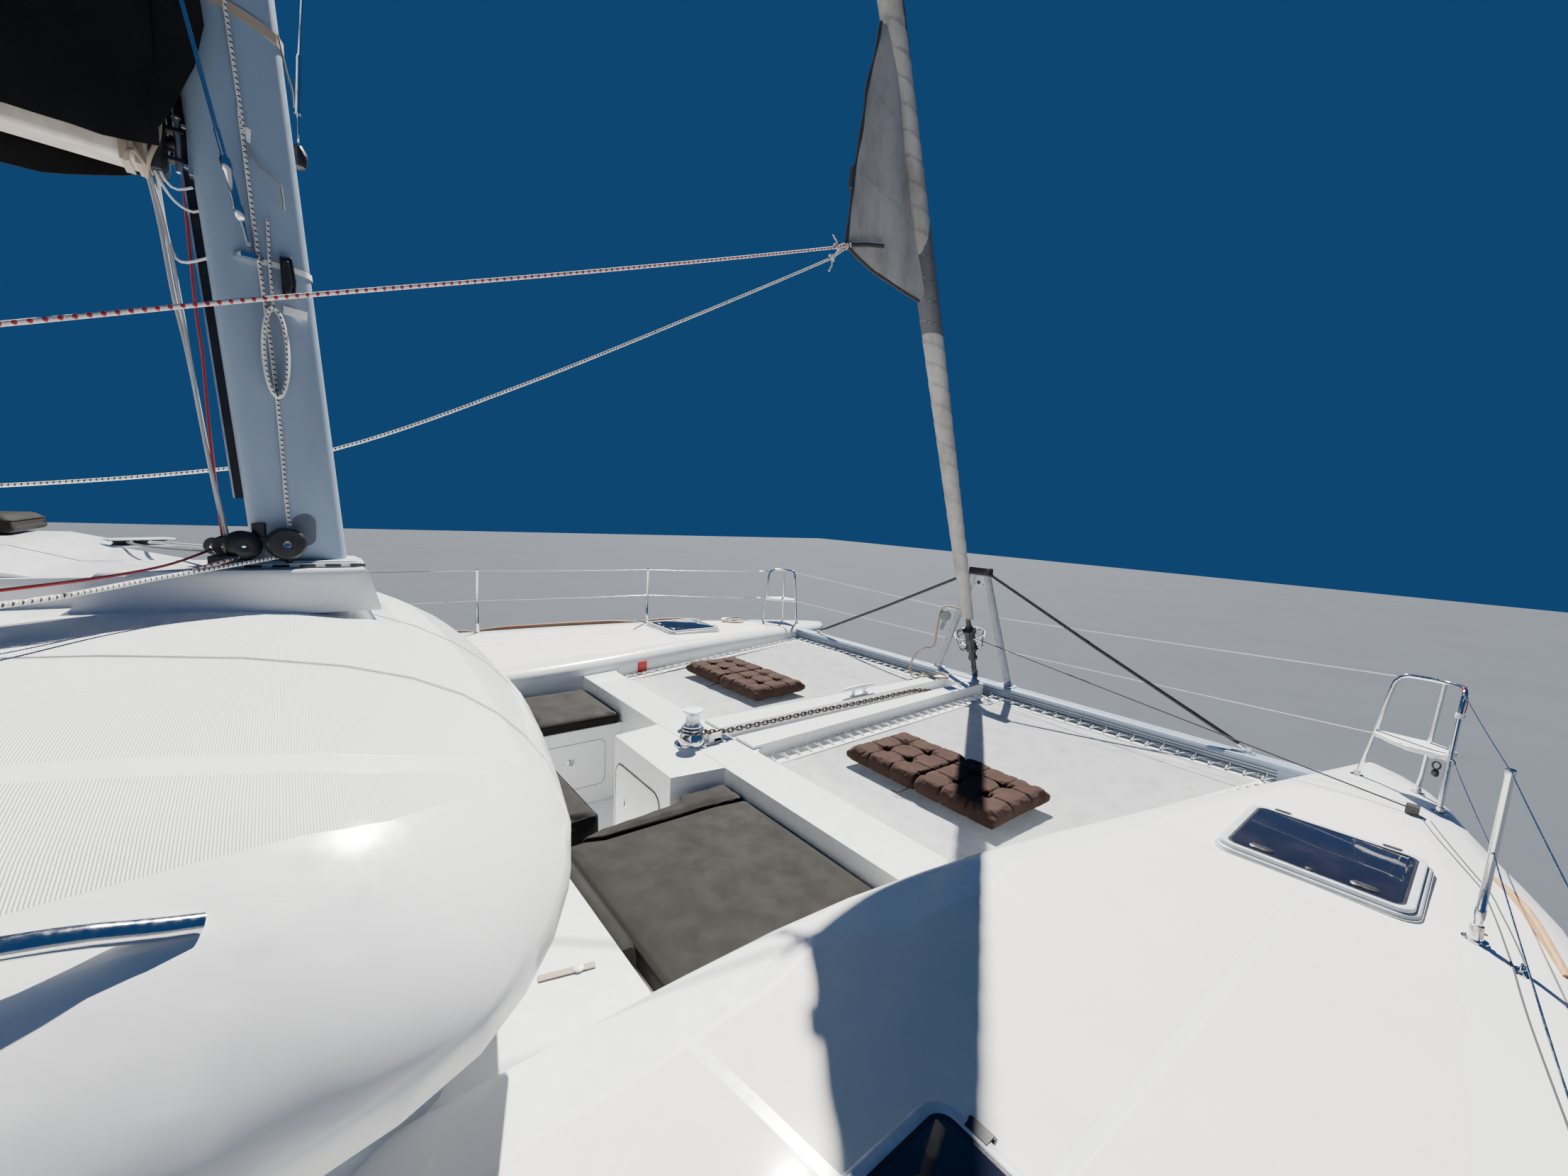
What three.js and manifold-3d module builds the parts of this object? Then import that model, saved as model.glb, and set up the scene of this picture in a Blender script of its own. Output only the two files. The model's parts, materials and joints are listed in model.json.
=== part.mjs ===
// A 14 m cruising sailing catamaran with a forward cockpit, net trampolines and a flybridge.
// Millimetres. +X to starboard, +Y to the bows, +Z up. The origin is on the waterline, amidships on the centreline.
import * as THREE from "three";
import { mergeVertices } from "three/addons/utils/BufferGeometryUtils.js";
import Module from "manifold-3d";

const wasm = await Module();
wasm.setup();

// Driving dimensions
const BOW_Y = 6980;
const STERN_Y = -6980;
const GAP = 0.3;
const RIM_TOP = 1820;
const NET_FRONT_Y = 6270;
const NET_AFT_Y = 3560;
const RIM_FRONT_Y = 3510;
const RIM_BACK_Y = 3200;
const PLATFORM_BACK_Y = 2860;
const FORE_SOLE_Z = 1050;
const SALOON_SOLE_Z = 950;
const UNDERSIDE_Z = 780;
const BRIDGE_AFT_Y = -5400;
const BRIDGE_HALF = 2050;
const BULKHEAD_Y = -1900;
const BEAM = { front: 6510, back: 6330, top: 1850, bottom: 1665 };
const ROOF_TOP = 2900;
const MAST = { foot: 3062, head: 20650, footY: 1263, rake: 0.0756, chord: 310, width: 190 };
const STAY = { footY: 6495, footZ: 1850, rake: 0.3682, headZ: 18850 };
const BOOM = { y: 905, z: 4560, length: 6100 };
const KEEL_DEPTH = 1300;

// Looks of the materials, as colour, roughness and metalness
const FINISH = {
  gelcoat: [0xf1f2f1, 0.25, 0],
  antifoul: [0x1d2f4c, 0.8, 0],
  alloy: [0xdfe3e8, 0.35, 0.3],
  steel: [0xc9ccd0, 0.18, 1],
  black: [0x15161a, 0.5, 0],
  glass: [0x10131c, 0.06, 0],
  vinyl: [0x4a4845, 0.6, 0],
  cotton: [0x5a4339, 0.95, 0],
  net: [0xe9ebee, 0.85, 0],
  canvas: [0x2c2a2b, 0.9, 0],
  sailcloth: [0xd6d2c8, 0.8, 0],
  teak: [0xa9743c, 0.6, 0],
  bronze: [0x9a7a45, 0.35, 1],
  chain: [0x4a342b, 0.8, 0.4],
};

const boat = new THREE.Group();

// A closed geometry as a solid for joining and cutting
function solid(geometry) {
  const bare = (geometry.index ? geometry.toNonIndexed() : geometry).clone();
  for (const name of Object.keys(bare.attributes)) if (name !== "position") bare.deleteAttribute(name);
  const merged = mergeVertices(bare, 1e-3);
  const make = (triVerts) =>
    new wasm.Manifold(
      new wasm.Mesh({ numProp: 3, vertProperties: merged.attributes.position.array, triVerts }),
    );
  const triVerts = new Uint32Array(merged.index.array);
  const made = make(triVerts);
  return made.volume() < 0 ? make(triVerts.reverse()) : made;
}

function geometryOf(made) {
  const mesh = made.getMesh();
  const geometry = new THREE.BufferGeometry();
  geometry.setAttribute("position", new THREE.BufferAttribute(new Float32Array(mesh.vertProperties), 3));
  geometry.setIndex(new THREE.BufferAttribute(new Uint32Array(mesh.triVerts), 1));
  const flat = geometry.toNonIndexed();
  flat.computeVertexNormals();
  return flat;
}

function add(name, finish, made) {
  const [color, roughness, metalness] = FINISH[finish];
  const mesh = new THREE.Mesh(
    geometryOf(made),
    new THREE.MeshStandardMaterial({ color, roughness, metalness }),
  );
  mesh.name = name;
  boat.add(mesh);
  return made;
}

const join = (...parts) => parts.reduce((a, b) => a.add(b));
const mirrored = (made) => made.mirror([1, 0, 0]);

// The largest of the bodies that a cut leaves
function largest(made) {
  return made.decompose().reduce((a, b) => (a.volume() > b.volume() ? a : b));
}

// made without other, and clear of it by the gap along a direction
function clearOf(made, other, dx = 0, dy = 0, dz = 0) {
  return made.subtract(other).subtract(other.translate([dx * GAP, dy * GAP, dz * GAP]));
}

function box(x0, x1, y0, y1, z0, z1) {
  const g = new THREE.BoxGeometry(x1 - x0, y1 - y0, z1 - z0);
  return solid(g.translate((x0 + x1) / 2, (y0 + y1) / 2, (z0 + z1) / 2));
}

// A prism of an outline: along z the points are (x, y), along x they are (y, z)
function prism(points, axis, from, to) {
  const shape = new THREE.Shape(points.map(([a, b]) => new THREE.Vector2(a, b)));
  const g = new THREE.ExtrudeGeometry(shape, { depth: to - from, bevelEnabled: false, curveSegments: 6 });
  if (axis === "z") return solid(g.translate(0, 0, from));
  const turn = new THREE.Matrix4().makeBasis(
    new THREE.Vector3(0, 1, 0),
    new THREE.Vector3(0, 0, 1),
    new THREE.Vector3(1, 0, 0),
  );
  return solid(g.applyMatrix4(turn).translate(from, 0, 0));
}

function plate(cx, cy, lengthX, lengthY, corner, z0, z1, turn = 0) {
  const shape = new THREE.Shape();
  const [a, b] = [lengthX / 2, lengthY / 2];
  shape.moveTo(-a + corner, -b);
  shape.lineTo(a - corner, -b).absarc(a - corner, -b + corner, corner, -Math.PI / 2, 0);
  shape.lineTo(a, b - corner).absarc(a - corner, b - corner, corner, 0, Math.PI / 2);
  shape.lineTo(-a + corner, b).absarc(-a + corner, b - corner, corner, Math.PI / 2, Math.PI);
  shape.lineTo(-a, -b + corner).absarc(-a + corner, -b + corner, corner, Math.PI, Math.PI * 1.5);
  const g = new THREE.ExtrudeGeometry(shape, { depth: z1 - z0, bevelEnabled: false, curveSegments: 3 });
  return solid(g.rotateZ(turn).translate(cx, cy, z0));
}

function rod(from, to, radius, sides = 8, endRadius = radius) {
  const [a, b] = [new THREE.Vector3(...from), new THREE.Vector3(...to)];
  const g = new THREE.CylinderGeometry(endRadius, radius, a.distanceTo(b), sides);
  const up = new THREE.Vector3(0, 1, 0);
  g.applyQuaternion(new THREE.Quaternion().setFromUnitVectors(up, b.clone().sub(a).normalize()));
  return solid(g.translate(...a.add(b).multiplyScalar(0.5).toArray()));
}

// A bent tube along a smooth curve through points
function tube(points, radius, steps, sides = 8) {
  const path = new THREE.CatmullRomCurve3(
    points.map((p) => new THREE.Vector3(...p)),
    false,
    "catmullrom",
    0.3,
  );
  const ring = Array.from({ length: sides }, (_, i) => (i * 2 * Math.PI) / sides);
  const shape = new THREE.Shape(ring.map((t) => new THREE.Vector2(radius * Math.cos(t), radius * Math.sin(t))));
  return solid(new THREE.ExtrudeGeometry(shape, { steps, extrudePath: path, bevelEnabled: false }));
}

// A closed body through rings of points, each ring flat in the plane that capAxes names
function loft(rings, capAxes) {
  const count = rings[0].length;
  const flat = rings.flat(2);
  const index = [];
  for (let r = 0; r + 1 < rings.length; r++)
    for (let i = 0; i < count; i++) {
      const j = (i + 1) % count;
      const [a, b, c, d] = [r * count + i, r * count + j, (r + 1) * count + j, (r + 1) * count + i];
      index.push(a, b, c, a, c, d);
    }
  const [u, v] = capAxes;
  const cap = (r) => {
    const outline = rings[r].map((p) => new THREE.Vector2(p[u], p[v]));
    return THREE.ShapeUtils.triangulateShape(outline, []).map((t) => t.map((k) => r * count + k));
  };
  const facing = (t) => {
    const [a, b, c] = t.map((k) => flat.slice(k * 3, k * 3 + 3));
    return (b[u] - a[u]) * (c[v] - a[v]) - (b[v] - a[v]) * (c[u] - a[u]);
  };
  // The caps are turned until their edges run against those of the sides
  for (const r of [0, rings.length - 1]) {
    const tris = cap(r);
    const wind = rings[r].reduce((sum, p, i) => {
      const q = rings[r][(i + 1) % count];
      return sum + p[u] * q[v] - q[u] * p[v];
    }, 0);
    for (const t of tris) {
      const same = Math.sign(facing(t)) === Math.sign(wind);
      const forward = r === 0 ? !same : same;
      index.push(...(forward ? t : [...t].reverse()));
    }
  }
  const g = new THREE.BufferGeometry();
  g.setAttribute("position", new THREE.BufferAttribute(new Float32Array(flat), 3));
  g.setIndex(index);
  return solid(g);
}

// Straight-line lookup in rows of [y, value, ...]
function along(rows, y, column) {
  const sorted = [...rows].sort((a, b) => b[0] - a[0]);
  for (let i = 0; i + 1 < sorted.length; i++) {
    const [a, b] = [sorted[i], sorted[i + 1]];
    if (y <= a[0] && y >= b[0]) return a[column] + ((b[column] - a[column]) * (a[0] - y)) / (a[0] - b[0]);
  }
  return y > sorted[0][0] ? sorted[0][column] : sorted.at(-1)[column];
}

// Rows with smooth ones between them, at most a step apart, while y is above the last smooth row
function faired(rows, step, lastY) {
  const out = [];
  for (let i = 0; i + 1 < rows.length; i++) {
    const [before, a, b, after] = [rows[Math.max(0, i - 1)], rows[i], rows[i + 1], rows[Math.min(rows.length - 1, i + 2)]];
    const parts = a[0] > lastY ? Math.max(1, Math.round(Math.abs(a[0] - b[0]) / step)) : 1;
    for (let k = 0; k < parts; k++) {
      const t = k / parts;
      const slope = (p, q, c) => (p[0] === q[0] ? 0 : (q[c] - p[c]) / (q[0] - p[0]));
      out.push(
        a.map((value, c) => {
          if (c === 0 || parts === 1) return value + (c === 0 ? (b[0] - a[0]) * t : 0);
          const span = b[0] - a[0];
          const [m0, m1] = [slope(before, b, c) * span, slope(a, after, c) * span];
          const [t2, t3] = [t * t, t * t * t];
          return (
            (2 * t3 - 3 * t2 + 1) * value + (t3 - 2 * t2 + t) * m0 + (3 * t2 - 2 * t3) * b[c] + (t3 - t2) * m1
          );
        }),
      );
    }
  }
  out.push(rows.at(-1));
  return out;
}

// Hull sections of the starboard hull
// y, keel z, centre x, half waterline beam, outer deck x, inner deck x, deck z, knee z, haunch x
const HULL = [
  [6980, -60, 2835, 12, 2905, 2765, 1862, 1150, 2815],
  [6890, -230, 2850, 40, 3035, 2705, 1866, 1150, 2790],
  [6700, -380, 2870, 90, 3160, 2655, 1874, 1150, 2750],
  [6400, -470, 2895, 165, 3265, 2585, 1886, 1150, 2690],
  [5850, -540, 2925, 290, 3410, 2455, 1906, 1120, 2580],
  [5150, -610, 2960, 420, 3610, 2285, 1930, 1060, 2460],
  [4440, -660, 2990, 510, 3705, 2115, 1944, 980, 2360],
  [3520, -710, 3020, 590, 3800, 1895, 1950, 880, 2270],
  [2500, -740, 3040, 640, 3860, 1765, 1950, 800, 2230],
  [0, -760, 3050, 665, 3930, 1830, 1950, 780, 2240],
  [-3000, -640, 3055, 650, 3930, 1880, 1930, 780, 2250],
  [-5380, -330, 3060, 600, 3900, 1880, 1890, 780, 2300],
  [-5420, -325, 3060, 600, 3898, 2200, 1888, 900, 2330],
  [-6300, -170, 3060, 565, 3860, 2260, 1860, 900, 2380],
  [-6980, -60, 3060, 530, 3800, 2320, 1840, 900, 2420],
];
const COLUMN = { outer: 4, inner: 5, deck: 6 };
const STEP_ROWS = [
  // front y, tread z
  [-5150, 1560],
  [-5550, 1270],
  [-5950, 980],
  [-6350, 690],
  [-6700, 400],
];
const RUDDER = { y: -5900, bore: 45 };

function hullRing([y, keel, cx, b, outer, inner, deck, knee, haunch]) {
  const wide = outer - inner;
  // The inner shoulder rolls over in a quarter turn, tighter where the bow is narrow
  const roll = Math.min(110, wide * 0.3);
  const shoulder = [0.15, 0.35, 0.55, 0.75, 1].map((t) => {
    const a = (t * Math.PI) / 2;
    return [inner + roll - roll * Math.sin(a), deck - 14 - roll + roll * Math.cos(a)];
  });
  return [
    [cx, keel],
    [cx + 0.34 * b, keel * 0.97],
    [cx + 0.62 * b, keel * 0.86],
    [cx + 0.85 * b, keel * 0.62],
    [cx + 0.96 * b, keel * 0.32],
    [cx + b, 0],
    [outer - 0.55 * (outer - cx - b), 420],
    [outer - 0.2 * (outer - cx - b), 900],
    [outer, 1450],
    [outer, deck - 110],
    [outer - wide * 0.015, deck - 70],
    [outer - wide * 0.05, deck - 42],
    [outer - wide * 0.12, deck - 22],
    [outer - wide * 0.28, deck - 6],
    [(outer + inner) / 2, deck],
    [inner + wide * 0.25 + roll * 0.3, deck - 4],
    [inner + roll, deck - 14],
    ...shoulder,
    [inner, knee],
    [haunch, knee * 0.8],
    [Math.min(cx - b, haunch + 60), 350],
    [cx - b, 0],
    [cx - 0.96 * b, keel * 0.32],
    [cx - 0.85 * b, keel * 0.62],
    [cx - 0.62 * b, keel * 0.86],
    [cx - 0.34 * b, keel * 0.97],
  ].map(([x, z]) => [x, y, z]);
}

// Hatches on the decks: name, centre x, centre y, turn in radians, top of the seat
const HATCHES = [
  ["hatch_fore", 2890, 4805, 0, 1946],
  ["hatch_mid", 2870, 2075, 0, 1960],
];
const HATCH = { size: 640, corner: 60, thick: 26, lift: 5 };

function starboardHull() {
  let hull = loft(faired(HULL, 380, -3000).map(hullRing), [0, 2]);
  for (const [front, tread] of STEP_ROWS)
    hull = hull.subtract(box(2420, 3720, STERN_Y - 50, front, tread, 2100));
  for (const [, x, y, turn, top] of HATCHES)
    hull = hull.add(plate(x, y, HATCH.size + 40, HATCH.size + 40, HATCH.corner + 20, 1850, top, turn));
  return hull.subtract(rod([3060, RUDDER.y, -600], [3060, RUDDER.y, 330], RUDDER.bore, 12));
}
const hullStarboard = add("hull_starboard", "gelcoat", starboardHull());
const hullPort = add("hull_port", "gelcoat", mirrored(hullStarboard));

// A piece that meets both hulls keeps the gap on either side
function betweenHulls(made) {
  return clearOf(clearOf(made, hullStarboard, -1, 0, 0), hullPort, 1, 0, 0);
}
function onDecks(made) {
  return clearOf(clearOf(made, hullStarboard, 0, 0, 1), hullPort, 0, 0, 1);
}

// Underwater gear, built to starboard and mirrored
function foil(cx, z, nose, tail, half) {
  const chord = nose - tail;
  const rows = [
    [0, 0],
    [0.06, 0.55],
    [0.28, 1],
    [0.65, 0.7],
    [1, 0.08],
  ];
  const right = rows.map(([t, w]) => [cx + half * w, nose - chord * t, z]);
  const left = rows.slice(1).map(([t, w]) => [cx - half * w, nose - chord * t, z]);
  return [...right, ...left.reverse()];
}
function keel() {
  const raw = loft([foil(3050, -KEEL_DEPTH, 1350, -850, 95), foil(3050, -500, 1800, -1000, 165)], [0, 1]);
  return clearOf(raw, hullStarboard, 0, 0, -1);
}
function rudder() {
  const blade = loft([foil(3060, -1180, -5800, -6130, 34), foil(3060, -350, -5740, -6240, 48)], [0, 1]);
  return blade.add(rod([3060, RUDDER.y, -500], [3060, RUDDER.y, 250], 30, 12));
}
const DRIVE = { x: 3060, y: -4650, z: -800 };
function saildrive() {
  const leg = loft(
    [foil(DRIVE.x, DRIVE.z, DRIVE.y + 150, DRIVE.y - 110, 40), foil(DRIVE.x, -300, DRIVE.y + 200, DRIVE.y - 140, 60)],
    [0, 1],
  );
  const pod = rod([DRIVE.x, DRIVE.y - 190, DRIVE.z], [DRIVE.x, DRIVE.y + 190, DRIVE.z], 72, 12, 30);
  return clearOf(leg.add(pod), hullStarboard, 0, 0, -1);
}
function propeller() {
  // Blades stand out from the hub square to its axis, along Y
  const back = DRIVE.y - 198;
  const hub = rod([0, 0, 0], [0, -120, 0], 62, 12, 30);
  const blade = plate(0, 120, 105, 190, 48, -7, 7).rotate([90, 0, 0]).rotate([0, 0, 35]);
  let made = hub;
  for (const turn of [0, 120, 240]) made = made.add(blade.translate([0, -55, 0]).rotate([0, turn, 0]));
  return made.translate([DRIVE.x, back, DRIVE.z]);
}
const sided = [
  ["keel", "gelcoat", keel()],
  ["rudder", "gelcoat", rudder()],
  ["saildrive", "alloy", saildrive()],
  ["propeller", "bronze", propeller()],
];
for (const [name, finish, made] of sided) {
  add(`${name}_starboard`, finish, made);
  add(`${name}_port`, finish, mirrored(made));
}

// Outline of the deckhouse walls, and the body inside it
const HOUSE_PLAN = [
  [0, 1800],
  [600, 1785],
  [1130, 1725],
  [1500, 1625],
  [1765, 1470],
  [1940, 1250],
  [2040, 950],
  [2110, 450],
  [2180, BULKHEAD_Y],
];
const HOUSE = { base: FORE_SOLE_Z + GAP, top: 2760, wall: 60, rakeY: -160, rakeX: 20 };
function houseBody(by) {
  const back = BULKHEAD_Y;
  const at = (z, lean) => {
    const half = HOUSE_PLAN.map(([x, y]) => [
      Math.max(0, x - (x > 0 ? by : 0) - lean * HOUSE.rakeX * Math.sign(x)),
      Math.max(back, y - (y > back ? by : 0) + lean * HOUSE.rakeY * (y > back ? 1 : 0)),
    ]);
    const left = half.slice(1).map(([x, y]) => [-x, y]);
    return [...half, ...left.reverse()].map(([x, y]) => [x, y, z]);
  };
  return loft([at(HOUSE.base - by, 0), at(1850, 0), at(HOUSE.top + by, 1)], [0, 1]);
}

// Bridgedeck between the hulls
const slab = [
  [RIM_BACK_Y, 890],
  [RIM_BACK_Y, FORE_SOLE_Z],
  [1740, FORE_SOLE_Z],
  [1680, SALOON_SOLE_Z],
  [BRIDGE_AFT_Y, SALOON_SOLE_Z],
  [BRIDGE_AFT_Y, 860],
  [BRIDGE_AFT_Y + 200, UNDERSIDE_Z],
  [3000, UNDERSIDE_Z],
];
const COCKPIT_BACK_Y = 2030;
const LEDGE_TOP = 1885;
function bridgedeckBody() {
  const foot = box(-2300, 2300, 1750, COCKPIT_BACK_Y, FORE_SOLE_Z - 60, FORE_SOLE_Z + 40);
  const ledge = box(-2300, 2300, 1300, COCKPIT_BACK_Y, FORE_SOLE_Z + 1, LEDGE_TOP).add(foot);
  const house = houseBody(0);
  const clear = ledge.subtract(house).subtract(house.translate([0, GAP, 0]));
  return largest(betweenHulls(prism(slab, "x", -2300, 2300).add(clear)));
}
add("bridgedeck", "gelcoat", bridgedeckBody());

function foredeckRim() {
  const section = [
    [RIM_BACK_Y + GAP, 892],
    [RIM_FRONT_Y, 1480],
    [RIM_FRONT_Y, RIM_TOP],
    [RIM_BACK_Y + GAP, RIM_TOP],
  ];
  const rim = prism(section, "x", -2300, 2300);
  const platform = prism(
    [
      [-380, PLATFORM_BACK_Y],
      [380, PLATFORM_BACK_Y],
      [430, RIM_BACK_Y + 5],
      [-430, RIM_BACK_Y + 5],
    ],
    "z",
    FORE_SOLE_Z + GAP,
    RIM_TOP,
  );
  // Rounded inner corners of the net openings
  const corner = (x, away, r) => {
    const arc = Array.from({ length: 6 }, (_, i) => {
      const t = (i * Math.PI) / 10;
      return [x + away * (r - r * Math.cos(t)), RIM_FRONT_Y + r - r * Math.sin(t)];
    });
    const points = [[x, RIM_FRONT_Y - 20], ...arc, [x + away * r, RIM_FRONT_Y - 20]];
    return prism(away > 0 ? points.reverse() : points, "z", 1600, RIM_TOP);
  };
  const wall = along(HULL, RIM_FRONT_Y, COLUMN.inner);
  let made = rim.add(platform);
  for (const s of [-1, 1]) {
    made = made.add(corner(s * 300.5, s, 80));
    made = made.add(corner(s * (wall + 20), -s, 95));
    made = made.add(box(s > 0 ? wall + 18 : -2100, s > 0 ? 2100 : -wall - 18, 3490, 3605, 1600, RIM_TOP));
  }
  return largest(betweenHulls(made));
}
add("foredeck_rim", "gelcoat", foredeckRim());

// Forward cockpit: a U of benches with their pads, all pads a little below the rim
const BENCH_TOP = 1655;
const PORT_BENCH_X = -1010;
const CENTRE_BENCH_Y = 2400;
const SEAT_BACK_Y = COCKPIT_BACK_Y + GAP;
function seatBasePort() {
  const side = box(-BRIDGE_HALF, PORT_BENCH_X, SEAT_BACK_Y, RIM_BACK_Y - GAP, FORE_SOLE_Z + GAP, BENCH_TOP);
  const centre = box(-BRIDGE_HALF, 380, SEAT_BACK_Y, CENTRE_BENCH_Y - 30, FORE_SOLE_Z + GAP, BENCH_TOP);
  return betweenHulls(side.add(centre));
}
function seatBaseStarboard() {
  const outline = [
    [560, SEAT_BACK_Y],
    [BRIDGE_HALF, SEAT_BACK_Y],
    [BRIDGE_HALF, RIM_BACK_Y - GAP],
    [440, RIM_BACK_Y - GAP],
    [440, 2790],
  ];
  return betweenHulls(prism(outline, "z", FORE_SOLE_Z + GAP, BENCH_TOP));
}
add("seat_base_port", "gelcoat", seatBasePort());
add("seat_base_starboard", "gelcoat", seatBaseStarboard());
const padSides = (x0, x1, y0, y1, z0, z1) => betweenHulls(box(x0, x1, y0, y1, z0, z1));
add("seat_pad_port", "vinyl", padSides(-1762, -985, 2520, 3185, BENCH_TOP + 2, 1750));
add("seat_pad_centre", "vinyl", padSides(-1762, 520, 2110, CENTRE_BENCH_Y, BENCH_TOP + 2, 1810));
const padOutline = [
  [600, 2145],
  [1755, 2145],
  [1762, 2500],
  [1835, 3185],
  [455, 3185],
  [455, 2860],
];
add("sun_pad_starboard", "vinyl", betweenHulls(prism(padOutline, "z", BENCH_TOP + 2, 1750)));
add("backrest_starboard", "vinyl", box(600, 1480, 2035, 2135, BENCH_TOP + 2, 1835));

// Crossbeam, centre beam and striker
const beamSection = [
  [BEAM.back + 20, BEAM.bottom],
  [BEAM.front - 40, BEAM.bottom],
  [BEAM.front, BEAM.bottom + 50],
  [BEAM.front, BEAM.top - 40],
  [BEAM.front - 35, BEAM.top],
  [BEAM.back + 20, BEAM.top],
  [BEAM.back, BEAM.top - 25],
  [BEAM.back, BEAM.bottom + 30],
];
add("crossbeam", "alloy", betweenHulls(prism(beamSection, "x", -2720, 2720)));

function centreBeam() {
  const ring = (y, half) => [
    [-half, y, 1640],
    [half, y, 1640],
    [half, y, 1840],
    [95, y, 1840],
    [95, y, 1765],
    [-95, y, 1765],
    [-95, y, 1840],
    [-half, y, 1840],
  ];
  const beam = loft([ring(RIM_FRONT_Y + GAP, 300), ring(BEAM.back - GAP, 205)], [0, 2]);
  return beam.add(box(-100, 100, 6130, BEAM.back - GAP, 1700, 1838));
}
add("centre_beam", "gelcoat", centreBeam());

function striker() {
  const y = 6425;
  const foot = BEAM.top + GAP;
  let made = box(-105, 105, y - 45, y + 45, 2865, 2925);
  made = made.add(box(-100, 100, y - 8, y + 8, 2740, 2870));
  for (const s of [-1, 1]) {
    made = made.add(rod([s * 398, y, foot + 12], [s * 70, y, 2880], 31));
    made = made.add(plate(s * 400, y, 150, 110, 30, foot, foot + 14));
    made = made.add(rod([s * 80, y, 2890], [s * 2230, y, foot + 22], 11, 6));
    made = made.add(box(s * 2230 - 70, s * 2230 + 70, y - 30, y + 30, foot, foot + 36));
  }
  return made.subtract(box(-3000, 3000, 6000, 7000, 1000, foot));
}
add("striker", "alloy", striker());

// Trampolines and the cushions on them
const NET = { top: 1750, thick: 10, clear: 95 };
function net() {
  const edge = (y) => [along(HULL, y, COLUMN.inner) - NET.clear, y];
  const outline = [[345, NET_AFT_Y], [260, NET_FRONT_Y], edge(NET_FRONT_Y), edge(5150), edge(4440), edge(NET_AFT_Y)];
  return clearOf(prism(outline, "z", NET.top - NET.thick, NET.top), hullStarboard, -1, 0, 0);
}
add("net_starboard", "net", net());
add("net_port", "net", mirrored(net()));
// name, centre x, centre y, turn
const CUSHIONS = [
  ["net_cushion_starboard", 1205, 4290, -0.02],
  ["net_cushion_port", -1165, 4470, 0.03],
];
for (const [name, x, y, turn] of CUSHIONS)
  add(name, "cotton", plate(x, y, 1120, 600, 70, NET.top + GAP, NET.top + 105, turn));

// Windlass and chain
const WINDLASS = { x: 0, y: 3225 };
function windlassBase() {
  const { x, y } = WINDLASS;
  const foot = plate(x, y + 45, 190, 330, 90, RIM_TOP + GAP, RIM_TOP + 16);
  return join(
    foot,
    rod([x, y, RIM_TOP + 10], [x, y, RIM_TOP + 85], 92, 16),
    rod([x, y, RIM_TOP + 80], [x, y, RIM_TOP + 112], 75, 16),
    box(x + 20, x + 80, y + 80, y + 190, RIM_TOP + 10, RIM_TOP + 70),
  );
}
add("windlass_base", "steel", windlassBase());
function windlassDrum() {
  const { x, y } = WINDLASS;
  const profile = [
    [0, 117],
    [62, 117],
    [62, 125],
    [46, 140],
    [46, 205],
    [64, 222],
    [64, 230],
    [0, 230],
  ].map(([r, z]) => new THREE.Vector2(r, z));
  const g = new THREE.LatheGeometry(profile, 16).rotateX(Math.PI / 2);
  return solid(g).translate([x, y, RIM_TOP]);
}
add("windlass_drum", "steel", windlassDrum());
// Chain drawn straight from the windlass down into the channel of the centre beam, every other link on edge
function anchorChain() {
  const [pitch, half, wide, thick] = [52, 34, 18, 6];
  const loop = Array.from({ length: 6 }, (_, i) => {
    const t = (i * Math.PI) / 3 + Math.PI / 6;
    const end = Math.sign(Math.sin(t)) * (half - wide);
    return new THREE.Vector3(wide * Math.cos(t), end + wide * Math.sin(t), 0);
  });
  const path = new THREE.CatmullRomCurve3(loop, true, "catmullrom", 0.4);
  const link = solid(new THREE.TubeGeometry(path, 6, thick, 4, true));
  const floor = 1765 + GAP;
  const first = WINDLASS.y + 192 + half + thick;
  const last = 5800;
  let made = null;
  for (let y = first, i = 0; y < last; y += pitch, i++) {
    const t = (y - first) / (last - first);
    const x = 52 * (1 - t) - 4 + 5 * Math.sin(i * 0.53);
    // Tight along the channel, and down onto its floor at the end
    const z = t < 0.9 ? 1876 - 50 * t : 1831 - (t - 0.9) * 420;
    const turned = link.rotate([0, i % 2 ? 78 : 12, 0]).rotate([-2.3, 0, 1.2]);
    const placed = turned.translate([x, y, z]);
    made = made ? made.add(placed) : placed;
  }
  return largest(made.subtract(box(-300, 300, 3000, 7000, 1600, floor)));
}
add("anchor_chain", "chain", anchorChain());

// Pulpit seats on the bows
const PULPIT = {
  // foot and head of each leg: inboard, outboard forward, outboard aft
  inner: [[2810, 6525], [2905, 6530]],
  outer: [[3083, 6505], [3110, 6500]],
  after: [[3190, 6231], [3192, 6310]],
  head: 2575,
  seat: 2180,
};
function pulpit() {
  const top = PULPIT.head;
  const legs = [PULPIT.inner, PULPIT.outer, PULPIT.after];
  const [a, b, c] = legs.map(([, head]) => head);
  let made = tube(
    [
      [...legs[0][0], 1860],
      [a[0], a[1], top - 60],
      [a[0] + 45, a[1] + 5, top],
      [b[0], b[1] + 10, top],
      [c[0] + 5, c[1] + 80, top],
      [c[0], c[1], top - 60],
      [...legs[2][0], 1840],
    ],
    13,
    26,
  );
  made = made.add(rod([...legs[1][0], 1850], [b[0], b[1] + 10, top], 13));
  const seat = [
    [2850, 6500],
    [2900, 6560],
    [3110, 6540],
    [3200, 6400],
    [3195, 6265],
    [3020, 6290],
  ];
  made = made.add(prism(seat, "z", PULPIT.seat - 16, PULPIT.seat + 16));
  return clearOf(made, hullStarboard, 0, 0, 1);
}
const pulpitStarboard = add("pulpit_starboard", "steel", pulpit());
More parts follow.
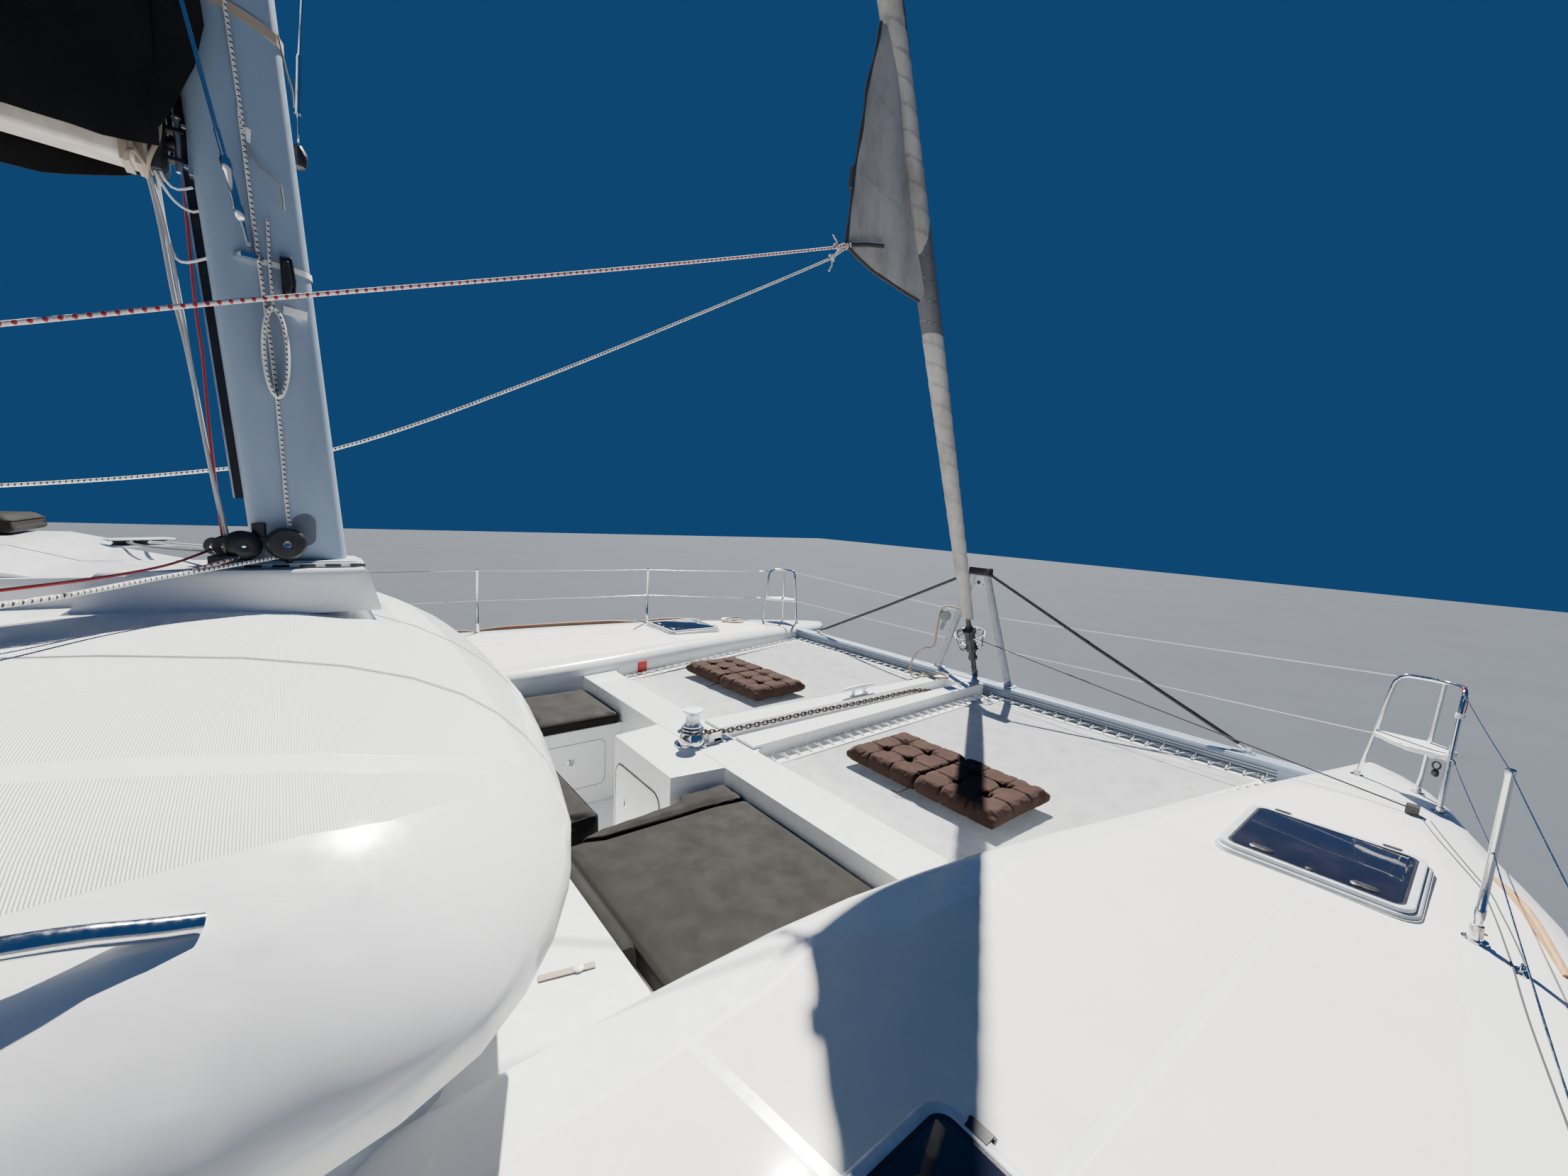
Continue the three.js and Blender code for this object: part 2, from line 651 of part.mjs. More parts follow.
add("pulpit_port", "steel", mirrored(pulpitStarboard));

// Guard rails: stanchions with two wires
const POSTS_Y = [4570, 2710, 850, -1000, -2850, -4700];
const postX = (y) => along(HULL, y, COLUMN.outer) - 325;
function guardrail() {
  const top = 680;
  const deck = (y) => along(HULL, y, COLUMN.deck) - 25;
  const ends = [[3200, 6200, PULPIT.head - 22], ...POSTS_Y.map((y) => [postX(y), y, deck(y) + top - 8])];
  const mids = [[3205, 6200, PULPIT.seat], ...POSTS_Y.map((y) => [postX(y), y, deck(y) + 340])];
  let made = null;
  for (const y of POSTS_Y) {
    const x = postX(y);
    const post = rod([x, y, deck(y) - 60], [x, y, deck(y) + top], 13);
    made = made ? made.add(post) : post;
    made = made.add(rod([x, y, deck(y) - 60], [x, y, deck(y) + 26], 24));
  }
  for (const line of [ends, mids])
    for (let i = 0; i + 1 < line.length; i++) made = made.add(rod(line[i], line[i + 1], 4, 4));
  return clearOf(made, hullStarboard, 0, 0, 1);
}
const railStarboard = add("guardrail_starboard", "steel", guardrail());
add("guardrail_port", "steel", mirrored(railStarboard));

// Hatch lids, hinged along their forward edge
for (const [name, x, y, turn, top] of HATCHES) {
  const base = top + HATCH.lift;
  const lid = plate(x, y, HATCH.size, HATCH.size, HATCH.corner, base, base + HATCH.thick, turn);
  add(`${name}_starboard`, "glass", lid);
  add(`${name}_port`, "glass", mirrored(lid));
}

// Coachroof: rings set in from the lip as they rise
const ROOF_PLAN = [
  [0, 2040],
  [600, 2020],
  [1250, 1915],
  [1760, 1790],
  [2060, 1620],
  [2235, 1430],
  [2310, 1150],
  [2360, 700],
  [2430, -300],
  [2460, -1500],
  [2460, -4500],
  [2400, -4950],
  [2200, -5200],
  [1700, -5300],
  [0, -5330],
];
// z, set in from the lip
const ROOF_RISE = [
  [2366, 40],
  [2366, 4],
  [2424, 0],
  [2470, 14],
  [2530, 45],
  [2600, 100],
  [2670, 175],
  [2730, 270],
  [2785, 400],
  [2830, 570],
  [2865, 790],
  [2888, 1060],
  [ROOF_TOP, 1400],
];
const CEILING_RISE = [
  [2300, 100],
  [2480, 100],
  [2600, 190],
  [2700, 330],
  [2780, 560],
  [2820, 860],
];
function wholePlan(half) {
  const curve = new THREE.CatmullRomCurve3(
    half.map(([x, y]) => new THREE.Vector3(x, y, 0)),
    false,
    "centripetal",
  );
  const points = ROOF_STATIONS.map((t) => curve.getPoint(t)).map(({ x, y }) => [x, y]);
  const left = points.slice(1, -1).map(([x, y]) => [-x, y]);
  return [...points, ...left.reverse()];
}
// Along the half plan, closer together round its front corner
const ROOF_STATIONS = Array.from({ length: 27 }, (_, i) => i / 26);

// The plan drawn in towards its middle by about the same amount all round
function inset(plan, by) {
  const [half, middle, reach] = [2460, -1640, 3690];
  return plan.map(([x, y]) => [x * (1 - by / half), middle + (y - middle) * (1 - by / reach)]);
}
function planLoft(half, rise, shiftY = 0) {
  const plan = wholePlan(half);
  return loft(
    rise.map(([z, by], i) => inset(plan, by).map(([x, y]) => [x, y + shiftY * i, z])),
    [0, 1],
  );
}
const PLINTH = [
  // z, half width, front y, back y
  [2700, 270, 1530, 620],
  [2880, 262, 1515, 640],
  [3015, 235, 1478, 700],
  [3030, 222, 1465, 715],
];
function plinth() {
  return loft(
    PLINTH.map(([z, half, front, back]) => [
      [-half, back, z],
      [half, back, z],
      [half, front, z],
      [-half, front, z],
    ]),
    [0, 1],
  );
}
function pillar() {
  const ring = (x0, x1, y0, y1, z) => [
    [x0, y0, z],
    [x1, y0, z],
    [x1, y1, z],
    [x0, y1, z],
  ];
  const post = loft([ring(2310, 2400, -5060, -4720, 1700), ring(2270, 2370, -4960, -4660, 2420)], [0, 1]);
  return clearOf(post, hullStarboard, 0, 0, 1);
}
const roofBody = planLoft(ROOF_PLAN, ROOF_RISE);
const roofShell = roofBody.subtract(planLoft(ROOF_PLAN, CEILING_RISE));
// Raised moulding behind the plinth, higher towards the flybridge
const FORE_TOP = 3000;
function foreMoulding() {
  const ring = (z, out) => [
    [95 + out, -420, z],
    [95 + out, 1000, z],
    [-270, 1000 + out, z],
    [-420 - out, 940 + out, z],
    [-1330 - out, 520 + out, z],
    [-1790 - out, 120, z],
    [-1830 - out, -420, z],
  ];
  const low = loft([ring(2700, 60), ring(FORE_TOP - 25, 14), ring(FORE_TOP, 0)], [0, 1]);
  const rise = [
    [560, FORE_TOP - 5],
    [330, 3055],
    [-420, 3065],
    [-420, FORE_TOP - 5],
  ];
  return low.add(prism(rise, "x", -1600, 60));
}
const above = join(plinth(), foreMoulding()).subtract(box(-3000, 3000, -6000, 3000, 0, 2800));
const clipped = above.intersect(roofBody.add(box(-2300, 2300, -6000, 3000, 2860, 4000)));
const roof = add("cabin_roof", "gelcoat", join(roofShell, clipped, pillar(), mirrored(pillar())));

// Deckhouse walls under the roof, with the windows cut
const WINDOW = { low: 2010, high: 2370 };
const windowCuts = {
  front: (g) => box(-1480 + g, 1480 - g, 1500, 2600, WINDOW.low + g, WINDOW.high - g),
  starboard: (g) => box(1800, 2600, -1700 + g, 1250 - g, WINDOW.low + g, WINDOW.high - g),
  port: (g) => box(-2600, -1800, -1700 + g, 1250 - g, WINDOW.low + g, WINDOW.high - g),
};
// Walls end a gap below the ceiling and inside the lip
const ceiling = planLoft(ROOF_PLAN, [
  [0, 104],
  ...CEILING_RISE.map(([z, by]) => [z - 2, by + 4]),
]);
const underRoof = (made) => made.intersect(ceiling);
function deckhouse() {
  let made = houseBody(0).subtract(houseBody(HOUSE.wall));
  for (const cut of Object.values(windowCuts)) made = made.subtract(cut(0));
  return largest(underRoof(onDecks(betweenHulls(made))));
}
add("deckhouse", "gelcoat", deckhouse());
const paneShell = houseBody(10).subtract(houseBody(26));
for (const [name, cut] of Object.entries(windowCuts))
  add(`window_${name}`, "glass", paneShell.intersect(cut(GAP)));

const DOOR = { half: 360, top: 2240 };
function aftBulkhead() {
  const wall = box(-2250, 2250, BULKHEAD_Y - 70, BULKHEAD_Y - GAP, SALOON_SOLE_Z + GAP, 2800);
  const door = box(-DOOR.half, DOOR.half, BULKHEAD_Y - 200, BULKHEAD_Y + 100, 0, DOOR.top);
  const pane = box(-1500, -520, BULKHEAD_Y - 200, BULKHEAD_Y + 100, 1500, 2240);
  const pane2 = box(520, 1500, BULKHEAD_Y - 200, BULKHEAD_Y + 100, 1500, 2240);
  const open = wall.subtract(door).subtract(pane).subtract(pane2);
  return largest(underRoof(betweenHulls(onDecks(open))));
}
add("aft_bulkhead", "gelcoat", aftBulkhead());
add(
  "saloon_door",
  "glass",
  box(-DOOR.half - 25, DOOR.half + 25, BULKHEAD_Y - 105, BULKHEAD_Y - 76, SALOON_SOLE_Z + 6, DOOR.top + 30),
);

// Flybridge coaming with the helm console
const FLY = { front: -430, back: -4700 };
function coaming() {
  const outer = [
    [-1750, FLY.front],
    [1750, FLY.front],
    [1880, FLY.front - 220],
    [1880, -4500],
    [1750, FLY.back],
    [-1750, FLY.back],
    [-1880, -4500],
    [-1880, FLY.front - 220],
  ];
  const inner = outer.map(([x, y]) => [x * 0.9, y > -2000 ? y - 200 : y + 130]);
  const ring = (plan, z) => plan.map(([x, y]) => [x * (1 - (z - 2700) * 0.00012), y, z]);
  let made = loft([ring(outer, 2720), ring(outer, 3120), ring(outer, 3230)], [0, 1]);
  made = made.subtract(loft([ring(inner, 2700), ring(inner, 3300)], [0, 1]));
  // the front is cut low before the helm and rises aft
  made = made.subtract(
    prism(
      [
        [1000, 3090],
        [FLY.front - 250, 3120],
        [FLY.front - 800, 3230],
        [FLY.front - 800, 3500],
        [1000, 3500],
      ],
      "x",
      -2500,
      2500,
    ),
  );
  made = made.subtract(box(-1750, -1150, -5000, -4400, 2890, 3500));
  const console = prism(
    [
      [HELM_Y, 2890],
      [HELM_Y, 3350],
      [HELM_Y - 130, 3480],
      [HELM_Y - 330, 3440],
      [HELM_Y - 380, 2890],
    ],
    "x",
    450,
    1150,
  );
  const sole = box(-1700, 1700, -4600, FLY.front - 100, 2880, 2930).subtract(box(-1750, -1150, -5000, -4400, 2850, 3500));
  const boss = rod([WHEEL.x, HELM_Y - 300, WHEEL.z], [WHEEL.x, WHEEL.y + 12, WHEEL.z], 30, 10);
  const above = join(made, console, sole, boss);
  return largest(above.subtract(roofBody).subtract(roofBody.translate([0, 0, GAP])));
}
const HELM_Y = FLY.front - 260;
const WHEEL = { x: 800, y: HELM_Y - 412, z: 3300, radius: 330 };
add("flybridge_coaming", "gelcoat", coaming());
function helmWheel() {
  const rim = new THREE.TorusGeometry(WHEEL.radius, 16, 6, 20);
  let made = solid(rim);
  for (let i = 0; i < 3; i++) {
    const t = (i * Math.PI) / 3;
    const [a, b] = [WHEEL.radius * Math.cos(t), WHEEL.radius * Math.sin(t)];
    made = made.add(rod([-a, -b, 0], [a, b, 0], 8, 6));
  }
  made = made.add(rod([0, 0, -20], [0, 0, 20], 45, 12));
  return made.rotate([90, 0, 0]).translate([WHEEL.x, WHEEL.y - 15, WHEEL.z]);
}
add("helm_wheel", "steel", helmWheel());
add("flybridge_pad", "vinyl", box(-1740, -1180, -380, 240, 3067, 3150));
function flybridgeSeat() {
  const bench = box(-1500, 1500, -4520, -3900, 2931, 3240);
  return bench.add(box(450, 1150, -2300, -1950, 2931, 3420)).add(box(450, 1150, -3950, -1990, 2931, 2960));
}
add("flybridge_seat", "gelcoat", flybridgeSeat());

// Hand rails along the roof's edge
function roofRail() {
  // x, y, z from the tip, where the rail grows out of the roof
  const rows = [
    [2087, 1105, 2697],
    [2094, 1070, 2709],
    [2098, 1027, 2723],
    [2108, 966, 2744],
    [2117, 860, 2760],
    [2142, 600, 2766],
    [2195, -200, 2766],
    [2222, -1200, 2766],
    [2231, -2360, 2764],
    [2231, -2440, 2700],
  ];
  let made = tube(rows, 18, 34);
  for (const [x, y, z] of rows.slice(4, 8)) made = made.add(rod([x, y, 2680], [x, y, z], 12));
  return largest(made.subtract(roofBody).subtract(roofBody.translate([0, 0, GAP])));
}
const roofRailStarboard = add("roof_rail_starboard", "steel", roofRail());
add("roof_rail_port", "steel", mirrored(roofRailStarboard));

// Aft cockpit
function cockpitSeat() {
  const sole = SALOON_SOLE_Z + GAP;
  const bench = box(-BRIDGE_HALF, 1300, BRIDGE_AFT_Y + 10, -4780, sole, 1400);
  const back = box(-BRIDGE_HALF, BRIDGE_HALF, BRIDGE_AFT_Y + 10, -5230, sole, 1760);
  const side = box(-BRIDGE_HALF, -1250, -4800, -3000, sole, 1400);
  return betweenHulls(join(bench, back, side));
}
add("cockpit_seat", "gelcoat", cockpitSeat());
function cockpitTable() {
  const top = plate(-350, -4050, 1300, 850, 80, 1640, 1680);
  return join(top, box(-500, -200, -4200, -3900, 1000, 1650), plate(-350, -4050, 400, 400, 40, SALOON_SOLE_Z + GAP, 1010));
}
add("cockpit_table", "gelcoat", cockpitTable());
// Mast with spreaders, boom and sails
const mastY = (z) => MAST.footY - MAST.rake * (z - MAST.foot);
function mast() {
  const section = [
    [0, 0.5],
    [0.3, 0.42],
    [0.48, 0.15],
    [0.48, -0.2],
    [0.36, -0.46],
    [0.1, -0.5],
    [-0.1, -0.5],
    [-0.36, -0.46],
    [-0.48, -0.2],
    [-0.48, 0.15],
    [-0.3, 0.42],
  ];
  const at = (z, scale) =>
    section.map(([u, v]) => [u * MAST.width * scale, mastY(z) + v * MAST.chord * scale, z]);
  let made = loft([at(3052, 1), at(17800, 1), at(MAST.head, 0.62)], [0, 1]);
  made = made.add(plate(0, MAST.footY - 10, 300, 440, 40, 3030 + GAP, 3056));
  for (const s of [-1, 1]) {
    const z = 11200;
    made = made.add(rod([s * 60, mastY(z) - 40, z], [s * 1350, mastY(z) - 840, z + 90], 32, 6, 20));
  }
  return made;
}
add("mast", "alloy", mast());

// Shrouds from the hounds to the side decks
const CHAINPLATE = { x: 3835, y: -560, z: 1940 };
function shroud() {
  const head = [70, mastY(STAY.headZ - 200) - 60, STAY.headZ - 200];
  const tip = [1365, mastY(11200) - 845, 11215];
  const line = join(
    rod([CHAINPLATE.x, CHAINPLATE.y, 1880], tip, 7, 6),
    rod(tip, [118, head[1], head[2]], 7, 6),
    rod([CHAINPLATE.x, CHAINPLATE.y, 1880], [3726, CHAINPLATE.y + 16, 2300], 16, 8),
  );
  const fork = mast();
  return clearOf(clearOf(line, hullStarboard, 0, 0, 1), fork, 1, 0, 0);
}
const shroudStarboard = add("shroud_starboard", "steel", shroud());
add("shroud_port", "steel", mirrored(shroudStarboard));

// Furled headsail round the forestay, with its clew flap, on a furling drum
const stayY = (z) => STAY.footY - STAY.rake * (z - STAY.footZ);
const stayAt = (z) => [0, stayY(z), z];
function furledSail() {
  const rows = [
    // z, radius
    [2440, 58],
    [3200, 71],
    [4900, 90],
    [9000, 100],
    [14000, 76],
    [17600, 34],
    [18300, 14],
  ];
  const rings = rows.map(([z, r]) =>
    Array.from({ length: 10 }, (_, i) => {
      const t = (i * Math.PI) / 5;
      return [r * Math.cos(t), stayY(z) + r * Math.sin(t), z];
    }),
  );
  const flap = prism(
    [
      [stayY(6740) - 20, 6740],
      [4345, 5255],
      [stayY(5060) + 40, 5060],
      [stayY(6000) + 30, 6000],
    ],
    "x",
    -6,
    6,
  );
  return loft(rings, [0, 1]).add(flap);
}
add("genoa", "sailcloth", furledSail());
function furler() {
  return join(
    rod(stayAt(1860), stayAt(2430), 18, 10),
    rod(stayAt(2168), stayAt(2178), 138, 20),
    rod(stayAt(2120), stayAt(2360), 66, 16),
    rod(stayAt(2325), stayAt(2335), 110, 20),
    box(-18, 18, stayY(1853) - 35, stayY(1853) + 35, 1851, 1930),
  );
}
add("furling_drum", "black", clearOf(furler(), striker(), 0, 0, 0));

// Boom and sail bag on the mast's gooseneck
function boomBody(grow) {
  const section = [
    [-60, -110],
    [60, -110],
    [80, -40],
    [80, 60],
    [50, 110],
    [-50, 110],
    [-80, 60],
    [-80, -40],
  ];
  const out = (v) => v + Math.sign(v) * grow;
  const at = (y, lift) => section.map(([x, z]) => [out(x), y, BOOM.z + lift + out(z)]);
  return join(
    loft([at(BOOM.y + grow, 0), at(BOOM.y - BOOM.length - grow, 150)], [0, 2]),
    rod([0, BOOM.y - 10, BOOM.z], [0, BOOM.y + 55, BOOM.z], 26),
  );
}
add("boom", "alloy", boomBody(0));
function sailBag() {
  // y, half width, lower edge, top
  const rows = [
    [BOOM.y - 40, 85, -90, 600],
    [BOOM.y - 130, 120, -150, 700],
    [BOOM.y - 420, 185, -205, 780],
    [BOOM.y - 1500, 205, -190, 700],
    [BOOM.y - 2700, 195, -140, 630],
    [BOOM.y - 3900, 175, -80, 550],
    [BOOM.y - 5300, 130, 20, 440],
    [BOOM.y - 5900, 60, 90, 340],
  ];
  const rings = rows.map(([y, w, low, high]) =>
    [
      [-w * 0.8, low],
      [w * 0.8, low],
      [w, low + 0.2 * (high - low)],
      [w * 1.02, low + 0.4 * (high - low)],
      [w * 0.85, low + 0.68 * (high - low)],
      [w * 0.5, low + 0.88 * (high - low)],
      [0, high],
      [-w * 0.5, low + 0.88 * (high - low)],
      [-w * 0.85, low + 0.68 * (high - low)],
      [-w * 1.02, low + 0.4 * (high - low)],
      [-w, low + 0.2 * (high - low)],
    ].map(([x, z]) => [x, y, BOOM.z + z]),
  );
  const room = box(-84, 84, BOOM.y - BOOM.length - 20, BOOM.y + 100, 0, BOOM.z + 20);
  return largest(loft(rings, [0, 2]).subtract(room).subtract(boomBody(2)));
}
add("sail_bag", "canvas", sailBag());

export default boat;
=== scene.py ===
"""Looks of a sailing catamaran with a forward cockpit, nets and a flybridge, round its CAD model."""
import json
import math

import bmesh
import bpy
import numpy as np
from mathutils import Matrix, Vector
from mathutils.bvhtree import BVHTree

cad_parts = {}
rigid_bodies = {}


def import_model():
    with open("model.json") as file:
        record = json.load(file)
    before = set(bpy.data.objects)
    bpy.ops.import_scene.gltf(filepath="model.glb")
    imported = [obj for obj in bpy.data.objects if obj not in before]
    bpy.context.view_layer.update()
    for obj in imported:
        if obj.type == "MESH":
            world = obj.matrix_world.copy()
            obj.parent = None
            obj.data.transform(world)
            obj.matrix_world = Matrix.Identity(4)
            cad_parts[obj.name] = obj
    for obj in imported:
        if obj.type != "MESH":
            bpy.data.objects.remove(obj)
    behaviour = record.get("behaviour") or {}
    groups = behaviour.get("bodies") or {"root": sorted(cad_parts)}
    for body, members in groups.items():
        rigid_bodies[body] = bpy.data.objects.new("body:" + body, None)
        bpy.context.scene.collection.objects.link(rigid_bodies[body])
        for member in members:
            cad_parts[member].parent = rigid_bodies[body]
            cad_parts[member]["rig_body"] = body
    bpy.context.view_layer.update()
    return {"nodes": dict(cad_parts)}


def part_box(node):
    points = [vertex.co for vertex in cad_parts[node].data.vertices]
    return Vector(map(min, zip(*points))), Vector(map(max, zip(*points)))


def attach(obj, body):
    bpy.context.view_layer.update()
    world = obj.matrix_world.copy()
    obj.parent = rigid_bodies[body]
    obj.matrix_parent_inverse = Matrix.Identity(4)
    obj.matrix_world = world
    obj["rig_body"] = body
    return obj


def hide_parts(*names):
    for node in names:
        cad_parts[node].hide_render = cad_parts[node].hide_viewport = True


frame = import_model()
NODES = frame["nodes"]

# Metres. +X to starboard, +Y to the bows, +Z up, the waterline at nought
RIM_TOP = 1.82
NET_TOP = 1.75
MAST_FOOT = Vector((0, 1.263, 3.062))
MAST_RAKE = 0.0756
STAY_FOOT = Vector((0, 6.495, 1.85))
STAY_RAKE = 0.3682
WINDLASS = Vector((0, 3.225, 1.82))
HULL_Y = [-6.98, -5.4, -3.0, 0.0, 2.5, 3.52, 4.44, 5.15, 5.85, 6.4, 6.7, 6.89, 6.98]
HULL_INNER = [2.32, 2.2, 1.88, 1.83, 1.765, 1.895, 2.115, 2.285, 2.455, 2.585, 2.655, 2.705, 2.765]
HULL_OUTER = [3.80, 3.90, 3.93, 3.93, 3.86, 3.80, 3.705, 3.61, 3.41, 3.265, 3.16, 3.035, 2.905]
HULL_DECK = [1.84, 1.89, 1.93, 1.95, 1.95, 1.95, 1.944, 1.93, 1.906, 1.886, 1.874, 1.866, 1.862]
SIDES = (("starboard", 1), ("port", -1))
# Stands a flat plate up so that it faces starboard
FACING_X = Matrix(((0, 0, 1, 0), (1, 0, 0, 0), (0, 1, 0, 0), (0, 0, 0, 1)))
STANCHION = 0.68
# Frames that a cushion's cover is given to settle
SETTLING = 16
BOOM_Z = 4.56
GENOA_FOOT, GENOA_HEAD = 2.44, 18.3
SPREADERS, HOUNDS, MASTHEAD = 11.20, 18.65, 20.65


def mast_y(z):
    return MAST_FOOT.y - MAST_RAKE * (z - MAST_FOOT.z)


def stay_y(z):
    return STAY_FOOT.y - STAY_RAKE * (z - STAY_FOOT.z)


def stay_at(z):
    return Vector((0, stay_y(z), z))


def outer_x(y):
    """Half breadth of the hull's outer edge."""
    return float(np.interp(y, HULL_Y, HULL_OUTER))


def deck_z(y):
    return float(np.interp(y, HULL_Y, HULL_DECK))


def angles(count):
    """Even steps round a circle."""
    return [math.tau * k / count for k in range(count)]


def facing_y(y):
    """Stands a flat plate up at a distance y."""
    return Matrix(((1, 0, 0, 0), (0, 0, 1, y), (0, 1, 0, 0), (0, 0, 0, 1)))


def linked(name, data):
    made = bpy.data.objects.new(name, data)
    bpy.context.scene.collection.objects.link(made)
    return made


def settled_mesh(made):
    """Plain mesh of an object whose modifiers are carried out."""
    bpy.context.view_layer.update()
    graph = bpy.context.evaluated_depsgraph_get()
    return bpy.data.meshes.new_from_object(made.evaluated_get(graph), depsgraph=graph)


SPREADER_TIP = Vector((1.365, mast_y(SPREADERS) - 0.845, SPREADERS + 0.015))


def set_up_camera():
    """Eye of the photograph, standing on the starboard side and looking to the port bow."""
    data = bpy.data.cameras.new("camera")
    data.sensor_width = 36
    data.lens = 13.738
    data.clip_start, data.clip_end = 0.05, 400
    cam = linked("camera", data)
    yaw, pitch, roll = (math.radians(a) for a in (50.327, 7.146, 3.145))
    ahead = Vector((-math.sin(yaw) * math.cos(pitch), math.cos(yaw) * math.cos(pitch), -math.sin(pitch)))
    right = ahead.cross(Vector((0, 0, 1))).normalized()
    up = right.cross(ahead)
    side = math.cos(roll) * right + math.sin(roll) * up
    top = -math.sin(roll) * right + math.cos(roll) * up
    turn = Matrix((side, top, -ahead)).transposed().to_4x4()
    cam.matrix_world = Matrix.Translation((3.268, 1.231, 3.36)) @ turn
    bpy.context.scene.camera = cam


def set_up_light():
    """Studio light with a blue surround and a hard main lamp, 0.7 degrees wide, standing where the sun does
    in the photograph.
    """
    world = bpy.data.worlds.new("studio")
    bpy.context.scene.world = world
    world.use_nodes = True
    back = world.node_tree.nodes["Background"]
    back.inputs["Color"].default_value = (0.07, 0.34, 1.0, 1)
    back.inputs["Strength"].default_value = 0.17
    sun = bpy.data.lights.new("key", "SUN")
    sun.energy = 16.5
    sun.angle = math.radians(0.7)
    sun.color = (1.0, 0.965, 0.91)
    lamp = linked("key", sun)
    lamp.rotation_mode = "QUATERNION"
    lamp.rotation_quaternion = Vector((0.455, -0.4245, -0.7826)).to_track_quat("-Z", "Y")


class Finish:
    """A material whose nodes are added one by one."""

    def __init__(self, name, colour, rough, metal=0.0, **sockets):
        self.mat = bpy.data.materials.new(name)
        self.mat.use_nodes = True
        self.tree = self.mat.node_tree
        self.face = self.tree.nodes["Principled BSDF"]
        self.set("Base Color", (*colour, 1))
        self.set("Roughness", rough)
        self.set("Metallic", metal)
        for key, value in sockets.items():
            self.set(key.replace("_", " "), value)
        self.mat.diffuse_color = (*colour, 1)
        self.where = self.node("TexCoord").outputs["Object"]
        self.relief = None

    def set(self, socket, value):
        self.face.inputs[socket].default_value = value

    def node(self, kind, **values):
        made = self.tree.nodes.new("ShaderNode" + kind)
        for key, value in values.items():
            setattr(made, key, value)
        return made

    def join(self, out, into):
        self.tree.links.new(out, into)

    def placed(self, scale=(1, 1, 1), turn=(0, 0, 0), start=None):
        made = self.node("Mapping")
        made.inputs["Scale"].default_value = scale
        made.inputs["Rotation"].default_value = turn
        self.join(start or self.where, made.inputs["Vector"])
        return made.outputs["Vector"]

    def noise(self, scale, detail=3.0, rough=0.55, start=None):
        made = self.node("TexNoise")
        made.inputs["Scale"].default_value = scale
        made.inputs["Detail"].default_value = detail
        made.inputs["Roughness"].default_value = rough
        self.join(start or self.where, made.inputs["Vector"])
        return made.outputs["Fac"]

    def waves(self, scale, start, direction="X", profile="SIN", bend=0.0):
        made = self.node("TexWave", bands_direction=direction, wave_profile=profile)
        made.inputs["Scale"].default_value = scale
        made.inputs["Distortion"].default_value = bend
        self.join(start, made.inputs["Vector"])
        return made.outputs["Fac"]

    def maths(self, kind, a, b=0.5, c=0.0, clamp=False):
        made = self.node("Math", operation=kind, use_clamp=clamp)
        for socket, value in zip(made.inputs, (a, b, c)):
            if isinstance(value, (int, float)):
                socket.default_value = value
            else:
                self.join(value, socket)
        return made.outputs[0]

    def level(self, fac, low, high, out_low=0.0, out_high=1.0):
        made = self.node("MapRange", interpolation_type="SMOOTHSTEP")
        for key, value in (("From Min", low), ("From Max", high), ("To Min", out_low), ("To Max", out_high)):
            made.inputs[key].default_value = value
        self.join(fac, made.inputs["Value"])
        return made.outputs["Result"]

    def blend(self, fac, a, b, mode="MIX"):
        made = self.node("Mix", data_type="RGBA", blend_type=mode)
        sockets = [s for s in made.inputs if s.enabled]
        for socket, value in zip(sockets, (fac, a, b)):
            if isinstance(value, (int, float)):
                socket.default_value = value
            elif isinstance(value, tuple):
                socket.default_value = (*value, 1)
            else:
                self.join(value, socket)
        return next(s for s in made.outputs if s.enabled)

    def apart(self, a, b):
        return self.maths("ABSOLUTE", self.maths("SUBTRACT", a, b))

    def attribute(self, name):
        return self.node("Attribute", attribute_name=name).outputs["Fac"]

    def split(self, start=None):
        made = self.node("SeparateXYZ")
        self.join(start or self.where, made.inputs["Vector"])
        return made.outputs

    def colour(self, out):
        self.join(out, self.face.inputs["Base Color"])

    def rough(self, out):
        self.join(out, self.face.inputs["Roughness"])

    def bump(self, height, depth, strength=1.0):
        made = self.node("Bump")
        made.inputs["Distance"].default_value = depth
        made.inputs["Strength"].default_value = strength
        self.join(height, made.inputs["Height"])
        if self.relief:
            self.join(self.relief, made.inputs["Normal"])
        self.relief = made.outputs["Normal"]
        self.join(self.relief, self.face.inputs["Normal"])


def gelcoat_base(name, colour=(0.80, 0.81, 0.81), rough=0.22):
    f = Finish(name, colour, rough, Coat_Weight=0.25, Coat_Roughness=0.08)
    wide = f.level(f.noise(1.7, 5), 0.35, 0.75)
    stain = f.level(f.noise(9.0, 6, 0.65, f.placed((1, 1, 0.35))), 0.55, 0.8)
    shade = f.blend(wide, colour, tuple(c * 0.955 for c in colour))
    shade = f.blend(f.maths("MULTIPLY", stain, 0.16), shade, (0.60, 0.57, 0.50))
    f.rough(f.level(f.noise(24.0, 3), 0.3, 0.8, rough - 0.04, rough + 0.10))
    return f, shade


def white_gelcoat():
    f, shade = gelcoat_base("white_gelcoat")
    f.colour(shade)
    f.bump(f.noise(3.0, 2), 0.004, 0.25)
    return f.mat


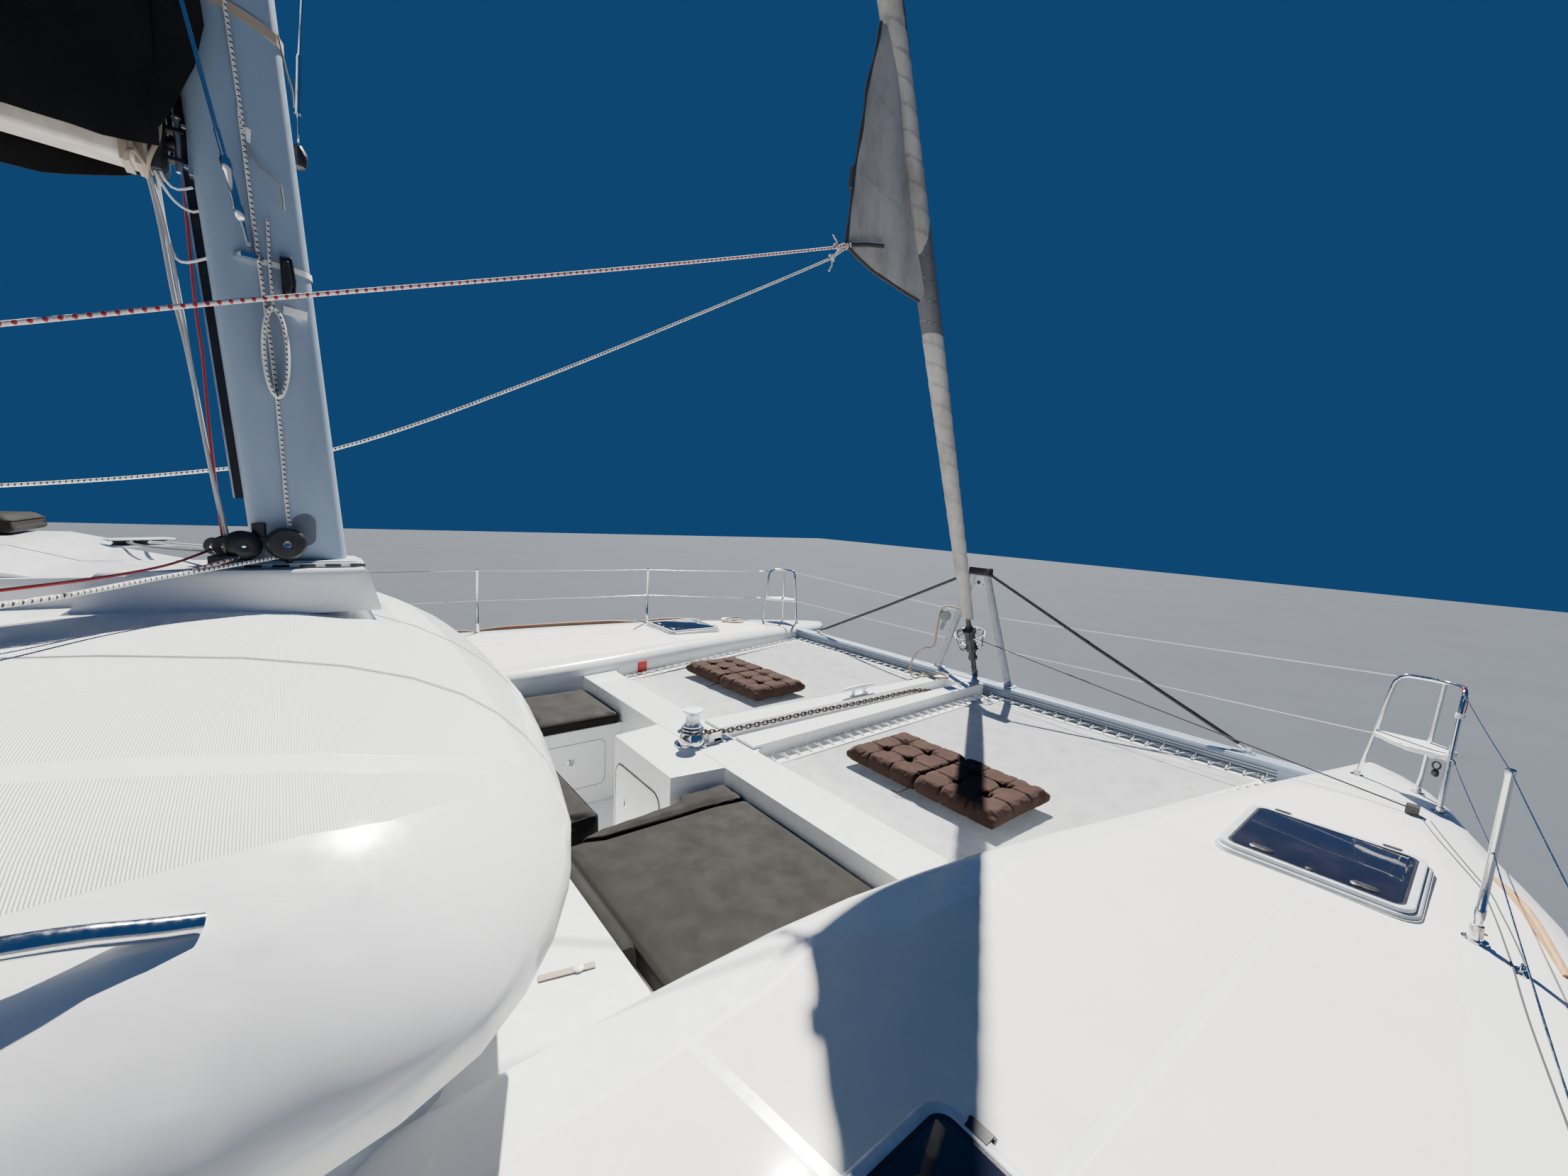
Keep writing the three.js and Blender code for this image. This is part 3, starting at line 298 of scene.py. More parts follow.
def hull_gelcoat():
    """Hull: dark bottom paint, a boot stripe, gloss topsides, and grained deck panels between bands."""
    f, shade = gelcoat_base("hull_gelcoat")
    x, y, z = f.split()
    out = f.maths("ABSOLUTE", x)
    fore_seam = f.apart(y, 4.43)
    slant = f.apart(y, f.maths("MULTIPLY_ADD", out, 0.143, 1.72))
    long_seam = f.apart(out, f.maths("MULTIPLY_ADD", y, 0.045, 2.708))
    long_seam = f.maths("ADD", long_seam, f.level(f.apart(y, 3.2), 1.22, 1.24))
    aft_seam = f.apart(f.maths("PINGPONG", f.maths("ADD", y, 9.3), 2.6), 0.4)
    aft_seam = f.maths("ADD", aft_seam, f.level(y, 0.5, 0.6))
    nearest = f.maths("MINIMUM", f.maths("MINIMUM", fore_seam, slant),
        f.maths("MINIMUM", long_seam, aft_seam))
    inside = f.maths("MINIMUM", f.attribute("panel"), f.maths("SUBTRACT", nearest, 0.016))
    panel = f.level(inside, 0.0, 0.005)
    grain = f.noise(420.0, 2, 0.6)
    patch = f.level(f.noise(5.5, 5), 0.3, 0.8)
    deck = f.blend(patch, (0.735, 0.728, 0.69), (0.68, 0.675, 0.64))
    deck = f.blend(f.maths("MULTIPLY", f.level(grain, 0.25, 0.7), 0.35), deck, (0.80, 0.80, 0.785))
    shade = f.blend(panel, shade, deck)
    line = f.level(f.apart(z, 0.135), 0.030, 0.026)
    shade = f.blend(line, shade, (0.05, 0.10, 0.22))
    drip = f.maths("ADD", z, f.level(f.noise(3.0, 5), 0.3, 0.8, -0.012, 0.012))
    foul = f.level(drip, 0.062, 0.052)
    moss = f.blend(f.level(f.noise(14.0, 6), 0.4, 0.7), (0.018, 0.035, 0.075), (0.030, 0.048, 0.060))
    shade = f.blend(foul, shade, moss)
    f.colour(shade)
    gloss = f.level(f.noise(24.0, 3), 0.3, 0.8, 0.17, 0.30)
    wide = f.maths("MAXIMUM", panel, foul)
    f.rough(f.maths("MULTIPLY_ADD", wide, 0.42, gloss))
    f.bump(f.maths("MULTIPLY", grain, panel), 0.0012, 0.9)
    f.bump(f.noise(1.2, 2), 0.006, 0.2)
    return f.mat


def roof_gelcoat():
    """Coachroof: fine ribs across the treads, smooth bands between them; the grooves between the ribs are
    darkened as painted shade.
    """
    f, shade = gelcoat_base("roof_gelcoat")
    off_band = f.maths("SUBTRACT", f.maths("ABSOLUTE", f.attribute("band")), 0.033)
    tread = f.level(f.maths("MINIMUM", f.attribute("tread"), off_band), 0.0, 0.006)
    weave = f.waves(66.0, f.where, "Y")
    # Darker colour in the rib grooves and lighter on the ribs: painted shade of the grooves.
    ribs_with_painted_groove_shade = f.blend(f.level(weave, 0.1, 0.8), (0.63, 0.64, 0.64), (0.79, 0.80, 0.80))
    shade = f.blend(tread, shade, ribs_with_painted_groove_shade)
    f.colour(shade)
    f.rough(f.maths("MULTIPLY_ADD", tread, 0.34, f.level(f.noise(24.0, 3), 0.3, 0.8, 0.17, 0.28)))
    f.bump(f.maths("MULTIPLY", weave, tread), 0.0015, 0.8)
    return f.mat


def plain_bottom():
    f = Finish("bottom_paint", (0.02, 0.04, 0.08), 0.75)
    f.colour(f.blend(f.level(f.noise(14.0, 6), 0.4, 0.7), (0.018, 0.035, 0.075), (0.032, 0.052, 0.065)))
    f.bump(f.noise(60.0, 4), 0.002)
    return f.mat


def alloy_paint_in_painted_shade():
    # The light grey paint is given a dark blue grey: painted shade with a bluish painted sky reflection, on
    # the mast, spreaders and crossbeam; the mottling is wear.
    f = Finish("alloy_paint_in_painted_shade", (0.25, 0.32, 0.41), 0.4, Coat_Weight=0.1)
    worn = f.level(f.noise(2.2, 6, 0.6, f.placed((3, 3, 0.5))), 0.4, 0.8)
    f.colour(f.blend(worn, (0.25, 0.32, 0.41), (0.21, 0.27, 0.35)))
    f.rough(f.level(f.noise(18.0, 4), 0.3, 0.8, 0.34, 0.50))
    f.bump(f.noise(45.0, 3), 0.0006, 0.4)
    return f.mat


def anodised():
    f = Finish("anodised_alloy", (0.58, 0.61, 0.65), 0.38, 0.85)
    dull = f.level(f.noise(5.0, 5, 0.6, f.placed((1, 1, 0.2))), 0.35, 0.8)
    f.colour(f.blend(dull, (0.60, 0.63, 0.67), (0.44, 0.47, 0.50)))
    f.rough(f.level(f.noise(70.0, 4, 0.6, f.placed((1, 1, 0.06))), 0.3, 0.8, 0.30, 0.48))
    return f.mat


def stainless(rusty=False):
    f = Finish("rusty_steel" if rusty else "stainless_steel", (0.72, 0.73, 0.74), 0.14, 1.0)
    tea = f.level(f.noise(22.0, 6, 0.7), 0.46 if rusty else 0.66, 0.72 if rusty else 0.9)
    f.colour(f.blend(tea, (0.72, 0.73, 0.74), (0.30, 0.15, 0.07)))
    f.rough(f.maths("MULTIPLY_ADD", tea, 0.45, f.level(f.noise(90.0, 3), 0.3, 0.8, 0.09, 0.20)))
    f.join(f.maths("SUBTRACT", 1.0, f.maths("MULTIPLY", tea, 0.8)), f.face.inputs["Metallic"])
    f.bump(f.noise(160.0, 4), 0.0004, 0.3)
    return f.mat


def moulded(name, colour, rough=0.45, size=90.0):
    f = Finish(name, colour, rough)
    pale = tuple(min(1, c * 1.35 + 0.01) for c in colour)
    f.colour(f.blend(f.level(f.noise(size / 6, 5), 0.35, 0.8), colour, pale))
    f.rough(f.level(f.noise(size, 3), 0.3, 0.8, rough - 0.08, rough + 0.14))
    f.bump(f.noise(size * 4, 3), 0.0005, 0.5)
    return f.mat


def tinted_acrylic():
    f = Finish("tinted_acrylic", (0.014, 0.015, 0.024), 0.05, Coat_Weight=0.6, Coat_Roughness=0.03)
    haze = f.level(f.noise(6.0, 5), 0.4, 0.8)
    f.colour(f.blend(haze, (0.008, 0.009, 0.018), (0.018, 0.017, 0.024)))
    f.rough(f.level(f.noise(40.0, 5), 0.45, 0.9, 0.04, 0.22))
    return f.mat


def charcoal_vinyl():
    f = Finish("charcoal_vinyl", (0.013, 0.012, 0.011), 0.8, Specular_IOR_Level=0.12)
    leather = f.node("TexVoronoi", feature="DISTANCE_TO_EDGE")
    leather.inputs["Scale"].default_value = 330.0
    f.join(f.where, leather.inputs["Vector"])
    dust = f.level(f.noise(4.0, 6, 0.62), 0.42, 0.78)
    f.colour(f.blend(dust, (0.0135, 0.0125, 0.0112), (0.0172, 0.0158, 0.0142)))
    f.rough(f.level(f.noise(8.0, 5), 0.3, 0.8, 0.70, 0.86))
    f.bump(leather.outputs["Distance"], 0.0010, 0.5)
    f.bump(f.noise(16.0, 4), 0.0022, 0.3)
    return f.mat


def brown_cotton():
    f = Finish("brown_cotton", (0.030, 0.015, 0.011), 0.95, Sheen_Weight=0.04, Sheen_Roughness=0.5,
        Specular_IOR_Level=0.1)
    turned = f.placed((1, 1, 1), (0, 0, 0.4))
    weft, warp = (f.waves(190.0, turned, way, bend=0.6) for way in "XY")
    faded = f.level(f.noise(7.0, 5), 0.35, 0.8)
    shade = f.blend(faded, (0.040, 0.022, 0.017), (0.062, 0.036, 0.028))
    raised = f.level(f.maths("MULTIPLY", weft, warp), 0.1, 0.7)
    shade = f.blend(f.maths("MULTIPLY", raised, 0.3), shade, (0.080, 0.048, 0.038))
    f.colour(shade)
    f.bump(f.maths("ADD", weft, warp), 0.0006, 0.6)
    f.bump(f.noise(30.0, 5), 0.004, 0.5)
    return f.mat


def white_cord(name="white_cord", colour=(0.74, 0.75, 0.74)):
    f = Finish(name, colour, 0.8, Sheen_Weight=0.2)
    f.colour(f.blend(f.level(f.noise(9.0, 5), 0.35, 0.8), colour, tuple(c * 0.78 for c in colour)))
    f.bump(f.noise(700.0, 2), 0.0008, 0.6)
    return f.mat


def fleck_rope(name, colour, fleck, turns=52.0, share=0.62):
    """Braided rope: plaits crossing both ways, with flecks of a second colour on one of them."""
    f = Finish(name, colour, 0.78, Sheen_Weight=0.2)
    u, v, _ = f.split(f.node("UVMap", uv_map="lay").outputs["UV"])
    one = f.maths("FRACT", f.maths("MULTIPLY_ADD", u, turns, v))
    two = f.maths("FRACT", f.maths("MULTIPLY_ADD", u, turns, f.maths("MULTIPLY", v, -1.0)))
    spot = f.maths("MULTIPLY", f.level(one, share, share + 0.08), f.level(two, 0.45, 0.53))
    aged = f.blend(f.level(f.noise(11.0, 5), 0.35, 0.8), colour, tuple(c * 0.72 for c in colour))
    f.colour(f.blend(spot, aged, fleck))
    plait = f.maths("MULTIPLY_ADD", u, turns * 2, f.maths("MULTIPLY", v, 2.0))
    plait = f.maths("SINE", f.maths("MULTIPLY", plait, math.tau))
    f.bump(plait, 0.0010, 0.7)
    return f.mat


def charcoal_canvas():
    f = Finish("charcoal_canvas", (0.010, 0.010, 0.011), 0.92, Specular_IOR_Level=0.15)
    warp = f.waves(160.0, f.where, "Y", bend=0.4)
    weft = f.waves(160.0, f.where, "Z", bend=0.4)
    worn = f.level(f.noise(2.6, 6, 0.65), 0.4, 0.8)
    f.colour(f.blend(worn, (0.008, 0.008, 0.009), (0.020, 0.018, 0.018)))
    f.bump(f.maths("ADD", warp, weft), 0.0007, 0.6)
    f.bump(f.noise(3.2, 4), 0.035, 0.5)
    return f.mat


def weathered_sailcloth():
    f = Finish("weathered_sailcloth", (0.40, 0.39, 0.365), 0.8, Specular_IOR_Level=0.2)
    soil = f.level(f.noise(3.0, 7, 0.68, f.placed((1.6, 1.6, 0.7))), 0.35, 0.75)
    shade = f.blend(soil, (0.43, 0.42, 0.395), (0.28, 0.265, 0.24))
    strip = f.level(f.attribute("strip"), 0.4, 0.6)
    shade = f.blend(strip, shade, f.blend(soil, (0.055, 0.062, 0.080), (0.10, 0.105, 0.12)))
    seam = f.level(f.attribute("seam"), 0.4, 0.6)
    shade = f.blend(f.maths("MULTIPLY", seam, 0.5), shade, (0.30, 0.29, 0.27))
    f.colour(shade)
    f.bump(f.noise(11.0, 5), 0.012, 0.5)
    f.bump(f.noise(420.0, 2), 0.0005, 0.4)
    return f.mat


def weathered_teak(name, colour):
    f = Finish(name, colour, 0.62)
    grain = f.noise(60.0, 6, 0.6, f.placed((1, 0.05, 1)))
    f.colour(f.blend(f.level(grain, 0.35, 0.7), colour, tuple(c * 0.55 for c in colour)))
    f.bump(grain, 0.0012, 0.6)
    return f.mat


def rusty_chain():
    f = Finish("rusty_chain", (0.026, 0.018, 0.014), 0.72, 0.3)
    blotch = f.level(f.noise(70.0, 6, 0.65), 0.35, 0.75)
    f.colour(f.blend(blotch, (0.020, 0.015, 0.013), (0.060, 0.034, 0.024)))
    f.rough(f.level(f.noise(120.0, 4), 0.3, 0.8, 0.45, 0.85))
    f.bump(f.noise(260.0, 5), 0.0015, 0.8)
    return f.mat


def studio_floor():
    f = Finish("pale_floor", (0.07, 0.08, 0.095), 0.9, Specular_IOR_Level=0.1)
    f.colour(f.blend(f.level(f.noise(0.35, 4), 0.3, 0.8), (0.072, 0.082, 0.097), (0.066, 0.075, 0.09)))
    return f.mat


set_up_camera()
set_up_light()
GELCOAT = white_gelcoat()
HULL = hull_gelcoat()
ROOF = roof_gelcoat()
BOTTOM = plain_bottom()
ALLOY_IN_PAINTED_SHADE = alloy_paint_in_painted_shade()
ANODISED = anodised()
STEEL = stainless()
RUSTY = stainless(True)
BLACK = moulded("black_plastic", (0.012, 0.012, 0.014), 0.38)
WHITE = moulded("white_plastic", (0.76, 0.77, 0.77), 0.34)
FRAME_GREY = moulded("hatch_frame_grey", (0.46, 0.50, 0.54), 0.36)
LEG_GREY = moulded("striker_grey", (0.33, 0.35, 0.38), 0.35)
DARK_STEEL = moulded("dull_dark_steel", (0.055, 0.060, 0.070), 0.35)
EYELET = moulded("eyelet_grey", (0.07, 0.075, 0.085), 0.4)
RED = moulded("red_plastic", (0.42, 0.012, 0.010), 0.35)
ACRYLIC = tinted_acrylic()
VINYL = charcoal_vinyl()
COTTON = brown_cotton()
CORD = white_cord()
NETTING = white_cord("netting", (0.66, 0.67, 0.68))
BLACK_CORD = white_cord("black_cord", (0.02, 0.02, 0.022))
BEIGE_ROPE = white_cord("beige_rope", (0.34, 0.27, 0.20))
BLACK_FLECK = fleck_rope("black_fleck_rope", (0.70, 0.69, 0.66), (0.02, 0.02, 0.02))
RED_FLECK = fleck_rope("red_fleck_rope", (0.66, 0.64, 0.62), (0.42, 0.02, 0.03), 30.0, 0.5)
RED_ROPE = white_cord("red_rope", (0.34, 0.015, 0.02))
CANVAS = charcoal_canvas()
SAIL = weathered_sailcloth()
TEAK = weathered_teak("light_teak", (0.47, 0.26, 0.10))
# Darker copy of the same teak for the port rail: painted shade.
TEAK_IN_PAINTED_SHADE = weathered_teak("teak_in_painted_shade", (0.20, 0.085, 0.04))
CHAIN = rusty_chain()


def smooth_line(points, step, closed=False):
    """Points a step apart on a smooth curve through the given ones."""
    p = [Vector(q) for q in points]
    ends = (p[-1:], p[:2]) if closed else ([2 * p[0] - p[1]], [2 * p[-1] - p[-2]])
    q = ends[0] + p + ends[1]
    out = []
    for i in range(1, len(q) - 2):
        a, b, c, d = q[i - 1 : i + 3]
        n = max(1, round((c - b).length / step))
        for k in range(n):
            t = k / n
            bent = (2 * a - 5 * b + 4 * c - d) * t * t + (3 * b - a - 3 * c + d) * t**3
            out.append(0.5 * (2 * b + (c - a) * t + bent))
    return out if closed else out + [p[-1]]


def straight_line(points, step):
    """Points about a step apart on the straight sides of a closed outline."""
    p = [Vector(q) for q in points]
    out = []
    for a, b in zip(p, p[1:] + p[:1]):
        n = max(1, round((b - a).length / step))
        out += [a.lerp(b, k / n) for k in range(n)]
    return out


def sagging(a, b, sag, n=24):
    """Line from a to b that hangs down by sag in its middle."""
    a, b = Vector(a), Vector(b)
    return [a.lerp(b, i / n) - Vector((0, 0, 4 * sag * (i / n) * (1 - i / n))) for i in range(n + 1)]


class Shape:
    """Points and faces gathered for one piece."""

    def __init__(self):
        self.points = []
        self.faces = []
        self.lay = []

    def add(self, points, faces, lay=None):
        base = len(self.points)
        self.points += [tuple(p) for p in points]
        self.faces += [[base + k for k in face] for face in faces]
        self.lay += lay or [[(0.0, 0.0)] * len(face) for face in faces]
        return self

    def tube(self, points, radius, sides=10, closed=False, widths=None):
        p = [Vector(q) for q in points]
        n = len(p)
        radii = widths or [radius] * n
        ahead = []
        for i in range(n):
            before, after = (i - 1, (i + 1) % n) if closed else (max(i - 1, 0), min(i + 1, n - 1))
            ahead.append((p[after] - p[before]).normalized())
        side = ahead[0].orthogonal().normalized()
        if abs(ahead[0].z) < 0.9:
            side = ahead[0].cross(Vector((0, 0, 1))).normalized()
        rings, lengths, length = [], [], 0.0
        for i in range(n):
            if i:
                side = (side - ahead[i] * side.dot(ahead[i])).normalized()
                length += (p[i] - p[i - 1]).length
            lengths.append(length)
            up = ahead[i].cross(side)
            rings += [p[i] + radii[i] * (math.cos(t) * side + math.sin(t) * up) for t in angles(sides)]
        faces, lay = [], []
        for i in range(n if closed else n - 1):
            j = (i + 1) % n
            u0, u1 = lengths[i], lengths[i] + (p[j] - p[i]).length
            for k in range(sides):
                m = (k + 1) % sides
                faces.append([i * sides + k, i * sides + m, j * sides + m, j * sides + k])
                v0, v1 = k / sides, (k + 1) / sides
                lay.append([(u0, v0), (u0, v1), (u1, v1), (u1, v0)])
        if not closed:
            faces += [list(range(sides))[::-1], [(n - 1) * sides + k for k in range(sides)]]
            lay += [[(0.0, 0.0)] * sides, [(length, 0.0)] * sides]
        return self.add(rings, faces, lay)

    def rope(self, points, step, radius, sides=8):
        """Tube along a smooth curve through the points."""
        return self.tube(smooth_line(points, step), radius, sides)

    def rod(self, a, b, radius, sides=12):
        return self.tube([a, b], radius, sides)

    def lathe(self, centre, profile, axis=(0, 0, 1), sides=24):
        """Turned shape: radius and height along the axis, from one end to the other."""
        axis = Vector(axis).normalized()
        side = axis.orthogonal().normalized()
        up = axis.cross(side)
        centre = Vector(centre)
        out = [math.cos(t) * side + math.sin(t) * up for t in angles(sides)]
        return self.loft([[centre + axis * h + max(r, 1e-5) * way for way in out] for r, h in profile])

    def loft(self, rings, closed=True, caps=True):
        """Skin over rings of points, with the first and the last one filled in."""
        n = len(rings[0])
        points = [q for ring in rings for q in ring]
        faces = []
        for i in range(len(rings) - 1):
            for k in range(n if closed else n - 1):
                m = (k + 1) % n
                faces.append([i * n + k, i * n + m, (i + 1) * n + m, (i + 1) * n + k])
        if caps and closed:
            last = len(rings) - 1
            faces += [list(range(n))[::-1], [last * n + k for k in range(n)]]
        return self.add(points, faces)

    def slab(self, outline, low, high, place=None):
        """Flat plate of an outline, upright between two heights, then placed by a matrix."""
        n = len(outline)
        points = [Vector((x, y, z)) for z in (low, high) for x, y in outline]
        if place:
            points = [place @ p for p in points]
        faces = [[k, (k + 1) % n, n + (k + 1) % n, n + k] for k in range(n)]
        return self.add(points, faces + [list(range(n))[::-1], [n + k for k in range(n)]])

    def block(self, low, high, place=None):
        (x0, y0, z0), (x1, y1, z1) = low, high
        return self.slab([(x0, y0), (x1, y0), (x1, y1), (x0, y1)], z0, z1, place)

    def mirrored(self):
        made = Shape()
        made.points = [(-x, y, z) for x, y, z in self.points]
        made.faces = [face[::-1] for face in self.faces]
        made.lay = [lay[::-1] for lay in self.lay]
        return made

    def doubled(self):
        """The shape with its mirror image added."""
        other = self.mirrored()
        return self.add(other.points, other.faces, other.lay)

    def pair(self, name, material, node="", **looks):
        """A piece for starboard and its mirror image for port, in place of a CAD node if one is named."""
        for side, shape in (("starboard", self), ("port", self.mirrored())):
            shape.piece(f"{name}_{side}", material, replaces=f"{node}_{side}" if node else (), **looks)

    def piece(self, name, material, body="boat", **looks):
        """Plain object of the shape, with its finish, its body and any CAD nodes it replaces."""
        mesh = bpy.data.meshes.new(name)
        mesh.from_pydata(self.points, [], self.faces)
        layer = mesh.uv_layers.new(name="lay")
        layer.data.foreach_set("uv", [c for face in self.lay for uv in face for c in uv])
        work = bmesh.new()
        work.from_mesh(mesh)
        bmesh.ops.recalc_face_normals(work, faces=work.faces)
        work.to_mesh(mesh)
        work.free()
        return finished(linked(name, mesh), material, body, **looks)


def finished(made, material, body="boat", slot="", replaces=(), sharp=35, bevel=0.0, segments=2, ride=True):
    """Smooth shading, rounded edges, the body of a piece and the CAD nodes it hides; the slot is not used.
    """
    mesh = made.data
    mesh.materials.clear()
    mesh.materials.append(material)
    mesh.shade_smooth()
    mesh.set_sharp_from_angle(angle=math.radians(sharp))
    if bevel:
        mod = made.modifiers.new("rounded edges", "BEVEL")
        mod.width = bevel
        mod.segments = segments
        mod.limit_method = "ANGLE"
        mod.angle_limit = math.radians(max(sharp, 30))
        mod.harden_normals = True
    if ride:
        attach(made, body)
    if replaces:
        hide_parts(*([replaces] if isinstance(replaces, str) else replaces))
    return made


def rounded(cx, cy, wide, long, corner, steps=6):
    """Outline of a rectangle with round corners."""
    out = []
    for sx, sy, start in ((1, 1, 0), (-1, 1, 1), (-1, -1, 2), (1, -1, 3)):
        x, y = cx + sx * (wide / 2 - corner), cy + sy * (long / 2 - corner)
        for k in range(steps + 1):
            t = math.pi / 2 * (start + k / steps)
            out.append((x + corner * math.cos(t), y + corner * math.sin(t)))
    return out


def joined_mesh(node, flatten=0.0):
    """The points and faces of a CAD node, with its loose triangles joined."""
    work = bmesh.new()
    work.from_mesh(NODES[node].data)
    bmesh.ops.remove_doubles(work, verts=work.verts, dist=2e-5)
    if flatten:
        bmesh.ops.dissolve_limit(work, angle_limit=math.radians(flatten), verts=work.verts, edges=work.edges)
    mesh = bpy.data.meshes.new(node + "_finished")
    points = [v.co.copy() for v in work.verts]
    work.verts.index_update()
    faces = [[v.index for v in f.verts] for f in work.faces]
    work.free()
    mesh.from_pydata(points, [], faces)
    return mesh


def dressed(node, material, bevel=0.0, sharp=35, flatten=0.4, slot=None, segments=2):
    """A CAD node shown again with joined faces, soft edges and its own finish."""
    made = linked(node + "_finished", joined_mesh(node, flatten))
    return finished(made, material, NODES[node]["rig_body"], slot, (node,), sharp, bevel, segments)


def surface_of(*nodes):
    """Tree for finding the surface of CAD nodes under or beside a point."""
    points, faces = [], []
    for node in nodes:
        mesh = NODES[node].data
        base = len(points)
        points += [v.co.copy() for v in mesh.vertices]
        faces += [[base + k for k in p.vertices] for p in mesh.polygons]
    return BVHTree.FromPolygons(points, faces)


def dropped(tree, x, y):
    """Point on the surface straight below."""
    return tree.ray_cast(Vector((x, y, 6.0)), Vector((0, 0, -1)))[0]


DECK_TREES = {"starboard": surface_of("hull_starboard"), "port": surface_of("hull_port")}


def on_deck(x, y):
    """Height of the starboard hull's deck."""
    return dropped(DECK_TREES["starboard"], x, y).z


def row_tree():
    """Like fittings set out along a line, each turned a little further than the last."""
    tree = bpy.data.node_groups.new("fittings_in_a_row", "GeometryNodeTree")
    kinds = {"Line": "Geometry", "Fitting": "Object", "Spacing": "Float", "Quarter turns": "Float"}
    kinds |= {"Unevenness": "Float", "Seed": "Int", "Finish": "Material"}
    for name, kind in kinds.items():
        tree.interface.new_socket(name, in_out="INPUT", socket_type="NodeSocket" + kind)
    tree.interface.new_socket("Row", in_out="OUTPUT", socket_type="NodeSocketGeometry")
    given = tree.nodes.new("NodeGroupInput").outputs

    def add(kind, inputs=(), **settings):
        """One node with its settings, each input joined or given a value."""
        made = tree.nodes.new(kind)
        for key, value in settings.items():
            setattr(made, key, value)
        for key, value in dict(inputs).items():
            if isinstance(value, bpy.types.NodeSocket):
                tree.links.new(value, made.inputs[key])
            else:
                made.inputs[key].default_value = value
        return next(s for s in made.outputs if s.enabled)

    curve = add("GeometryNodeMeshToCurve", {"Mesh": given["Line"]})
    spaced = add("GeometryNodeResampleCurve", {"Curve": curve, "Length": given["Spacing"]}, mode="LENGTH")
    along = add("FunctionNodeAlignRotationToVector", {"Vector": add("GeometryNodeInputTangent")}, axis="X")
    standing = {"Vector": (0, 0, 1), "Rotation": along}
    standing = add("FunctionNodeAlignRotationToVector", standing, axis="Z", pivot_axis="X")
    quarters = {0: add("GeometryNodeInputIndex"), 1: given["Quarter turns"]}
    quarters = add("ShaderNodeMath", quarters, operation="MULTIPLY")
    least = add("ShaderNodeMath", {0: given["Unevenness"], 1: -1.0}, operation="MULTIPLY")
    chance = {2: least, 3: given["Unevenness"], "Seed": given["Seed"]}
    chance = add("FunctionNodeRandomValue", chance, data_type="FLOAT")
    roll = add("ShaderNodeMath", {0: quarters, 1: math.pi / 2, 2: chance}, operation="MULTIPLY_ADD")
    turn = add("FunctionNodeAxisAngleToRotation", {"Axis": (1, 0, 0), "Angle": roll})
    turn = {"Rotation": standing, "Rotate By": turn}
    turn = add("FunctionNodeRotateRotation", turn, rotation_space="LOCAL")
    fitting = add("GeometryNodeObjectInfo", {"Object": given["Fitting"]}).node.outputs["Geometry"]
    row = add("GeometryNodeInstanceOnPoints", {"Points": spaced, "Instance": fitting, "Rotation": turn})
    row = add("GeometryNodeRealizeInstances", {"Geometry": row})
    row = add("GeometryNodeSetMaterial", {"Geometry": row, "Material": given["Finish"]})
    tree.links.new(row, tree.nodes.new("NodeGroupOutput").inputs["Row"])
    return tree


ROW = row_tree()


def fittings(name, lines, fitting, spacing, material, slot=None, quarters=0.0, uneven=0.0, seed=1, sharp=40,
    replaces=()):
    """Copies of a small Shape along lines, made with the row tree and turned into one plain mesh."""
    mesh = bpy.data.meshes.new(name + "_line")
    points, edges = [], []
    for line in lines:
        base = len(points)
        points += [tuple(p) for p in line]
        edges += [(base + i, base + i + 1) for i in range(len(line) - 1)]
    mesh.from_pydata(points, edges, [])
    rail = linked(name + "_line", mesh)
    pattern = fitting.piece(name + "_fitting", material, ride=False, sharp=sharp)
    mod = rail.modifiers.new("row", "NODES")
    mod.node_group = ROW
    values = {"Fitting": pattern, "Spacing": spacing, "Quarter turns": quarters}
    values |= {"Unevenness": uneven, "Seed": seed, "Finish": material}
    for item in ROW.interface.items_tree:
        if item.name in values and item.in_out == "INPUT":
            mod[item.identifier] = values[item.name]
    plain = settled_mesh(rail)
    for helper in (rail, pattern):
        bpy.data.objects.remove(helper)
    plain.name = name
    return finished(linked(name, plain), material, "boat", slot, replaces, sharp)


def mark(mesh, name, values):
    layer = mesh.attributes.new(name, "FLOAT", "POINT")
    layer.data.foreach_set("value", np.asarray(values, np.float32))


def coordinates(mesh):
    co = np.zeros(len(mesh.vertices) * 3)
    mesh.vertices.foreach_get("co", co)
    return co.reshape(-1, 3).T


def dress_hulls():
    """Hulls with their deck panels marked by the distance in from the panels' edges."""
    for side, _ in SIDES:
        made = dressed(f"hull_{side}", HULL, sharp=32, flatten=0.0, slot="gelcoat")
        x, y, z = coordinates(made.data)
        across = np.abs(x)
        inner = across - np.interp(y, HULL_Y, HULL_INNER) - 0.12
        outer = np.interp(y, HULL_Y, HULL_OUTER) - across - 0.29
        deck = z - np.interp(y, HULL_Y, HULL_DECK) + 0.05
        ends = np.minimum(6.15 - y, y + 5.0)
        mark(made.data, "panel", np.minimum.reduce([inner, outer, deck, ends]))


def finer(mesh, cuts):
    """Triangles halved a few times, so that marks on them stay sharp."""
    work = bmesh.new()
    work.from_mesh(mesh)
    for _ in range(cuts):
        edges = [e for e in work.edges if e.calc_length() > 0.10]
        bmesh.ops.subdivide_edges(work, edges=edges, cuts=1, use_grid_fill=True)
    work.to_mesh(mesh)
    work.free()


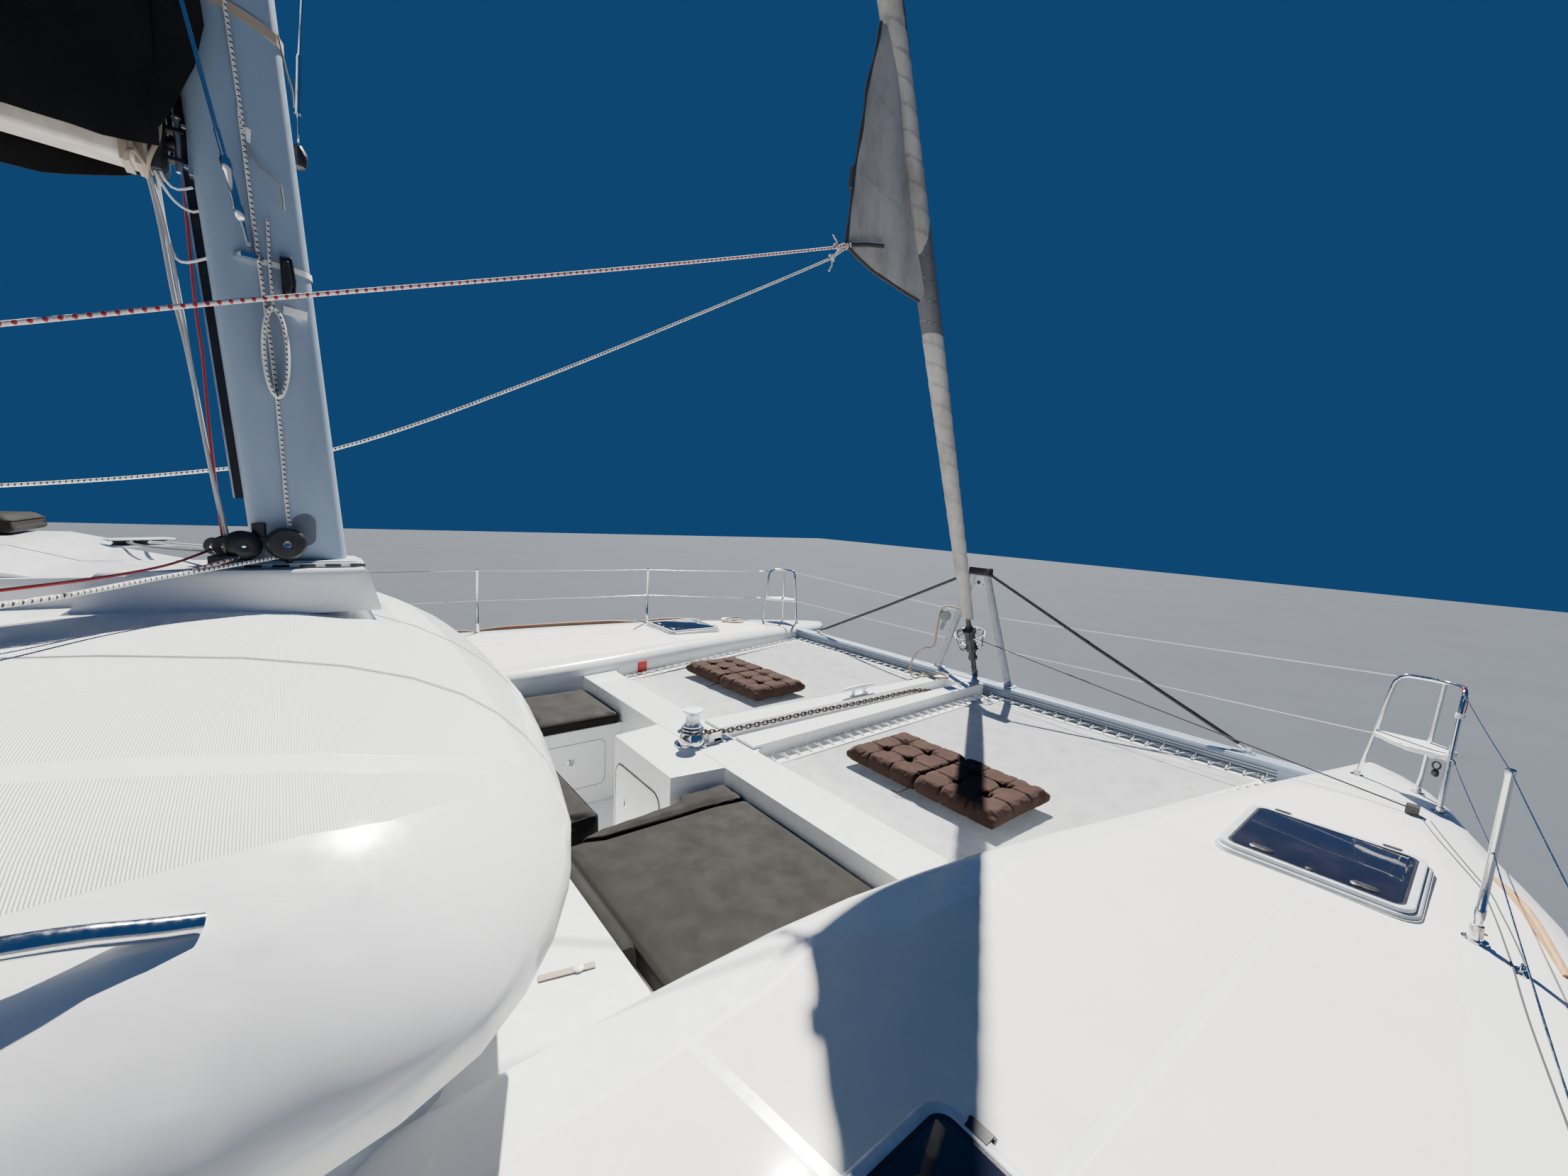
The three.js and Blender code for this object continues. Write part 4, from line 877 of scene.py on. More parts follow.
def dress_roof():
    """Coachroof with its ribbed treads and smooth bands marked by distance."""
    made = dressed("cabin_roof", ROOF, bevel=0.010, sharp=32, flatten=0.0, slot="gelcoat", segments=3)
    mesh = made.data
    finer(mesh, 3)
    x, y, z = coordinates(mesh)
    across = np.abs(x)
    band_y = [-5, 0.83, 0.97, 1.13, 1.315, 1.48, 1.67]
    band = across - np.interp(y, band_y, [1.62, 1.671, 1.699, 1.721, 1.7335, 1.718, 1.6385])
    lip = np.interp(y, [-5, 0.6, 1.1, 1.35, 1.53, 1.70], [2.10, 2.06, 1.985, 1.93, 1.82, 1.60]) - across
    plinth = np.maximum(across - 0.33, np.maximum(y - 1.58, 0.55 - y))
    raised = np.maximum.reduce([x - 0.20, -1.95 - x, y - 1.05, -0.5 - y])
    level = z - 2.55
    tread = np.minimum.reduce([lip, plinth, raised, 1.74 - y, level, y + 4.8])
    mark(mesh, "tread", tread)
    mark(mesh, "band", band)


def dress_structure():
    """Other shell parts that keep their CAD shape, with rounded edges."""
    for node, width in (
        ("bridgedeck", 0.006),
        ("foredeck_rim", 0.012),
        ("seat_base_port", 0.006),
        ("seat_base_starboard", 0.006),
        ("centre_beam", 0.010),
        ("deckhouse", 0.008),
        ("aft_bulkhead", 0.006),
        ("flybridge_coaming", 0.016),
        ("flybridge_seat", 0.014),
        ("cockpit_seat", 0.014),
        ("cockpit_table", 0.006),
    ):
        dressed(node, GELCOAT, bevel=width, slot="gelcoat", segments=3)
    for side, _ in SIDES:
        dressed(f"keel_{side}", BOTTOM, sharp=50, slot="gelcoat")
        dressed(f"rudder_{side}", BOTTOM, sharp=50)
        dressed(f"saildrive_{side}", BOTTOM, sharp=45, slot="alloy")
        bronze = moulded("bronze_" + side, (0.42, 0.26, 0.10), 0.35)
        dressed(f"propeller_{side}", bronze, sharp=40, slot="bronze")


def net_outline():
    """Corners of the starboard net, from its CAD solid, in turn round its middle."""
    points = [v.co for v in NODES["net_starboard"].data.vertices if v.co.z > NET_TOP - 0.001]
    seen = {(round(p.x, 3), round(p.y, 3)) for p in points}
    cx = sum(p[0] for p in seen) / len(seen)
    cy = sum(p[1] for p in seen) / len(seen)
    return sorted(seen, key=lambda p: math.atan2(p[1] - cy, p[0] - cx))


def span_across(outline, axis, at):
    """Where a line parallel to an axis enters and leaves an outline."""
    hits = []
    for i in range(len(outline)):
        a, b = outline[i - 1], outline[i]
        if (a[axis] - at) * (b[axis] - at) < 0:
            t = (at - a[axis]) / (b[axis] - a[axis])
            hits.append(a[1 - axis] + t * (b[1 - axis] - a[1 - axis]))
    return (min(hits), max(hits)) if len(hits) >= 2 else None


def net_sag(x, y, outline_box):
    (x0, y0), (x1, y1) = outline_box
    u = min(max((abs(x) - x0) / (x1 - x0), 0), 1)
    v = min(max((y - y0) / (y1 - y0), 0), 1)
    return 0.022 * (16 * u * (1 - u) * v * (1 - v)) ** 0.7


def drawn_in(outline):
    """Outline whose sides beside the centre beam and the crossbeam stand off a little further."""
    n = len(outline)
    sides = []
    for i in range(n):
        a, b = Vector(outline[i]), Vector(outline[(i + 1) % n])
        way = (b - a).normalized()
        beside = max(a.x, b.x) < 0.75 and abs(way.y) > 0.5 or min(a.y, b.y) > 6.0 and abs(way.x) > 0.8
        sides.append((a + Vector((-way.y, way.x)) * (0.036 if beside else 0.0), way))
    out = []
    for i in range(n):
        (p, u), (q, v) = sides[i - 1], sides[i]
        turn = u.x * v.y - u.y * v.x
        if abs(turn) < 0.02:
            out.append(tuple(q))
        else:
            t = ((q.x - p.x) * v.y - (q.y - p.y) * v.x) / turn
            out.append(tuple(p + u * t))
    return out


def nets():
    """Trampolines of flat strings that cross at right angles, each with its sewn border."""
    outline = drawn_in(net_outline())
    low = (min(p[0] for p in outline), min(p[1] for p in outline))
    high = (max(p[0] for p in outline), max(p[1] for p in outline))
    pitch, half, thick = 0.0125, 0.0028, 0.0011
    corners = ((-half, -thick), (half, -thick), (half, thick), (-half, thick))
    strings = Shape()
    for axis in (0, 1):
        for i in range(1, int((high[axis] - low[axis]) / pitch)):
            at = low[axis] + i * pitch
            ends = span_across(outline, axis, at)
            if not ends or ends[1] - ends[0] < 0.03:
                continue
            a, b = ends[0] + 0.01, ends[1] - 0.01
            steps = max(2, round((b - a) / 0.3))
            rings = []
            for k in range(steps + 1):
                t = a + (b - a) * k / steps
                x, y = (t, at) if axis else (at, t)
                z = NET_TOP - 0.004 - net_sag(x, y, (low, high)) + (thick if axis else -thick)
                rings.append([(x, y + w, z + q) if axis else (x + w, y, z + q) for w, q in corners])
            strings.loft(rings)
    for side, shape in (("starboard", strings), ("port", strings.mirrored())):
        net = shape.piece(f"netting_{side}", NETTING, slot="net", replaces=f"net_{side}", sharp=80)
        border = net_border(outline, side)
    return outline


def offset_outline(outline, by):
    """Outline drawn in by a distance."""
    n = len(outline)
    out = []
    for i in range(n):
        a, b, c = Vector(outline[i - 1]), Vector(outline[i]), Vector(outline[(i + 1) % n])
        one, two = (b - a).normalized(), (c - b).normalized()
        n1, n2 = Vector((-one.y, one.x)), Vector((-two.y, two.x))
        corner = (n1 + n2).normalized()
        out.append(tuple(b + corner * by / max(0.3, corner.dot(n1))))
    return out


def net_border(outline, side):
    """Doubled webbing round a net, with a stitched rib on its inner edge."""
    flip = 1 if side == "starboard" else -1
    rings = []
    rows = [(0.002, 0.0), (0.002, 0.004), (0.022, 0.006), (0.046, 0.005), (0.053, 0.009), (0.059, 0.005),
        (0.061, -0.001)]
    for by, z in rows:
        rings.append([(x * flip, y, NET_TOP - 0.006 + z) for x, y in offset_outline(outline, by)])
    band = Shape().loft(rings, caps=False)
    return band.piece(f"net_border_{side}", CORD, slot="net", sharp=50)


def lacing(outline):
    """Rails, clips, eyes and cord that stretch the nets."""
    n = len(outline)
    centre = Vector((sum(p[0] for p in outline) / n, sum(p[1] for p in outline) / n))
    cord, rail, clip_lines, eyes = Shape(), Shape(), [], []
    z = NET_TOP + 0.001
    for i in range(n):
        a, b = Vector(outline[i]), Vector(outline[(i + 1) % n])
        length = (b - a).length
        if length < 0.25:
            continue
        way = (b - a) / length
        out = Vector((way.y, -way.x))
        if out.dot((a + b) / 2 - centre) < 0:
            out = -out
        beside = max(a.x, b.x) < 0.80 and abs(way.y) > 0.5 or min(a.y, b.y) > 5.9 and abs(way.x) > 0.8
        reach = 0.084 if beside else 0.045
        count = max(2, round(length / 0.105))
        line = [a + way * (length * (k + 0.5) / count) for k in range(count)]
        eyes += [p - out * 0.026 for p in line]
        rail.tube([(*(a + way * t + out * reach), z - 0.004) for t in (0.03, length - 0.03)], 0.0055, 8)
        path = []
        for p in line:
            inner = p - out * 0.022
            for share, across in ((-0.34, 1.0), (-0.04, 0.0), (0.04, 0.0), (0.20, 1.0)):
                spot = inner.lerp(p + out * reach, across) + way * (length / count * share)
                path.append((*spot, z + (0.007 if across else 0.010)))
        cord.rope(path, 0.016, 0.0036, 7)
        clip_lines.append([(*(a + way * t + out * (reach + 0.004)), z) for t in (0.10, length - 0.06)])
    cord.pair("net_lacing", CORD, slot="net", sharp=80)
    rail.pair("net_rail", WHITE, slot="net", sharp=60)
    clip = [(0, -0.010, -0.012), (0, -0.010, 0.004), (0, 0, 0.009), (0, 0.010, 0.004), (0, 0.010, -0.012)]
    profile = [(0.005, 0.0), (0.009, 0.001), (0.010, 0.003), (0.006, 0.004), (0.005, 0.0)]
    for side, s in SIDES:
        rows = [[(s * x, y, z) for x, y, z in row] for row in clip_lines]
        fittings(f"net_clips_{side}", rows, Shape().tube(clip, 0.0035, 6), 0.21, WHITE, slot="net")
        rings = Shape()
        for p in eyes:
            rings.lathe((s * p.x, p.y, NET_TOP + 0.0005), profile, sides=10)
        rings.piece(f"net_eyes_{side}", EYELET, slot="steel")


def inflate(made, pressure, pins, limit, shrink=0.0, bend=0.5):
    """Pressure and fabric simulation, with how far each point may move capped."""
    scene = bpy.context.scene
    rest = coordinates(made.data).T.copy()
    group = made.vertex_groups.new(name="sewn")
    for k, weight in pins.items():
        group.add([k], weight, "REPLACE")
    mod = made.modifiers.new("fabric", "CLOTH")
    cloth = mod.settings
    cloth.quality = 6
    cloth.mass = 0.25
    cloth.tension_stiffness = cloth.compression_stiffness = 12
    cloth.shear_stiffness = 4
    cloth.bending_stiffness = bend
    cloth.use_pressure = True
    cloth.uniform_pressure_force = pressure
    cloth.shrink_min = shrink
    cloth.effector_weights.gravity = 0
    mod.collision_settings.use_self_collision = False
    mod.collision_settings.use_collision = False
    cloth.vertex_group_mass = "sewn"
    mod.point_cache.frame_start, mod.point_cache.frame_end = 1, SETTLING
    for f in range(1, SETTLING + 1):
        scene.frame_set(f)
    graph = bpy.context.evaluated_depsgraph_get()
    ready = made.evaluated_get(graph).to_mesh()
    moved = coordinates(ready).T.copy()
    made.evaluated_get(graph).to_mesh_clear()
    made.modifiers.remove(mod)
    scene.frame_set(1)
    step = moved - rest
    far = np.linalg.norm(step, axis=1, keepdims=True)
    step *= np.minimum(1, limit / np.maximum(far, 1e-9))
    made.data.vertices.foreach_set("co", (rest + step).ravel())
    made.data.update()


def tufted_cushion(name, node, cx, cy, turn):
    """Seat cushion of two squares, each drawn down into puffs by four buttons, with a thick round rim."""
    long, wide, thick = 1.10, 0.58, 0.112
    nu, nv, half = 184, 98, long / 4
    square = lambda x: x - math.copysign(half, x)
    buttons = [(sx * half + dx * 0.090, dy * 0.095) for sx in (-1, 1) for dx in (-1, 1) for dy in (-1, 1)]
    place = Matrix.Translation((cx, cy, NET_TOP + 0.004)) @ Matrix.Rotation(turn, 4, "Z")
    middle = thick * 0.46
    points, index, held = [], {}, {}
    for layer in (1, -1):
        for i in range(nu + 1):
            for j in range(nv + 1):
                if layer == -1 and (i in (0, nu) or j in (0, nv)):
                    index[layer, i, j] = index[1, i, j]
                    continue
                u, v = i / nu * 2 - 1, j / nv * 2 - 1
                x, y = u * long / 2, v * wide / 2
                edge = min(long / 2 - abs(x), wide / 2 - abs(y))
                crown = math.sqrt(max(0.0, 1 - max(0.0, 1 - edge / 0.062) ** 2))
                crown *= 0.93 + 0.07 * min(1, edge / 0.15)
                over_x, over_y = (max(0.0, d + 0.08) for d in (abs(x) - long / 2, abs(y) - wide / 2))
                corner = math.hypot(over_x, over_y) / 0.113
                crown *= 1 - 0.35 * max(0.0, corner) ** 3
                sx = square(x)
                near = min(math.hypot(x - bx, y - by) for bx, by in buttons)
                dip = math.exp(-((near / 0.030) ** 2)) * 0.85 + math.exp(-((near / 0.075) ** 2)) * 0.12
                crease = 0.0
                for line, other, reach in ((abs(sx) - 0.090, abs(y), 0.29),
                    (abs(y) - 0.095, abs(sx), 0.275)):
                    fade = 1 - 0.45 * min(1.0, other / reach)
                    crease = max(crease, fade * 0.30 * math.exp(-((line / 0.011) ** 2)))
                seam = 0.80 * math.exp(-((x / 0.012) ** 2)) + 0.10 * math.exp(-((x / 0.05) ** 2))
                full = crown * (1 - min(0.95, dip)) * (1 - crease * (1 - dip)) * (1 - min(0.9, seam))
                pull = 0.010 * (1 - (abs(sx) / half) ** 2) * abs(v) ** 8
                pull += 0.012 * math.exp(-((x / 0.03) ** 2)) * abs(v) ** 4
                y -= math.copysign(pull, v)
                x -= math.copysign(0.012 * (1 - v * v) * abs(u) ** 10, u)
                share = 0.54 if layer > 0 else 0.44
                spot = place @ Vector((x, y, middle + layer * full * thick * share))
                index[layer, i, j] = len(points)
                if near < 0.012 or abs(x) < 0.005:
                    held[len(points)] = 1.0
                elif layer < 0:
                    held[len(points)] = 0.7
                points.append(spot)
    faces = []
    for layer in (1, -1):
        for i in range(nu):
            for j in range(nv):
                q = [index[layer, i, j], index[layer, i + 1, j], index[layer, i + 1, j + 1],
                    index[layer, i, j + 1]]
                faces.append(q if layer > 0 else q[::-1])
    made = Shape().add(points, faces).piece(name, COTTON, slot="cotton", replaces=node, sharp=180)
    inflate(made, 1.6, held, 0.012, shrink=-0.08, bend=0.12)
    co = coordinates(made.data).T
    co[:, 2] = np.clip(co[:, 2], NET_TOP + 0.001, NET_TOP + 0.117)
    made.data.vertices.foreach_set("co", co.ravel())
    studs = Shape()
    for bx, by in buttons:
        profile = [(0.0, -0.004), (0.011, -0.002), (0.013, 0.002), (0.009, 0.005), (0.0, 0.006)]
        studs.lathe(place @ Vector((bx, by, middle + 0.006)), profile, sides=14)
    tie = ((-0.02, 0.01, 0.03), (-0.03, -0.02, 0.02), (-0.05, -0.05, 0.006), (-0.09, -0.06, 0.004))
    studs.rope([place @ Vector((x, y - wide / 2, z)) for x, y, z in tie], 0.01, 0.0035, 6)
    studs.piece(name + "_buttons", COTTON, slot="cotton")


def stuffed(name, node, outline, low, high, crown=0.018, sides=0.012, piping=True, limit=0.014):
    """Foam pad with a vinyl cover: rounded edges, a crowned top and a sewn seam round its upper edge."""
    work = bmesh.new()
    base = [work.verts.new((x, y, low)) for x, y in outline]
    work.faces.new(base)
    made = bmesh.ops.extrude_face_region(work, geom=list(work.faces))
    top = [v for v in made["geom"] if isinstance(v, bmesh.types.BMVert)]
    bmesh.ops.translate(work, verts=top, vec=(0, 0, high - low))
    bmesh.ops.recalc_face_normals(work, faces=work.faces)
    mesh = bpy.data.meshes.new(name)
    work.to_mesh(mesh)
    work.free()
    pad = linked(name, mesh)
    steps = {"BEVEL": {"width": 0.018, "segments": 3, "limit_method": "ANGLE"}}
    steps["REMESH"] = {"mode": "VOXEL", "voxel_size": 0.013}
    for kind, values in steps.items():
        mod = pad.modifiers.new(kind.lower(), kind)
        for key, value in values.items():
            setattr(mod, key, value)
    plain = settled_mesh(pad)
    pad.modifiers.clear()
    pad.data = plain
    co = coordinates(plain).T
    pins = {int(k): 0.9 for k in np.nonzero(co[:, 2] < low + 0.012)[0]}
    inflate(pad, 2.4, pins, limit, bend=2.0)
    co = coordinates(plain).T
    n = len(outline)
    inward = np.full(len(co), 1e9)
    for i in range(n):
        a, b = np.array(outline[i - 1]), np.array(outline[i])
        way = (b - a) / np.linalg.norm(b - a)
        t = np.clip((co[:, :2] - a) @ way, 0, np.linalg.norm(b - a))
        inward = np.minimum(inward, np.linalg.norm(co[:, :2] - a - t[:, None] * way, axis=1))
    height = (co[:, 2] - low) / (high - low)
    co[:, 2] -= np.where(height > 0.6, (0.010 * np.exp(-((inward - 0.020) / 0.007) ** 2)) * 0.35, 0)
    co[:, 2] = np.maximum(co[:, 2], low)
    plain.vertices.foreach_set("co", co.ravel())
    finished(pad, VINYL, slot="vinyl", replaces=(node,) if node else (), sharp=180)
    sub = pad.modifiers.new("smooth cover", "SUBSURF")
    sub.levels = sub.render_levels = 1
    if piping:
        line = [(x, y, high - 0.012) for x, y in offset_outline(outline, 0.014)]
        path = straight_line(line, 0.05)
        Shape().tube(path, 0.0035, 6, closed=True).piece(name + "_piping", VINYL, slot="vinyl", sharp=80)
    return pad


def corner_cut(x0, x1, y0, y1, r=0.03):
    return rounded((x0 + x1) / 2, (y0 + y1) / 2, x1 - x0, y1 - y0, r, steps=3)


def cockpit_pads():
    """Charcoal pads of the forward cockpit and of the flybridge's sunbathing place."""
    for name, node in (
        ("port_seat_cushion", "seat_pad_port"),
        ("centre_seat_cushion", "seat_pad_centre"),
        ("flybridge_cushion", "flybridge_pad"),
    ):
        low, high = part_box(node)
        outline = corner_cut(low.x + 0.006, high.x - 0.006, low.y + 0.006, high.y - 0.006)
        stuffed(name, node, outline, low.z + 0.001, high.z - 0.012)
    low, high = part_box("sun_pad_starboard")
    outline = [(0.606, 2.152), (1.72, 2.152), (1.749, 2.18), (1.756, 2.50), (1.826, 3.15), (1.80, 3.179)]
    outline += [(0.705, 3.179), (0.684, 3.160), (0.655, 2.975), (0.641, 2.36), (0.606, 2.27)]
    stuffed("sun_pad", "sun_pad_starboard", outline, low.z + 0.001, high.z - 0.008, limit=0.006)
    outline = [(0.592, 2.245), (0.628, 2.36), (0.646, 2.975), (0.674, 3.155), (0.660, 3.178), (0.480, 3.179)]
    outline += [(0.461, 3.160), (0.461, 2.885), (0.470, 2.868), (0.512, 2.845), (0.549, 2.39)]
    stuffed("sun_pad_side_strip", None, outline, low.z + 0.001, high.z - 0.006, piping=False)
    low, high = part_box("backrest_starboard")
    cy, cz = (low.y + high.y) / 2, (low.z + high.z) / 2 - 0.004
    hy, hz = (high.y - low.y) / 2 * 0.98, (high.z - low.z) / 2 * 0.97
    squared = lambda value: math.copysign(abs(value) ** 0.72, value)
    rings = []
    for k in range(25):
        t = k / 24
        x = low.x + (high.x - low.x) * t
        fat = 1 - 0.16 * max(0, 1 - min(t, 1 - t) / 0.03) ** 2
        ring = [(x, cy + hy * fat * squared(math.cos(a)), cz + hz * fat * squared(math.sin(a)))
            for a in angles(20)]
        rings.append(ring)
    roll = Shape().loft(rings).piece("starboard_back_roll", VINYL, slot="vinyl",
        replaces="backrest_starboard", sharp=60)


def mast_outline(scale=1.0):
    """Half of the mast's section turned into a full smooth one, round its middle."""
    half = [(0, 0.5), (0.17, 0.475), (0.31, 0.40), (0.41, 0.27), (0.465, 0.12), (0.48, -0.05)]
    half += [(0.47, -0.22), (0.42, -0.37), (0.33, -0.46), (0.20, -0.495), (0.06, -0.5)]
    whole = half + [(-u, v) for u, v in half[:0:-1]]
    return [(p.x * scale, p.y * scale) for p in smooth_line([(u * 0.19, v * 0.31, 0) for u, v in whole],
        0.012, closed=True)]


def upright(points, z):
    return [(x, mast_y(z) + y, z) for x, y in points]


def mast():
    """Mast tube with its sail track, spreaders, slotted base and the fittings on its starboard side."""
    rings = [upright(mast_outline(), z) for z in (3.057, 8.0, 13.0, 17.8)]
    tube = Shape().loft(rings + [upright(mast_outline(0.62), MASTHEAD)])
    tube.piece("mast_tube", ALLOY_IN_PAINTED_SHADE, slot="alloy", replaces="mast")
    bar = lambda x, near, far: [(-x, near), (x, near), (x, far), (-x, far)]
    # The track's web is black as painted shade in the gap beside the light alloy track.
    web = [upright(bar(0.006, -0.150, -0.181), z) for z in (3.30, 17.8)]
    Shape().loft(web).piece("mast_track_web", BLACK, slot="black")
    track = [upright(bar(0.014, -0.181, -0.187), z) for z in (3.30, 17.8)]
    Shape().loft(track).piece("mast_track", ANODISED, slot="alloy")
    arms, z = Shape(), SPREADERS
    for s in (-1, 1):
        a, b = Vector((s * 0.06, mast_y(z) - 0.04, z)), Vector((s * 1.35, mast_y(z) - 0.84, z + 0.09))
        rings = []
        for t, r in ((0, 1.0), (0.5, 0.85), (1, 0.62)):
            c = a.lerp(b, t)
            wide, tall = 0.032 * r * 1.3, 0.018 * r
            rings.append([(c.x, c.y + wide * math.cos(q), c.z + tall * math.sin(q)) for q in angles(16)])
        arms.loft(rings)
        arms.lathe(b, [(0.006, -0.03), (0.024, -0.02), (0.026, 0.0), (0.024, 0.02), (0.006, 0.03)],
            (s, 0, 0), 14)
    arms.lathe((0, mast_y(MASTHEAD) - 0.10, MASTHEAD - 0.05), [(0.03, -0.02), (0.045, 0.0), (0.03, 0.02)],
        (1, 0, 0), 16)
    arms.piece("spreaders", ALLOY_IN_PAINTED_SHADE, slot="alloy")
    foot = Shape().slab(rounded(0, 1.253, 0.30, 0.44, 0.06), 3.0306, 3.050)
    foot.slab(rounded(0, 1.253, 0.27, 0.41, 0.05), 3.050, 3.0565)
    foot.piece("mast_step", FRAME_GREY, slot="alloy", bevel=0.003)
    # Black blocks in the step's sides stand in for its slots: painted shade in the openings.
    slots = Shape()
    for k in range(5):
        y = 1.085 + 0.084 * k
        for x0, x1 in ((0.147, 0.1512), (-0.1512, -0.147)):
            slots.block((x0, y, 3.034), (x1, y + 0.052, 3.045))
    slots.piece("mast_step_slots", BLACK, slot="black")
    # Oval access plate, blank plates and a lever on the starboard face
    plate = Shape().slab(rounded(1.275, 3.181, 0.076, 0.131, 0.0375, steps=8), 0.0865, 0.0925, FACING_X)
    plate.piece("mast_access_plate", moulded("plate_grey", (0.075, 0.095, 0.13), 0.5), slot="alloy",
        bevel=0.0012)
    small = Shape()
    for outline in (
        [(1.239, 4.026), (1.313, 4.018), (1.315, 4.050), (1.241, 4.058)],
        [(1.122, 4.628), (1.168, 4.616), (1.171, 4.664), (1.125, 4.676)],
    ):
        small.slab(outline, 0.0895, 0.0905, FACING_X)
    small.piece("mast_blank_plates", WHITE, slot="alloy")
    handle = [(1.236, 4.235), (1.273, 4.238), (1.284, 4.150), (1.280, 4.104), (1.262, 4.086), (1.240, 4.095)]
    lever = Shape().slab(handle, 0.086, 0.118, FACING_X)
    handle = [(1.243, 4.205), (1.262, 4.215), (1.270, 4.13), (1.262, 4.09), (1.250, 4.10)]
    lever.slab(handle, 0.110, 0.150, FACING_X)
    lever.piece("halyard_lever", BLACK, slot="black", bevel=0.004)
    hug = [(x, y) for x, y in mast_outline(1.035) if x > -0.02 and y > -0.01]
    band = sorted(hug, key=lambda p: math.atan2(p[1], p[0]))
    ribbon = Shape().loft([upright(band, z) for z in (4.192, 4.214)], closed=False)
    ribbon.piece("lever_strap", CORD)


def strap_round(name, z, tilt, wide, material):
    """Webbing band round the mast, leaning forward or aft."""
    outline, rings = mast_outline(1.045), []
    for lift, out in ((0, 0), (wide, 0), (wide, 0.003), (0, 0.003)):
        wider, longer = 1 + out * 8, 1 + out * 5
        rings.append([(x * wider, mast_y(z) + y * longer, z + lift + tilt * y) for x, y in outline])
    rings.append(rings[0])
    return Shape().loft(rings, caps=False).piece(name, material)


def cheek_block(shape, centre, radius, thick, axis, tail=None):
    """Pulley: two rounded cheeks over a sheave, with a hub."""
    half = [(0.78, 0.2), (1, 0.3), (1, 0.72), (0.86, 1), (0.3, 1)]
    shares = [(r, -h) for r, h in half[::-1]] + half
    shape.lathe(centre, [(radius * r, thick * h) for r, h in shares], axis, 28)
    if tail:
        shape.rod(centre, tail, thick * 0.5, 10)


def screw_fitting(shape, a, b, radius):
    """Turnbuckle between two points: threaded ends, open body, and a fork."""
    a, b = Vector(a), Vector(b)
    way = (b - a).normalized()
    long = (b - a).length
    shape.rod(a, b, radius * 0.55, 12)
    shares = ((0.6, 0.22), (1, 0.25), (1, 0.34), (0.8, 0.36), (0.8, 0.64), (1, 0.66), (1, 0.75), (0.6, 0.78))
    shape.lathe(a, [(radius * r, long * h) for r, h in shares], way, 14)
    side = way.cross(Vector((0, 1, 0))).normalized()
    for s in (-1, 1):
        shape.rod(a + side * s * radius, a + side * s * radius + way * long * 0.16, radius * 0.4, 8)
    shape.lathe(a - side * radius * 1.6, [(radius * 0.5, 0), (radius * 0.5, radius * 3.2)], side, 10)


